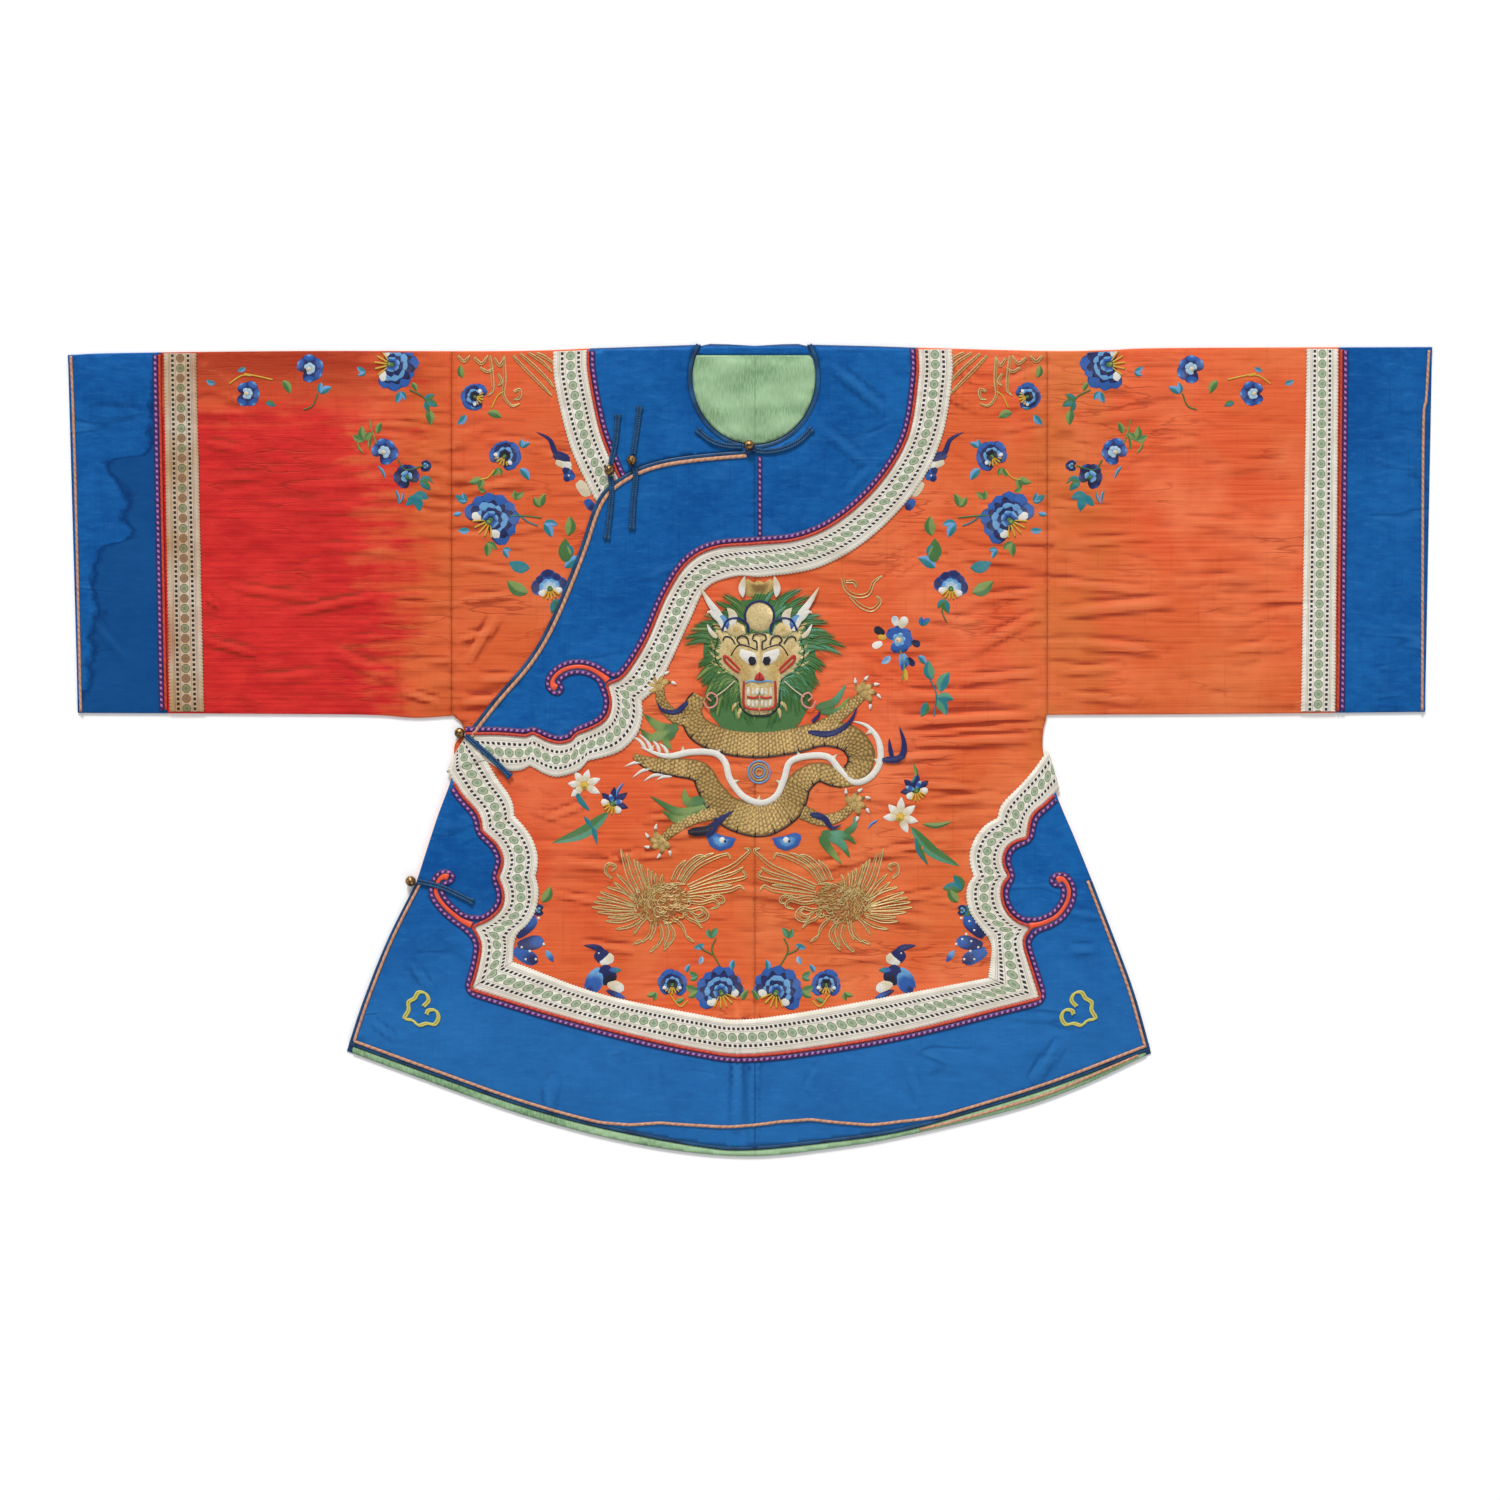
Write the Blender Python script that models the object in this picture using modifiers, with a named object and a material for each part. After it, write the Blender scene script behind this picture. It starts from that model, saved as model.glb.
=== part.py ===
"""Embroidered silk jacket of the East Asian kind, laid flat with its front up.

The cut is the traditional one. Each half of the body is one length of silk folded over the
shoulder, so it is front and back in one. The wearer's left front carries on past the centre
seam as a curved overlap that buttons under the right arm. Wide sleeves are tubes sewn on at
the armhole, and blue satin cuffs are tubes sewn on at their ends. Blue satin yokes and hem
borders with cloud-head outlines, woven ribbons, bindings, frog straps and ball buttons lie
on these.

Sizes are millimetres until a mesh is made. X runs from the wearer's right cuff to the left
one, and a drop is measured down from the shoulder line. The back lies on Z = 0.
"""

import math

import bmesh
import bpy
import numpy as np
from mathutils import Matrix, Vector
from mathutils.geometry import delaunay_2d_cdt

for thing in list(bpy.data.objects):
    bpy.data.objects.remove(thing, do_unlink=True)

METRE = 0.001

# Driving sizes
SHOULDER_Y = 400.0
CENTRE_SEAM = 5.0
WALL = 1.2
SEAM_GAP = 0.3
APPLIQUE = 1.0
BINDING = 1.3
LINING = 1.0
PUFF = 1.2
PUFF_RUN = 42.0
LAP_RUN = 30.0
FOLD_STEPS = 4
GRID = 37.0

FOLD_RADIUS = WALL + SEAM_GAP / 2
FRONT_TOP = 2 * WALL + SEAM_GAP
LAP = WALL + SEAM_GAP
LEVEL = APPLIQUE + SEAM_GAP

NECK_CENTRE = (4.0, 27.0)
NECK_HALF_WIDTH = 62.0
NECK_RISE = 62.0
NECK_FALL = 68.0
NECK_BINDING_WIDTH = 4.5
OVERLAP_BINDING_WIDTH = 3.6
HEM_BINDING_WIDTH = 3.0
LINING_INSET = 0.6
NECK_BAND_WIDTH = 9.0
BUTTON_RADIUS = 5.5
STRAP_WIDTH = 5.2
STRAP_TIP_WIDTH = 7.0
STRAP_HEIGHT = 1.5
STRAP_CLEARANCE = 0.5
VENT_TOP = 531.0

# Outlines. Columns: x, drop below the shoulder line, and "corner" where the line turns sharply
RIGHT_SHOULDER = [(-682, 5), (-630, 3), (-450, 1), (-240, 1), (-150, -2), (-90, -4), (-49, -5.5)]
LEFT_SHOULDER = [(57, -5.5), (120, -4), (180, -2), (300, 1), (360, 0), (420, -2), (682, -3)]
RIGHT_CUFF_END = [(-682, 5), (-680, 50), (-677, 150), (-672, 363)]
LEFT_CUFF_END = [(682, -3), (679, 49), (676, 90), (675, 362)]
RIGHT_SLEEVE_UNDER = [(-672, 363), (-480, 364), (-380, 365), (-335, 368), (-298, 366)]
LEFT_SLEEVE_UNDER = [(675, 362), (480, 364), (297, 365)]
RIGHT_CUFF_SEAM = [(-589, -4), (-582, 371)]
LEFT_CUFF_SEAM = [(589.5, -11), (586, 370)]
RIGHT_SLEEVE_SEAM_X = -298.0
LEFT_SLEEVE_SEAM_X = 297.0
RIGHT_SIDE = [
    (-298, 366, "corner"), (-289, 372), (-284, 385, "corner"), (-295, 394), (-297, 424),
    (-313, 469), (-333, 531, "corner"), (-362, 589), (-386, 649), (-401, 694, "corner"),
]
LEFT_SIDE = [
    (297, 365, "corner"), (293, 382), (294, 407), (308, 449), (325, 489), (342, 531, "corner"),
    (372, 609), (386, 649), (400, 699, "corner"),
]
FRONT_HEM = [
    (-401, 694, "corner"), (-310, 727), (-230, 755), (-150, 777), (-50, 796), (5, 799),
    (100, 789), (150, 781), (200, 768), (300, 737), (400, 699, "corner"),
]
BACK_HEM = [
    (-403, 701, "corner"), (-338, 725), (-238, 761), (-154, 785), (-70, 801), (5, 806),
    (83, 798), (153, 786), (258, 761), (328, 737), (401, 703, "corner"),
]
BACK_NECKLINE = [(-40, -6), (-22, -5.6), (5, -4), (32, -5.6), (48, -6)]
OVERLAP_EDGE = [
    (5, 100, "corner"), (-52, 105), (-90, 111), (-118, 121), (-143, 138), (-157, 160),
    (-172, 204), (-199, 269), (-222, 309), (-256, 349), (-284, 385, "corner"),
]
INNER_FLAP_SIDE = [(-284, 385), (-291, 396), (-292, 424), (-308, 469), (-324, 514)]
INNER_FLAP_HEM = [(-324, 514), (-150, 512), (5, 500)]

# Blue yoke, from the left shoulder round to its curl, and the cloud lobes under the right arm
YOKE_EDGE = [
    (168, -12), (168, 29), (158, 87), (130, 134), (90, 171), (50, 190), (7, 195), (-35, 199),
    (-62, 214), (-83, 246), (-103, 292), (-125, 326), (-142, 335, "corner"), (-138, 350),
    (-140, 364), (-147, 373), (-160, 380), (-173, 385), (-178, 391), (-190, 394), (-203, 391),
    (-211, 387), (-217, 384, "corner"), (-223, 387), (-250, 385), (-284, 385, "corner"),
]
YOKE_RIBBON_EDGE = [
    (201, -12), (201, 29), (191, 87), (166, 138), (121, 186), (70, 216), (15, 226), (-15, 226),
    (-44, 238), (-61, 271), (-83, 318), (-95, 338), (-109, 351, "corner"), (-108, 365),
    (-112, 381), (-121, 393), (-133, 402), (-149, 407), (-162, 410, "corner"), (-170, 419),
    (-182, 424), (-194, 426), (-205, 423), (-214, 418), (-220, 415, "corner"), (-228, 419),
    (-240, 420), (-252, 417), (-264, 410, "corner"), (-284, 385, "corner"),
]
SHOULDER_YOKE_EDGE = [(-163, -12), (-162, 24), (-151, 79), (-137, 116), (-126, 140)]
SHOULDER_RIBBON_EDGE = [(-196, -12), (-194, 34), (-179, 96), (-158, 142), (-142, 164)]

# Hem border: its own edge beside the ribbon, and the ribbon's other edge on the orange silk
BORDER_EDGE_RIGHT = [
    (-302, 421, "corner"), (-287, 444), (-280, 452), (-272, 461), (-268, 470),
    (-267, 480, "corner"), (-259, 487), (-252, 494), (-247, 504), (-246, 514),
    (-251, 527, "corner"), (-247, 536), (-245, 546), (-247, 556), (-253, 564), (-262, 571),
    (-276, 577, "corner"), (-270, 587), (-268, 599), (-273, 624), (-278, 638, "corner"),
]
BORDER_EDGE_HEM = [
    (-278, 638, "corner"), (-190, 665), (-110, 686), (-50, 699), (-10, 704), (50, 699),
    (150, 682), (250, 657), (289, 647, "corner"),
]
BORDER_EDGE_LEFT = [
    (289, 647, "corner"), (278, 613), (273, 597), (273, 587), (280, 577, "corner"), (270, 574),
    (260, 567), (253, 557), (250, 544), (252, 533), (258, 526, "corner"), (253, 517), (252, 507),
    (256, 497), (265, 490), (276, 487, "corner"), (277, 479), (279, 469), (284, 461), (295, 452),
    (309, 438, "corner"),
]
RIBBON_EDGE_RIGHT = [
    (-284, 385, "corner"), (-264, 410, "corner"), (-253, 429), (-242, 444), (-237, 456),
    (-236, 466, "corner"), (-226, 477), (-218, 489), (-213, 504), (-213, 517),
    (-215, 526, "corner"), (-212, 539), (-213, 553), (-217, 565), (-224, 575), (-232, 582),
    (-236, 591), (-238, 612, "corner"),
]
RIBBON_EDGE_HEM = [
    (-238, 612, "corner"), (-150, 644), (-50, 665), (-10, 670), (50, 663), (150, 645),
    (239, 628, "corner"),
]
RIBBON_EDGE_LEFT = [
    (239, 628, "corner"), (242, 599), (239, 587, "corner"), (230, 576), (221, 563), (217, 549),
    (218, 536), (224, 526, "corner"), (221, 516), (220, 504), (225, 489), (235, 476),
    (248, 468, "corner"), (250, 459), (256, 450), (270, 436), (284, 420), (298, 400, "corner"),
]
SLEEVE_RIBBON_EDGES = {
    "right_outer": [(-585, -4), (-579, 371)],
    "right_inner": [(-554, -4), (-546, 371)],
    "left_outer": [(587, -11), (583.5, 370)],
    "left_inner": [(557, -11), (551, 370)],
}

# Main creases. Columns: x and drop of one end, x and drop of the other, height, half width
CREASES = [
    (148, 372, 286, 364, 2.6, 9), (165, 392, 284, 387, 2.0, 8), (128, 346, 255, 344, 1.5, 9),
    (310, 262, 430, 250, 1.8, 9), (325, 292, 415, 300, 1.3, 8), (-284, 312, -252, 264, 1.7, 8),
    (-288, 352, -246, 348, 1.9, 8), (-272, 330, -226, 326, 1.2, 7), (78, 12, 138, 62, 1.3, 8),
    (-12, 712, -14, 782, 1.6, 7), (-196, 724, -200, 758, 1.0, 8), (282, 732, 312, 690, 1.2, 8),
    (318, 599, 346, 598, 1.1, 7), (-186, 512, -128, 516, 1.1, 7), (-30, 536, 66, 548, 1.2, 8),
    (110, 560, 186, 572, 1.1, 8), (-420, 300, -350, 330, 1.2, 9), (-330, 120, -262, 132, 0.9, 8),
    (330, 70, 420, 58, 1.0, 9), (220, 300, 292, 262, 1.2, 8),
]

# Frog straps: name, whether they lie on the raised overlap, and points with x and drop
STRAPS = [
    ("strap_neck_right", True, [(-53, 80), (-40, 90.5), (-25, 96), (-8, 97)]),
    ("strap_neck_left", True, [(62, 79), (50, 91), (34, 99), (17, 102), (5.2, 101)]),
    ("strap_chest_upper", False, [(-110, 57), (-113, 80), (-116.5, 105.2)]),
    ("strap_chest_lower", True, [(-116, 117), (-114, 126), (-116, 150), (-118, 180)]),
    ("strap_collar_upper", False, [(-132, 65), (-134, 90), (-139, 115.2)]),
    ("strap_collar_lower", True, [(-139, 127), (-138, 141), (-140, 165), (-143, 190)]),
    ("strap_underarm", True, [(-283.6, 385.6), (-258, 408), (-239, 427)]),
    ("strap_side", True, [(-332.7, 531), (-308, 537), (-276, 552)]),
]
TIP_FIRST = ("strap_neck_right", "strap_neck_left", "strap_chest_upper", "strap_collar_upper")
# Ball buttons: name, x, drop, and what carries them
BUTTONS = [
    ("button_neck", -1, 96, "overlap"),
    ("button_chest", -118, 111, "inner"),
    ("button_collar", -140, 121, "inner"),
    ("button_underarm", -290, 383, "floor"),
    ("button_side", -338.9, 531, "floor"),
]

# Colours as linear red, green, blue, then roughness and metallic value
FINISHES = {
    "orange_silk": ((0.76, 0.10, 0.028), 0.45, 0.0),
    "crimson_silk": ((0.62, 0.028, 0.022), 0.45, 0.0),
    "blue_satin": ((0.010, 0.105, 0.36), 0.4, 0.0),
    "dark_binding": ((0.012, 0.035, 0.085), 0.5, 0.0),
    "woven_ribbon": ((0.62, 0.60, 0.50), 0.6, 0.0),
    "green_lining": ((0.27, 0.49, 0.27), 0.6, 0.0),
    "gilt_brass": ((0.42, 0.25, 0.08), 0.35, 1.0),
}


def at(x, drop):
    """A place on the garment in plan."""
    return (float(x), SHOULDER_Y - drop)


def curve(rows, step):
    """Points along a smooth line through the rows, with its corners kept sharp."""
    knots = [np.array(at(row[0], row[1])) for row in rows]
    sharp = [i in (0, len(rows) - 1) or len(row) > 2 for i, row in enumerate(rows)]
    points = []
    for i in range(len(knots) - 1):
        start, end = knots[i], knots[i + 1]
        before = knots[i - 1] if not sharp[i] else start - (end - start)
        after = knots[i + 2] if not sharp[i + 1] else end + (end - start)
        count = max(1, round(float(np.linalg.norm(end - start)) / step))
        for k in range(count):
            t = k / count
            blend = (
                2 * start + (end - before) * t
                + (2 * before - 5 * start + 4 * end - after) * t**2
                + (3 * start - before - 3 * end + after) * t**3
            )
            points.append(tuple(blend / 2))
    points.append(tuple(knots[-1]))
    return points


def neck_curve(outwards, first=0.0, last=1.0, steps=26):
    """The neck hole's rim from the right shoulder round the front to the left one."""
    begin, end = math.radians(149.0), math.radians(391.0)
    points = []
    for k in range(steps + 1):
        turn = begin + (end - begin) * (first + (last - first) * k / steps)
        reach = NECK_RISE if math.sin(turn) > 0 else NECK_FALL
        x = NECK_CENTRE[0] + (NECK_HALF_WIDTH + outwards) * math.cos(turn)
        points.append(at(x, NECK_CENTRE[1] - (reach + outwards) * math.sin(turn)))
    return points


def offset(points, distance):
    """The line moved sideways, to the left of its own direction where distance is positive."""
    line = np.array(points)
    ahead = np.gradient(line, axis=0)
    ahead /= np.linalg.norm(ahead, axis=1)[:, None]
    sideways = np.stack([-ahead[:, 1], ahead[:, 0]], axis=1)
    return [tuple(p) for p in line + sideways * distance]


def inside(polygon, places):
    """Which places lie inside the polygon."""
    ring = np.array(polygon)
    result = np.zeros(len(places), dtype=bool)
    x, y = places[:, 0], places[:, 1]
    for a, b in zip(ring, np.roll(ring, -1, axis=0)):
        crosses = (a[1] > y) != (b[1] > y)
        if not crosses.any():
            continue
        where = a[0] + (y - a[1]) / (b[1] - a[1] if b[1] != a[1] else 1.0) * (b[0] - a[0])
        result ^= crosses & (x < where)
    return result


def distance_to(line, places):
    """The shortest distance from each place to a line."""
    points = np.array(line)
    nearest = np.full(len(places), np.inf)
    for a, b in zip(points, points[1:]):
        along = b - a
        t = np.clip(((places - a) @ along) / max(along @ along, 1e-12), 0.0, 1.0)
        gap = np.linalg.norm(places - a - t[:, None] * along, axis=1)
        nearest = np.minimum(nearest, gap)
    return nearest


def smooth(value):
    """An easy rise from 0 to 1."""
    t = np.clip(value, 0.0, 1.0)
    return t * t * (3 - 2 * t)


def outlines():
    """Every line that the pieces are cut along, in plan."""
    coarse, fine, tiny = 42.0, 17.0, 11.0
    lines = {}
    fold_in = FOLD_RADIUS
    for name, rows, sign in (
        ("shoulder_right", RIGHT_SHOULDER, -1), ("shoulder_left", LEFT_SHOULDER, -1),
        ("under_right", RIGHT_SLEEVE_UNDER, 1), ("under_left", LEFT_SLEEVE_UNDER, 1),
    ):
        lines[name] = [(x, y + sign * fold_in) for x, y in curve(rows, coarse)]
    lines["cuff_end_right"] = [lines["shoulder_right"][0]]
    lines["cuff_end_right"] += curve(RIGHT_CUFF_END, 90.0)[1:-1] + [lines["under_right"][0]]
    lines["cuff_end_left"] = [lines["shoulder_left"][-1]]
    lines["cuff_end_left"] += curve(LEFT_CUFF_END, 90.0)[1:-1] + [lines["under_left"][0]]
    lines["neck"] = neck_curve(0.0)
    lines["neck"][0] = lines["shoulder_right"][-1]
    lines["neck"][-1] = lines["shoulder_left"][0]
    lines["neck_binding"] = neck_curve(NECK_BINDING_WIDTH, -0.02, 1.02)
    side_right, side_left = curve(RIGHT_SIDE, 24.0), curve(LEFT_SIDE, 24.0)
    side_right[0] = lines["under_right"][-1]
    side_left[0] = lines["under_left"][-1]
    lines["side_right"], lines["side_left"] = side_right, side_left
    lines["front_hem"] = curve(FRONT_HEM, 32.0)
    lines["back_hem"] = curve(BACK_HEM, 40.0)
    lines["overlap_edge"] = curve(OVERLAP_EDGE, fine)
    lines["inner_side"] = [at(x, drop) for x, drop in INNER_FLAP_SIDE]
    lines["inner_hem"] = curve(INNER_FLAP_HEM, 40.0)
    for name, rows, step in (
        ("yoke_edge", YOKE_EDGE, fine), ("yoke_ribbon", YOKE_RIBBON_EDGE, fine),
        ("shoulder_yoke", SHOULDER_YOKE_EDGE, fine), ("shoulder_ribbon", SHOULDER_RIBBON_EDGE, fine),
        ("border_right", BORDER_EDGE_RIGHT, tiny), ("border_hem", BORDER_EDGE_HEM, 40.0),
        ("border_left", BORDER_EDGE_LEFT, tiny), ("ribbon_right", RIBBON_EDGE_RIGHT, tiny),
        ("ribbon_hem", RIBBON_EDGE_HEM, 40.0), ("ribbon_left", RIBBON_EDGE_LEFT, tiny),
        ("cuff_seam_right", RIGHT_CUFF_SEAM, coarse), ("cuff_seam_left", LEFT_CUFF_SEAM, coarse),
    ):
        lines[name] = curve(rows, step)
    for name, rows in SLEEVE_RIBBON_EDGES.items():
        lines["sleeve_ribbon_" + name] = curve(rows, coarse)
    for name, x in (("right", RIGHT_SLEEVE_SEAM_X), ("left", LEFT_SLEEVE_SEAM_X)):
        lines["sleeve_seam_" + name] = curve([(x, -12), (x, 120), (x, 240), (x, 378)], coarse)
    lines["centre_seam"] = curve([(CENTRE_SEAM, 88), (CENTRE_SEAM, 812)], 38.0)
    lines["overlap_binding"] = offset(lines["overlap_edge"], OVERLAP_BINDING_WIDTH)
    vent_right = [p for p in side_right if p[1] <= SHOULDER_Y - VENT_TOP]
    vent_left = [p for p in side_left if p[1] <= SHOULDER_Y - VENT_TOP]
    inward = HEM_BINDING_WIDTH
    vent_corner_right = (vent_right[-1][0] + inward, vent_right[-1][1] + inward * 0.6)
    vent_corner_left = (vent_left[-1][0] - inward, vent_left[-1][1] + inward * 0.6)
    hem = offset(lines["front_hem"], inward)[1:-1]
    lines["hem_binding"] = (
        [(p[0] + inward, p[1] + 1.0) for p in vent_right[:-1]] + [vent_corner_right] + hem
        + [vent_corner_left] + [(p[0] - inward, p[1] + 1.0) for p in vent_left[:-1]][::-1]
    )
    return lines


LINES = outlines()
SEAM_TOP = at(CENTRE_SEAM, 95)
SEAM_FOOT = at(CENTRE_SEAM, 799)
NECK_RIGHT = [p for p in LINES["neck"] if p[0] < CENTRE_SEAM] + [SEAM_TOP]
NECK_LEFT = [SEAM_TOP] + [p for p in LINES["neck"] if p[0] > CENTRE_SEAM]
SILHOUETTES = [
    LINES["shoulder_right"], LINES["shoulder_left"], LINES["under_right"], LINES["under_left"],
    LINES["cuff_end_right"], LINES["cuff_end_left"], LINES["side_right"], LINES["side_left"],
    LINES["front_hem"], LINES["neck"],
]
UNDER_OVERLAP = LINES["overlap_edge"] + LINES["inner_side"][1:] + LINES["inner_hem"][1:]


def lift(places):
    """How far the pieces on top are raised by the inner flap under them."""
    away = distance_to(UNDER_OVERLAP + UNDER_OVERLAP[:1], places)
    away[inside(UNDER_OVERLAP, places)] = 0.0
    return LAP * smooth(1.0 - away / LAP_RUN)


def crease_height(places):
    """Soft ridges of the main creases."""
    total = np.zeros(len(places))
    for x0, drop0, x1, drop1, height, half_width in CREASES:
        start, end = np.array(at(x0, drop0)), np.array(at(x1, drop1))
        along = end - start
        length = np.linalg.norm(along)
        along /= length
        u = (places - start) @ along / length
        v = np.abs((places - start) @ np.array([-along[1], along[0]])) / half_width
        near = (u > 0) & (u < 1) & (v < 1)
        ridge = np.zeros(len(places))
        ridge[near] = np.sin(np.pi * u[near]) ** 0.7 * (0.5 + 0.5 * np.cos(np.pi * v[near]))
        total = np.maximum(total, height * ridge)
    return total


def ground(places, lifted):
    """The height of the upper face of the cloth, 0 being the surface that the jacket lies on."""
    places = np.array(places, dtype=float).reshape(-1, 2)
    edge = np.full(len(places), np.inf)
    for line in SILHOUETTES:
        edge = np.minimum(edge, distance_to(line, places))
    free = smooth(edge / PUFF_RUN)
    height = FRONT_TOP + PUFF * free + crease_height(places) * smooth(edge / 12.0)
    if lifted:
        height = height + lift(places)
    return height


def crease_points():
    """Rows of points along each crease's ridge and feet."""
    points = []
    for x0, drop0, x1, drop1, _, half_width in CREASES:
        start, end = np.array(at(x0, drop0)), np.array(at(x1, drop1))
        along = end - start
        length = np.linalg.norm(along)
        sideways = np.array([-along[1], along[0]]) / length * half_width
        count = max(2, round(length / 26.0))
        for k in range(count + 1):
            middle = start + along * k / count
            points.append(tuple(middle))
            if 0 < k < count:
                points += [tuple(middle + sideways), tuple(middle - sideways)]
    return points


def master_pattern():
    """One triangulation of the whole front, which every piece is a part of."""
    points, edges = [], []

    def index_of(place, snap):
        for i, other in enumerate(points):
            if abs(other[0] - place[0]) < snap and abs(other[1] - place[1]) < snap:
                return i
        points.append(place)
        return len(points) - 1

    for name, line in LINES.items():
        if name != "back_hem":
            ids = [index_of(place, 1.1) for place in line]
            edges += [(a, b) for a, b in zip(ids, ids[1:]) if a != b]
    drawn = [(np.array(points[a]), np.array(points[b])) for a, b in edges]

    def clear_of_lines(places, clearance):
        nearest = np.full(len(places), np.inf)
        for a, b in drawn:
            nearest = np.minimum(nearest, distance_to([a, b], places))
        return nearest > clearance

    folds = np.array(crease_points())
    folds = folds[clear_of_lines(folds, 4.5)]
    columns, rows = np.arange(-680, 681, GRID), np.arange(0, 815, GRID)
    grid = np.array([at(x + (GRID / 2 if k % 2 else 0), d) for k, d in enumerate(rows) for x in columns])
    grid = grid[clear_of_lines(grid, 12.0)]
    apart = np.min(np.linalg.norm(grid[:, None] - folds[None], axis=2), axis=1)
    grid = grid[apart > 16.0]
    everything = [Vector(p) for p in points + [tuple(p) for p in folds] + [tuple(p) for p in grid]]
    places, _, faces, *_ = delaunay_2d_cdt(everything, edges, [], 0, 1e-4)

    pattern = bmesh.new()
    corners = [pattern.verts.new((p.x, p.y, 0.0)) for p in places]
    for face in faces:
        pattern.faces.new([corners[i] for i in face])
    bmesh.ops.remove_doubles(pattern, verts=pattern.verts, dist=0.9)
    pattern.verts.ensure_lookup_table()
    pattern.verts.index_update()
    places = np.array([v.co[:2] for v in pattern.verts])
    triangles = []
    for face in pattern.faces:
        ring = [v.index for v in face.verts]
        a, b, c = (places[i] for i in ring)
        area = (b[0] - a[0]) * (c[1] - a[1]) - (b[1] - a[1]) * (c[0] - a[0])
        if abs(area) > 0.02:
            triangles.append(ring if area > 0 else ring[::-1])
    pattern.free()
    return places, np.array(triangles)


PLACES, TRIANGLES = master_pattern()
MIDDLES = PLACES[TRIANGLES].mean(axis=1)


def cut(*within, without=()):
    """The triangles of the pattern that lie in every area of one list and none of the other."""
    chosen = np.ones(len(TRIANGLES), dtype=bool)
    for area in within:
        chosen &= inside(area, MIDDLES)
    for area in without:
        chosen &= ~inside(area, MIDDLES)
    return TRIANGLES[chosen]


def sheet(triangles, height, inset=SEAM_GAP / 2):
    """An open sheet over some triangles, drawn in a little along its border."""
    used = sorted(set(triangles.ravel()))
    spots = {old: new for new, old in enumerate(used)}
    plan = PLACES[used]
    heights = height(plan)
    mesh = bmesh.new()
    corners = [mesh.verts.new((p[0], p[1], h)) for p, h in zip(plan, heights)]
    for ring in triangles:
        mesh.faces.new([corners[spots[i]] for i in ring])
    split_touching_corners(mesh)
    shifts = {}
    for edge in mesh.edges:
        if not edge.is_boundary:
            continue
        loop = edge.link_loops[0]
        a, b = loop.vert.co, loop.link_loop_next.vert.co
        inward = Vector((a.y - b.y, b.x - a.x, 0.0)).normalized()
        for vert in edge.verts:
            shifts.setdefault(vert, []).append(inward)
    for vert, normals in shifts.items():
        total = sum(normals, Vector())
        if total.length < 0.3:
            continue
        direction = total.normalized()
        spread = max(0.5, direction.dot(normals[0]))
        vert.co += direction * inset / spread
    return mesh


def split_touching_corners(mesh):
    """Parts the cloth where two of its areas meet in a single point."""
    for vert in list(mesh.verts):
        if sum(edge.is_boundary for edge in vert.link_edges) > 2:
            fan, queue = set(), [vert.link_faces[0]]
            while queue:
                face = queue.pop()
                if face in fan:
                    continue
                fan.add(face)
                for edge in face.edges:
                    if vert in edge.verts:
                        queue += [f for f in edge.link_faces if f not in fan]
            small = min((fan, set(vert.link_faces) - fan), key=len)
            bmesh.ops.delete(mesh, geom=list(small), context='FACES_ONLY')
    loose = [v for v in mesh.verts if not v.link_faces]
    bmesh.ops.delete(mesh, geom=loose, context='VERTS')
    spare = [e for e in mesh.edges if not e.link_faces]
    bmesh.ops.delete(mesh, geom=spare, context='EDGES')


def turn_under(mesh, line, outwards):
    """Rolls the sheet's border over a fold line, down to the surface below."""
    border = [e for e in mesh.edges if e.is_boundary]
    middles = np.array([((e.verts[0].co + e.verts[1].co) / 2)[:2] for e in border])
    on_fold = distance_to(line, middles) < SEAM_GAP * 2
    row = [e for e, on in zip(border, on_fold) if on]
    for step in range(1, FOLD_STEPS + 1):
        angle = math.pi * step / FOLD_STEPS
        before = math.pi * (step - 1) / FOLD_STEPS
        made = bmesh.ops.extrude_edge_only(mesh, edges=row)["geom"]
        fresh = {item for item in made if isinstance(item, bmesh.types.BMVert)}
        row = [e for e in made if isinstance(e, bmesh.types.BMEdge) and fresh.issuperset(e.verts)]
        reach = FOLD_RADIUS * (math.sin(angle) - math.sin(before))
        sink = FOLD_RADIUS * (math.cos(before) - math.cos(angle))
        for vert in fresh:
            vert.co.y += outwards * reach
            vert.co.z = vert.co.z - sink if step < FOLD_STEPS else 0.0
    return sorted(fresh, key=lambda v: v.co.x)


def back_face(mesh, ring):
    """Closes the flat back between the rolled borders and its own outline."""
    corners = [p if isinstance(p, bmesh.types.BMVert) else mesh.verts.new((p[0], p[1], 0.0)) for p in ring]
    face = mesh.faces.new(corners)
    face.normal_update()
    if face.normal.z > 0:
        face.normal_flip()
    bmesh.ops.triangulate(mesh, faces=[face])


def material(name):
    """The finish of one kind of cloth or metal."""
    existing = bpy.data.materials.get(name)
    if existing:
        return existing
    colour, roughness, metallic = FINISHES[name]
    made = bpy.data.materials.new(name)
    made.use_nodes = True
    shader = made.node_tree.nodes["Principled BSDF"]
    shader.inputs["Base Color"].default_value = (*colour, 1.0)
    shader.inputs["Roughness"].default_value = roughness
    shader.inputs["Metallic"].default_value = metallic
    made.diffuse_color = (*colour, 1.0)
    return made


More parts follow.
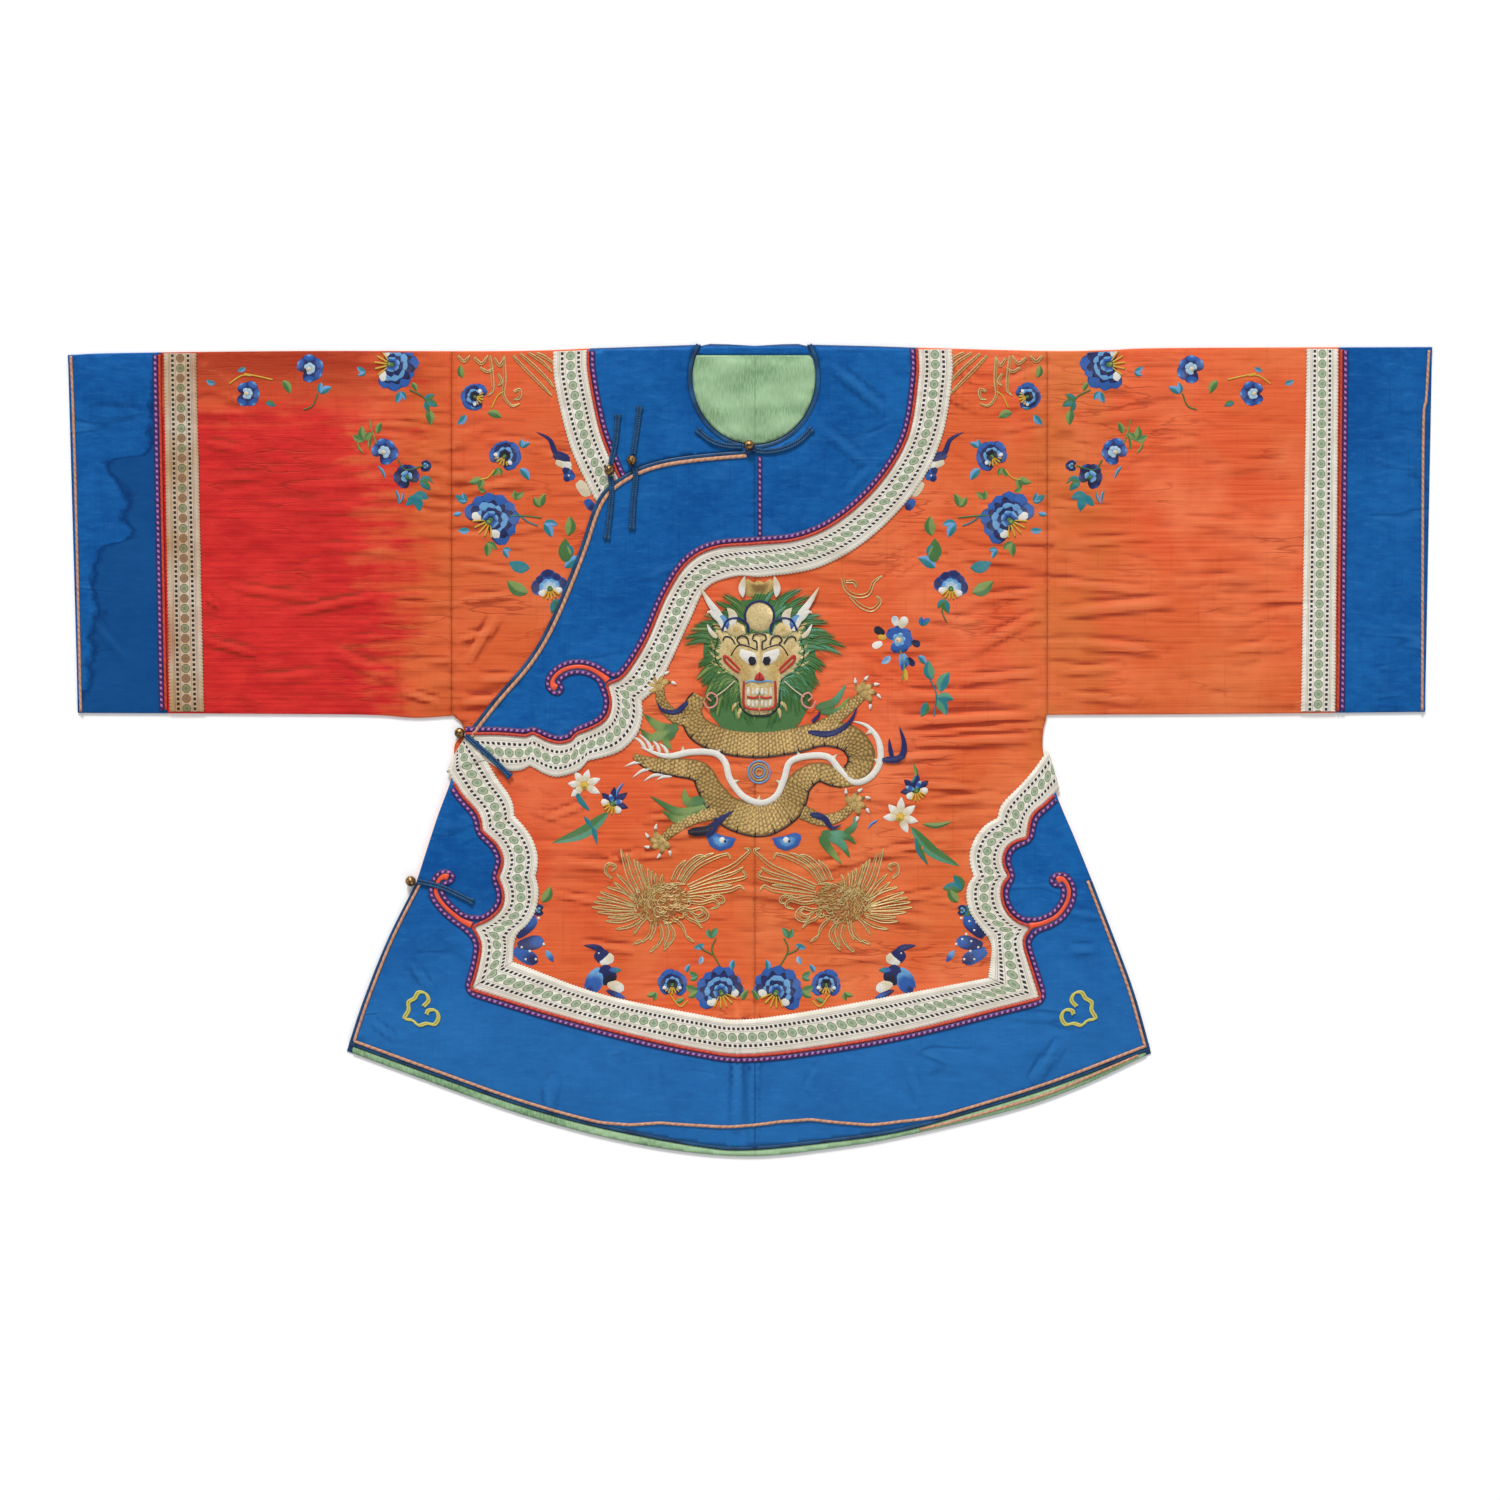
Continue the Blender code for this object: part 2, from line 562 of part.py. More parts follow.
def add_piece(name, mesh, finish, wall=0.0, side=0.0):
    """Makes the object, and gives an open sheet its wall on one side of it."""
    mesh.normal_update()
    mesh.transform(Matrix.Scale(METRE, 4))
    data = bpy.data.meshes.new(name)
    mesh.to_mesh(data)
    mesh.free()
    data.materials.append(material(finish))
    piece = bpy.data.objects.new(name, data)
    COLLECTION.objects.link(piece)
    if wall:
        solid = piece.modifiers.new("cloth wall", 'SOLIDIFY')
        solid.thickness = wall * METRE
        solid.offset = side
        solid.use_even_offset = True
    data.shade_smooth()
    return piece


def on_panel(name, triangles, finish, lifted=True, wall=APPLIQUE):
    """A piece laid on a panel, made from the panel's own points moved out."""
    mesh = sheet(triangles, lambda plan: ground(plan, lifted) + SEAM_GAP)
    return add_piece(name, mesh, finish, wall, 1.0)


def front_hem_between(low, high):
    """The points of the front hem strictly between two places."""
    return [p for p in LINES["front_hem"] if low < p[0] < high]


def body_left():
    """The wearer's left half: front and back in one, folded over the shoulder."""
    area = NECK_LEFT + [p for p in LINES["shoulder_left"] if p[0] <= LEFT_SLEEVE_SEAM_X][1:]
    area += [at(LEFT_SLEEVE_SEAM_X, 2)] + LINES["side_left"]
    area += front_hem_between(CENTRE_SEAM, 400)[::-1] + [SEAM_FOOT]
    mesh = sheet(cut(area), lambda plan: ground(plan, True))
    fold = turn_under(mesh, LINES["shoulder_left"], 1)
    seam = CENTRE_SEAM + SEAM_GAP / 2
    neckline = [at(x, drop) for x, drop in BACK_NECKLINE if x > CENTRE_SEAM][::-1]
    hem = [p for p in LINES["back_hem"] if p[0] > CENTRE_SEAM]
    side = [(LEFT_SLEEVE_SEAM_X - SEAM_GAP / 2, LINES["side_left"][0][1])] + LINES["side_left"][1:-1]
    back_face(mesh, fold[::-1] + neckline + [at(seam, -4), at(seam, 806)] + hem + side[::-1])
    return add_piece("body_left", mesh, "orange_silk", WALL, -1.0)


def body_right():
    """The wearer's right half: the back, the shoulder and the inner flap under the overlap."""
    shoulder = [p for p in LINES["shoulder_right"] if p[0] >= RIGHT_SLEEVE_SEAM_X]
    area = [at(RIGHT_SLEEVE_SEAM_X, 2)] + shoulder + NECK_RIGHT[1:]
    area += LINES["inner_hem"][::-1] + LINES["inner_side"][::-1][1:]
    area += [p for p in LINES["side_right"] if p[1] > LINES["inner_side"][0][1]][::-1]
    mesh = sheet(cut(area), lambda plan: ground(plan, False))
    fold = turn_under(mesh, LINES["shoulder_right"], 1)
    seam = CENTRE_SEAM - SEAM_GAP / 2
    neckline = [at(x, drop) for x, drop in BACK_NECKLINE if x < CENTRE_SEAM]
    hem = [p for p in LINES["back_hem"] if p[0] < CENTRE_SEAM]
    side = [(RIGHT_SLEEVE_SEAM_X + SEAM_GAP / 2, LINES["side_right"][0][1])] + LINES["side_right"][1:-1]
    back_face(mesh, fold + neckline + [at(seam, -4), at(seam, 806)] + hem[::-1] + side[::-1])
    return add_piece("body_right", mesh, "orange_silk", WALL, -1.0)


OVERLAP_AREA = (
    LINES["overlap_edge"] + [p for p in LINES["side_right"] if p[1] < LINES["inner_side"][0][1]]
    + front_hem_between(-400, CENTRE_SEAM) + [SEAM_FOOT]
)


def front_overlap():
    """The curved overlap, sewn to the wearer's left front at the centre seam."""
    mesh = sheet(cut(OVERLAP_AREA), lambda plan: ground(plan, True))
    return add_piece("front_overlap", mesh, "orange_silk", WALL, -1.0)


def sleeve_area(side):
    """The plan of one sleeve and its cuff."""
    ring = LINES["shoulder_" + side] + LINES["cuff_end_" + side][1:-1]
    if side == "right":
        ring = LINES["shoulder_right"][::-1] + LINES["cuff_end_right"][1:-1]
    return ring + LINES["under_" + side]


def tube(name, finish, side, area):
    """A sleeve or cuff: a flat tube folded along the shoulder and the underarm."""
    mesh = sheet(cut(area, sleeve_area(side)), lambda plan: ground(plan, True))
    top = turn_under(mesh, LINES["shoulder_" + side], 1)
    under = turn_under(mesh, LINES["under_" + side], -1)
    back_face(mesh, top + under[::-1])
    return add_piece(name, mesh, finish, WALL, -1.0)


def sleeves():
    """Both sleeves between armhole and cuff seam, and both cuffs beyond it."""
    for side, far, finish in (("right", -800, "crimson_silk"), ("left", 800, "orange_silk")):
        seam, cuff = LINES["sleeve_seam_" + side], LINES["cuff_seam_" + side]
        tube("sleeve_" + side, finish, side, seam + cuff[::-1])
        tube("cuff_" + side, "blue_satin", side, cuff + [at(far, 400), at(far, -40)])


def strap(name, lifted, rows):
    """A narrow frog strap with a wider rounded tip, on top of the yoke."""
    middle = curve(rows, 9.0)
    count = len(middle)
    mesh = bmesh.new()
    pairs = []
    for k in range(count):
        from_tip = k if name in TIP_FIRST else count - 1 - k
        width = STRAP_TIP_WIDTH if from_tip == 0 else STRAP_WIDTH
        left, right = offset(middle, width / 2)[k], offset(middle, -width / 2)[k]
        heights = ground([left, right], lifted) + LEVEL + STRAP_CLEARANCE
        pairs.append([mesh.verts.new((*p, max(heights))) for p in (left, right)])
    for (a, b), (c, d) in zip(pairs, pairs[1:]):
        mesh.faces.new((a, b, d, c))
    return add_piece(name, mesh, "dark_binding", STRAP_HEIGHT, 1.0)


def button(name, x, drop, carrier):
    """A gilt ball button, beside its strap's loop."""
    place = at(x, drop)
    if carrier == "floor":
        height = BUTTON_RADIUS + SEAM_GAP
    else:
        below = BINDING if carrier == "overlap" else APPLIQUE
        height = max(ground([place], carrier == "overlap")) + below + 2 * SEAM_GAP + BUTTON_RADIUS
    mesh = bmesh.new()
    bmesh.ops.create_uvsphere(mesh, u_segments=14, v_segments=8, radius=BUTTON_RADIUS)
    bmesh.ops.translate(mesh, verts=mesh.verts, vec=(place[0], place[1], height))
    return add_piece(name, mesh, "gilt_brass")


def flat_strip(name, ring, finish, bottom, thickness):
    """A flat piece on the back's inner side."""
    mesh = bmesh.new()
    face = mesh.faces.new([mesh.verts.new((p[0], p[1], bottom)) for p in ring])
    face.normal_update()
    if face.normal.z < 0:
        face.normal_flip()
    bmesh.ops.triangulate(mesh, faces=[face])
    return add_piece(name, mesh, finish, thickness, 1.0)


def rim_place(rim, y):
    """Where a line that runs downwards first reaches a height in plan."""
    for a, b in zip(rim, rim[1:]):
        if a[1] >= y > b[1]:
            t = (a[1] - y) / (a[1] - b[1])
            return (a[0] + (b[0] - a[0]) * t, y)
    raise ValueError("the line does not reach that height")


def linings():
    """The lining where it shows: inside the neck and along the longer back hem."""
    bottom = WALL + SEAM_GAP
    rim = offset(LINES["neck"], LINING_INSET)
    band_y = rim[0][1] - NECK_BAND_WIDTH
    patch_y = band_y - SEAM_GAP
    patch = [rim_place(rim, patch_y)] + [p for p in rim if p[1] < patch_y]
    flat_strip("lining_neck", patch + [rim_place(rim[::-1], patch_y)], "green_lining", bottom, LINING)
    band = [rim[0], rim_place(rim, band_y), rim_place(rim[::-1], band_y), rim[-1]]
    flat_strip("band_back_neck", band, "blue_satin", bottom, LINING)
    upper = offset(LINES["front_hem"], -LINING_INSET)[1:-1]
    lower = offset(LINES["back_hem"], 0.2)
    lower = [p for p in lower if upper[0][0] - 2 < p[0] < upper[-1][0] + 2]
    flat_strip("lining_hem", upper + lower[::-1], "green_lining", bottom, LINING)


def trims():
    """Yokes, borders, ribbons and bindings laid on the panels."""
    neck_ring = LINES["neck_binding"] + [at(57, -40), at(-49, -40)]
    neck_hole = LINES["neck"] + [at(57, -40), at(-49, -40)]
    frame_left = [at(CENTRE_SEAM, -30), at(800, -30), at(800, 999), at(CENTRE_SEAM, 999)]
    frame_right = [at(-800, -30), at(CENTRE_SEAM, -30), at(CENTRE_SEAM, 999), at(-800, 999)]
    shoulder = LINES["shoulder_right"][::-1] + [at(-800, 0), at(-800, 999), at(800, 999), at(800, 0)]
    shoulder += LINES["shoulder_left"][::-1]
    yoke_area = LINES["yoke_edge"] + LINES["overlap_edge"][::-1] + [SEAM_TOP, at(CENTRE_SEAM, -40)]
    binding_area = LINES["overlap_edge"] + LINES["overlap_binding"][::-1]
    ribbon_area = LINES["yoke_ribbon"] + LINES["yoke_edge"][::-1]
    on_panel("yoke_left", cut(yoke_area, frame_left, shoulder, without=[neck_ring]), "blue_satin")
    on_panel("yoke_overlap", cut(yoke_area, OVERLAP_AREA, without=[binding_area, neck_ring]), "blue_satin")
    on_panel("ribbon_yoke", cut(ribbon_area, shoulder, without=[binding_area]), "woven_ribbon")
    on_panel("binding_overlap", cut(binding_area, OVERLAP_AREA, without=[neck_ring]), "dark_binding",
             wall=BINDING)
    on_panel("binding_neck", cut(neck_ring, shoulder, without=[neck_hole]), "dark_binding", wall=BINDING)

    blue = LINES["shoulder_yoke"] + [at(CENTRE_SEAM, 160), at(CENTRE_SEAM, -40)]
    ribbon = LINES["shoulder_ribbon"] + LINES["shoulder_yoke"][::-1]
    hidden = [OVERLAP_AREA, neck_ring]
    on_panel("yoke_right", cut(blue, frame_right, shoulder, without=hidden), "blue_satin", False)
    on_panel("ribbon_shoulder", cut(ribbon, shoulder, without=hidden), "woven_ribbon", False)

    front = OVERLAP_AREA
    front_left = [SEAM_TOP, at(CENTRE_SEAM, 20), at(LEFT_SLEEVE_SEAM_X, 20)] + LINES["side_left"]
    front_left += front_hem_between(CENTRE_SEAM, 999)[::-1] + [SEAM_FOOT]
    border_line = LINES["border_right"] + LINES["border_hem"] + LINES["border_left"]
    ribbon_line = LINES["ribbon_right"] + LINES["ribbon_hem"] + LINES["ribbon_left"]
    below_border = border_line + [at(600, 438), at(600, 999), at(-600, 999), at(-600, 421)]
    below_ribbon = ribbon_line + [at(600, 400), at(600, 999), at(-600, 999), at(-600, 385)]
    within_binding = LINES["hem_binding"] + [at(420, 531), at(420, 100), at(-420, 100), at(-420, 531)]
    on_panel("border_overlap", cut(front, below_border, within_binding), "blue_satin")
    on_panel("border_left", cut(front_left, below_border, within_binding), "blue_satin")
    both = [front, front_left]
    ribbon_cut = [cut(area, below_ribbon, without=[below_border]) for area in both]
    on_panel("ribbon_hem", np.concatenate(ribbon_cut), "woven_ribbon")
    on_panel("binding_hem_overlap", cut(front, below_border, without=[within_binding]), "dark_binding")
    on_panel("binding_hem_left", cut(front_left, below_border, without=[within_binding]), "dark_binding")

    for side in ("right", "left"):
        outer = LINES["sleeve_ribbon_" + side + "_outer"]
        inner = LINES["sleeve_ribbon_" + side + "_inner"]
        on_panel("ribbon_sleeve_" + side, cut(outer + inner[::-1], sleeve_area(side)), "woven_ribbon")


COLLECTION = bpy.data.collections.new("embroidered_silk_jacket")
bpy.context.scene.collection.children.link(COLLECTION)
body_left()
body_right()
front_overlap()
sleeves()
trims()
linings()
for strap_name, on_overlap, strap_rows in STRAPS:
    strap(strap_name, on_overlap, strap_rows)
for button_name, button_x, button_drop, button_carrier in BUTTONS:
    button(button_name, button_x, button_drop, button_carrier)
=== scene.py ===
"""Embroidered silk jacket of the East Asian kind, laid flat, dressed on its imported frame.

Every piece of cloth is cut from one fine pattern of the whole front, so that layers share their
points and lie on each other. Plan sizes are millimetres: x runs from the wearer's right cuff to
the left one, and a drop is measured down from the shoulder line.
"""

import math
import random

import bmesh
import bpy
import numpy as np
from mathutils import Matrix, Vector
from mathutils.geometry import delaunay_2d_cdt
from mathutils.kdtree import KDTree


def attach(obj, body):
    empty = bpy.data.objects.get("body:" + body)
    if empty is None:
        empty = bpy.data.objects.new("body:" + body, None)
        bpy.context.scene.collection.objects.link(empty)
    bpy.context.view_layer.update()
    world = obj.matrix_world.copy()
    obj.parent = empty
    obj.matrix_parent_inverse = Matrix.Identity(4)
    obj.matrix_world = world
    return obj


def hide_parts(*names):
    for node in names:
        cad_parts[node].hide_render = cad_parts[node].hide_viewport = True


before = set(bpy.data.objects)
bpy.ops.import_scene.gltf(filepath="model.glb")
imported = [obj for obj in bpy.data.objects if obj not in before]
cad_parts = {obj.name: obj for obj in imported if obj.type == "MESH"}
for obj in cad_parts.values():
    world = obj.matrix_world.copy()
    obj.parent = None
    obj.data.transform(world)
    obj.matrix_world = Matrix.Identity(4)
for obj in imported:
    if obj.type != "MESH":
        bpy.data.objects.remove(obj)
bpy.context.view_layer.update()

bl_info = {
    "name": "Embroidered Silk Jacket",
    "version": (1, 0, 0),
    "blender": (4, 5, 0),
    "location": "View3D > Sidebar > Jacket",
    "description": "Dresses a flat-laid jacket with silk, ribbons, frogs and embroidery",
    "category": "Object",
}

METRE = 0.001
SHOULDER_Y = 400.0
CENTRE_SEAM = 5.0
# Thicknesses: the silk, the gap between layers, what lies on the silk, and the lining
WALL, SEAM_GAP = 1.2, 0.3
APPLIQUE, BINDING, LINING = 1.0, 1.3, 1.0
# The cloth's swell and its run in from the edge, the run of the lift over the inner flap, and the
# run of the folds in from the edge
PUFF, PUFF_RUN, LAP_RUN, FLAT_RUN = 1.2, 42.0, 30.0, 14.0
FOLD_STEPS = 6
FOLD_RADIUS = WALL + SEAM_GAP / 2
FRONT_TOP = 2 * WALL + SEAM_GAP
LAP = WALL + SEAM_GAP
ON_TOP = SEAM_GAP + APPLIQUE
GRID = 4.4
LINE_STEP = 5.0
NECK_CENTRE, NECK_HALF_WIDTH, NECK_RISE, NECK_FALL = (4.0, 27.0), 62.0, 62.0, 68.0
NECK_BINDING_WIDTH, OVERLAP_BINDING_WIDTH, HEM_BINDING_WIDTH = 4.5, 3.6, 3.0
LINING_INSET, NECK_BAND_WIDTH, VENT_TOP = 0.6, 9.0, 531.0
BUTTON_RADIUS = 5.5
# The camera's sensor and lens, and the metres that it sees across
SENSOR_WIDTH, LENS, VIEW_WIDTH = 36.0, 100.0, 1.5
CAMERA_HEIGHT = LENS / SENSOR_WIDTH * VIEW_WIDTH
TABLE_REACH, SKY_STRENGTH = 6, 0.52
# Lamps. Columns: name, turn about x and y in degrees, spread in degrees, power
LAMPS = (("key", -56, -14, 16.0, 2.75), ("fill", 30, 34, 50.0, 0.35))

# Outlines. Columns: x, drop below the shoulder line, and "corner" or "match" where two lines pair
RIGHT_SHOULDER = [(-682, 5), (-630, 3), (-450, 1), (-240, 1), (-150, -2), (-90, -4), (-49, -5.5)]
LEFT_SHOULDER = [(57, -5.5), (120, -4), (180, -2), (300, 1), (360, 0), (420, -2), (682, -3)]
RIGHT_CUFF_END = [(-682, 5), (-680, 50), (-677, 150), (-672, 363)]
LEFT_CUFF_END = [(682, -3), (679, 49), (676, 90), (675, 362)]
RIGHT_SLEEVE_UNDER = [(-672, 363), (-480, 364), (-380, 365), (-335, 368), (-298, 366)]
LEFT_SLEEVE_UNDER = [(675, 362), (480, 364), (297, 365)]
RIGHT_CUFF_SEAM = [(-589, -4), (-582, 371)]
LEFT_CUFF_SEAM = [(589.5, -11), (586, 370)]
RIGHT_SLEEVE_SEAM_X, LEFT_SLEEVE_SEAM_X = -298.0, 297.0
RIGHT_SIDE = [
    (-298, 366, "corner"), (-289, 372), (-284, 385, "corner"), (-295, 394), (-297, 424),
    (-313, 469), (-333, 531, "corner"), (-362, 589), (-386, 649), (-401, 694, "corner"),
]
LEFT_SIDE = [
    (297, 365, "corner"), (293, 382), (294, 407), (308, 449), (325, 489), (342, 531, "corner"),
    (372, 609), (386, 649), (400, 699, "corner"),
]
FRONT_HEM = [
    (-401, 694, "corner"), (-310, 727), (-230, 755), (-150, 777), (-50, 796), (5, 799),
    (100, 789), (150, 781), (200, 768), (300, 737), (400, 699, "corner"),
]
BACK_HEM = [
    (-403, 701, "corner"), (-338, 725), (-238, 761), (-154, 785), (-70, 801), (5, 806),
    (83, 798), (153, 786), (258, 761), (328, 737), (401, 703, "corner"),
]
BACK_NECKLINE = [(-40, -6), (-22, -5.6), (5, -4), (32, -5.6), (48, -6)]
OVERLAP_EDGE = [
    (5, 100, "corner"), (-52, 105), (-90, 111), (-118, 121), (-143, 138), (-157, 160),
    (-172, 204), (-199, 269), (-222, 309), (-256, 349), (-284, 385, "corner"),
]
INNER_FLAP_SIDE = [(-284, 385), (-291, 396), (-292, 424), (-308, 469), (-324, 514)]
INNER_FLAP_HEM = [(-324, 514), (-150, 512), (5, 500)]
YOKE_EDGE = [
    (168, -1), (168, 29), (158, 87), (130, 134), (90, 171), (50, 190), (7, 195), (-35, 199),
    (-62, 214), (-83, 246), (-103, 292), (-125, 326), (-142, 335, "corner"), (-138, 350),
    (-140, 364), (-147, 373), (-160, 380, "match"), (-173, 385), (-178, 391), (-190, 394),
    (-203, 391), (-211, 387), (-217, 384, "corner"), (-223, 387), (-250, 385),
    (-284, 385, "corner"),
]
YOKE_RIBBON_EDGE = [
    (201, -1), (201, 29), (191, 87), (166, 138), (121, 186), (70, 216), (15, 226), (-15, 226),
    (-44, 238), (-61, 271), (-83, 318), (-95, 338), (-109, 351, "corner"), (-108, 365),
    (-112, 381), (-121, 393), (-133, 402), (-149, 407), (-162, 410, "corner"), (-170, 419),
    (-182, 424), (-194, 426), (-205, 423), (-214, 418), (-220, 415, "corner"), (-228, 419),
    (-240, 420), (-252, 417), (-264, 410, "corner"),
]
SHOULDER_YOKE_EDGE = [(-163, -1), (-162, 24), (-151, 79), (-137, 116), (-131.2, 129)]
SHOULDER_RIBBON_EDGE = [(-196, 0), (-194, 34), (-179, 96), (-158, 142), (-152.5, 151.5)]
BORDER_EDGE_RIGHT = [
    (-302, 421, "corner"), (-287, 444), (-280, 452), (-272, 461), (-268, 470),
    (-267, 480, "corner"), (-259, 487), (-252, 494), (-247, 504), (-246, 514),
    (-251, 527, "corner"), (-247, 536), (-245, 546), (-247, 556), (-253, 564), (-262, 571),
    (-276, 577, "corner"), (-270, 587), (-268, 599), (-273, 624), (-278, 638, "corner"),
]
BORDER_EDGE_HEM = [
    (-278, 638, "corner"), (-190, 665), (-110, 686), (-50, 699), (-10, 704), (50, 699),
    (150, 682), (250, 657), (289, 647, "corner"),
]
BORDER_EDGE_LEFT = [
    (289, 647, "corner"), (278, 613), (273, 597), (273, 587), (280, 577, "corner"), (270, 574),
    (260, 567), (253, 557), (250, 544), (252, 533), (258, 526, "corner"), (253, 517), (252, 507),
    (256, 497), (265, 490), (276, 487, "corner"), (277, 479), (279, 469), (284, 461), (295, 452),
    (309, 438, "corner"),
]
RIBBON_EDGE_RIGHT = [
    (-264, 410, "corner"), (-253, 429), (-242, 444), (-237, 456), (-236, 466, "corner"),
    (-226, 477), (-218, 489), (-213, 504), (-213, 517), (-215, 526, "corner"), (-212, 539),
    (-213, 553), (-217, 565), (-224, 575), (-232, 582), (-236, 591, "match"),
    (-238, 612, "corner"),
]
RIBBON_EDGE_HEM = [
    (-238, 612, "corner"), (-150, 644), (-50, 665), (-10, 670), (50, 663), (150, 645),
    (239, 628, "corner"),
]
RIBBON_EDGE_LEFT = [
    (239, 628, "corner"), (242, 599), (239, 587, "corner"), (230, 576), (221, 563), (217, 549),
    (218, 536), (224, 526, "corner"), (221, 516), (220, 504), (225, 489), (235, 476),
    (248, 468, "corner"), (250, 459), (256, 450), (270, 436), (284, 420), (298, 400, "corner"),
]
SIDE_START = [(-295, 404, "corner"), (-302, 421, "corner")]
MITRE_START = [(-284, 386, "corner"), (-264, 410, "corner")]

# Creases of the solids. Columns: x and drop of both ends, height, half width
CREASES = [
    (148, 372, 286, 364, 2.6, 9), (165, 392, 284, 387, 2.0, 8), (128, 346, 255, 344, 1.5, 9),
    (310, 262, 430, 250, 1.8, 9), (325, 292, 415, 300, 1.3, 8), (-284, 312, -252, 264, 1.7, 8),
    (-288, 352, -246, 348, 1.9, 8), (-272, 330, -226, 326, 1.2, 7), (78, 12, 138, 62, 1.3, 8),
    (-12, 712, -14, 782, 1.6, 7), (-196, 724, -200, 758, 1.0, 8), (282, 732, 312, 690, 1.2, 8),
    (318, 599, 346, 598, 1.1, 7), (-186, 512, -128, 516, 1.1, 7), (-30, 536, 66, 548, 1.2, 8),
    (110, 560, 186, 572, 1.1, 8), (-420, 300, -350, 330, 1.2, 9), (-330, 120, -262, 132, 0.9, 8),
    (330, 70, 420, 58, 1.0, 9), (220, 300, 292, 262, 1.2, 8),
]


def at(x, drop):
    """A place on the garment in plan."""
    return (float(x), SHOULDER_Y - drop)


def spline(rows, step):
    """Smooth stretches through table rows, one for each run between corners or matches."""
    knots = [np.array(at(row[0], row[1])) for row in rows]
    sharp = [i in (0, len(rows) - 1) or row[2:] == ("corner",) for i, row in enumerate(rows)]
    runs, points = [], []
    for i in range(len(knots) - 1):
        start, end = knots[i], knots[i + 1]
        before = knots[i - 1] if not sharp[i] else start - (end - start)
        after = knots[i + 2] if not sharp[i + 1] else end + (end - start)
        count = max(1, round(float(np.linalg.norm(end - start)) / step))
        for k in range(count):
            t = k / count
            blend = (
                2 * start + (end - before) * t
                + (2 * before - 5 * start + 4 * end - after) * t**2
                + (3 * start - before - 3 * end + after) * t**3
            )
            points.append(blend / 2)
        if len(rows[i + 1]) > 2 or i == len(knots) - 2:
            runs.append(np.array(points + [end]))
            points = []
    return runs


def curve(rows, step=LINE_STEP):
    """Points along a smooth line through the rows, with its corners kept sharp."""
    runs = spline(rows, step)
    return [tuple(p) for run in runs for p in run[:-1]] + [tuple(runs[-1][-1])]


def steps_of(line):
    """The lengths of a line's segments."""
    return np.linalg.norm(np.diff(np.array(line), axis=0), axis=1)


def summed(steps):
    """The running total of some steps, from 0."""
    return np.concatenate([[0.0], np.cumsum(steps)])


def length_of(line):
    """The length of a line."""
    return float(steps_of(line).sum())


def points_at(line, along, spots):
    """The places at some spots along a line."""
    return np.stack([np.interp(spots, along, line[:, k]) for k in (0, 1)], axis=1)


def resample(points, count):
    """The same line with evenly spaced points."""
    line = np.array(points, dtype=float)
    along = summed(steps_of(line))
    return points_at(line, along, np.linspace(0.0, along[-1], count))


def even(points, step):
    """A line at an even step."""
    return resample(points, max(3, round(length_of(points) / step)))


def left_of(line):
    """The unit direction to the left of a line at each of its points."""
    ahead = np.gradient(line, axis=0)
    ahead /= np.maximum(np.linalg.norm(ahead, axis=1), 1e-9)[:, None]
    return np.stack([-ahead[:, 1], ahead[:, 0]], axis=1)


def neck_curve(outwards, first=0.0, last=1.0, steps=60):
    """The neck hole's rim from the right shoulder round the front to the left one."""
    begin, end = math.radians(149.0), math.radians(391.0)
    points = []
    for k in range(steps + 1):
        turn = begin + (end - begin) * (first + (last - first) * k / steps)
        reach = NECK_RISE if math.sin(turn) > 0 else NECK_FALL
        x = NECK_CENTRE[0] + (NECK_HALF_WIDTH + outwards) * math.cos(turn)
        points.append(at(x, NECK_CENTRE[1] - (reach + outwards) * math.sin(turn)))
    return points


def offset(points, distance):
    """The line moved sideways, to the left of its own direction where distance is positive."""
    line = np.array(points)
    return [tuple(p) for p in line + left_of(line) * distance]


def inside(polygon, places):
    """Which places lie inside the polygon."""
    ring = np.array(polygon)
    result = np.zeros(len(places), dtype=bool)
    order = np.argsort(places[:, 1])
    x, y = places[order, 0], places[order, 1]
    for a, b in zip(ring, np.roll(ring, -1, axis=0)):
        if a[1] == b[1]:
            continue
        low, high = np.searchsorted(y, (min(a[1], b[1]), max(a[1], b[1])))
        where = a[0] + (y[low:high] - a[1]) / (b[1] - a[1]) * (b[0] - a[0])
        result[order[low:high]] ^= x[low:high] < where
    return result


def distance_to(line, places):
    """The shortest distance from each place to a line."""
    points = np.array(line)
    nearest = np.full(len(places), np.inf)
    for a, b in zip(points, points[1:]):
        along = b - a
        t = np.clip(((places - a) @ along) / max(along @ along, 1e-12), 0.0, 1.0)
        gap = places - a - t[:, None] * along
        nearest = np.minimum(nearest, gap[:, 0] ** 2 + gap[:, 1] ** 2)
    return np.sqrt(nearest)


def smooth(value):
    """An easy rise from 0 to 1."""
    t = np.clip(value, 0.0, 1.0)
    return t * t * (3 - 2 * t)


def uneven(x, y, seed):
    """Smooth noise from -1 to 1 over the plan, one lattice cell for each unit."""
    column, row = np.floor(x).astype(np.int64), np.floor(y).astype(np.int64)
    fx, fy = smooth(x - column), smooth(y - row)

    def lattice(i, j):
        value = (i * 374761393 + j * 668265263 + seed * 974634777) & 0xFFFFFFFF
        value = ((value ^ (value >> 13)) * 1274126177) & 0xFFFFFFFF
        return ((value ^ (value >> 16)) & 0xFFFF) / 32767.5 - 1.0

    low = lattice(column, row) * (1 - fx) + lattice(column + 1, row) * fx
    high = lattice(column, row + 1) * (1 - fx) + lattice(column + 1, row + 1) * fx
    return low * (1 - fy) + high * fy


def vents_of(lines):
    """The open edges of both side vents, from the top down."""
    sides = (lines["side_right"], lines["side_left"])
    return [[p for p in side if p[1] <= SHOULDER_Y - VENT_TOP] for side in sides]


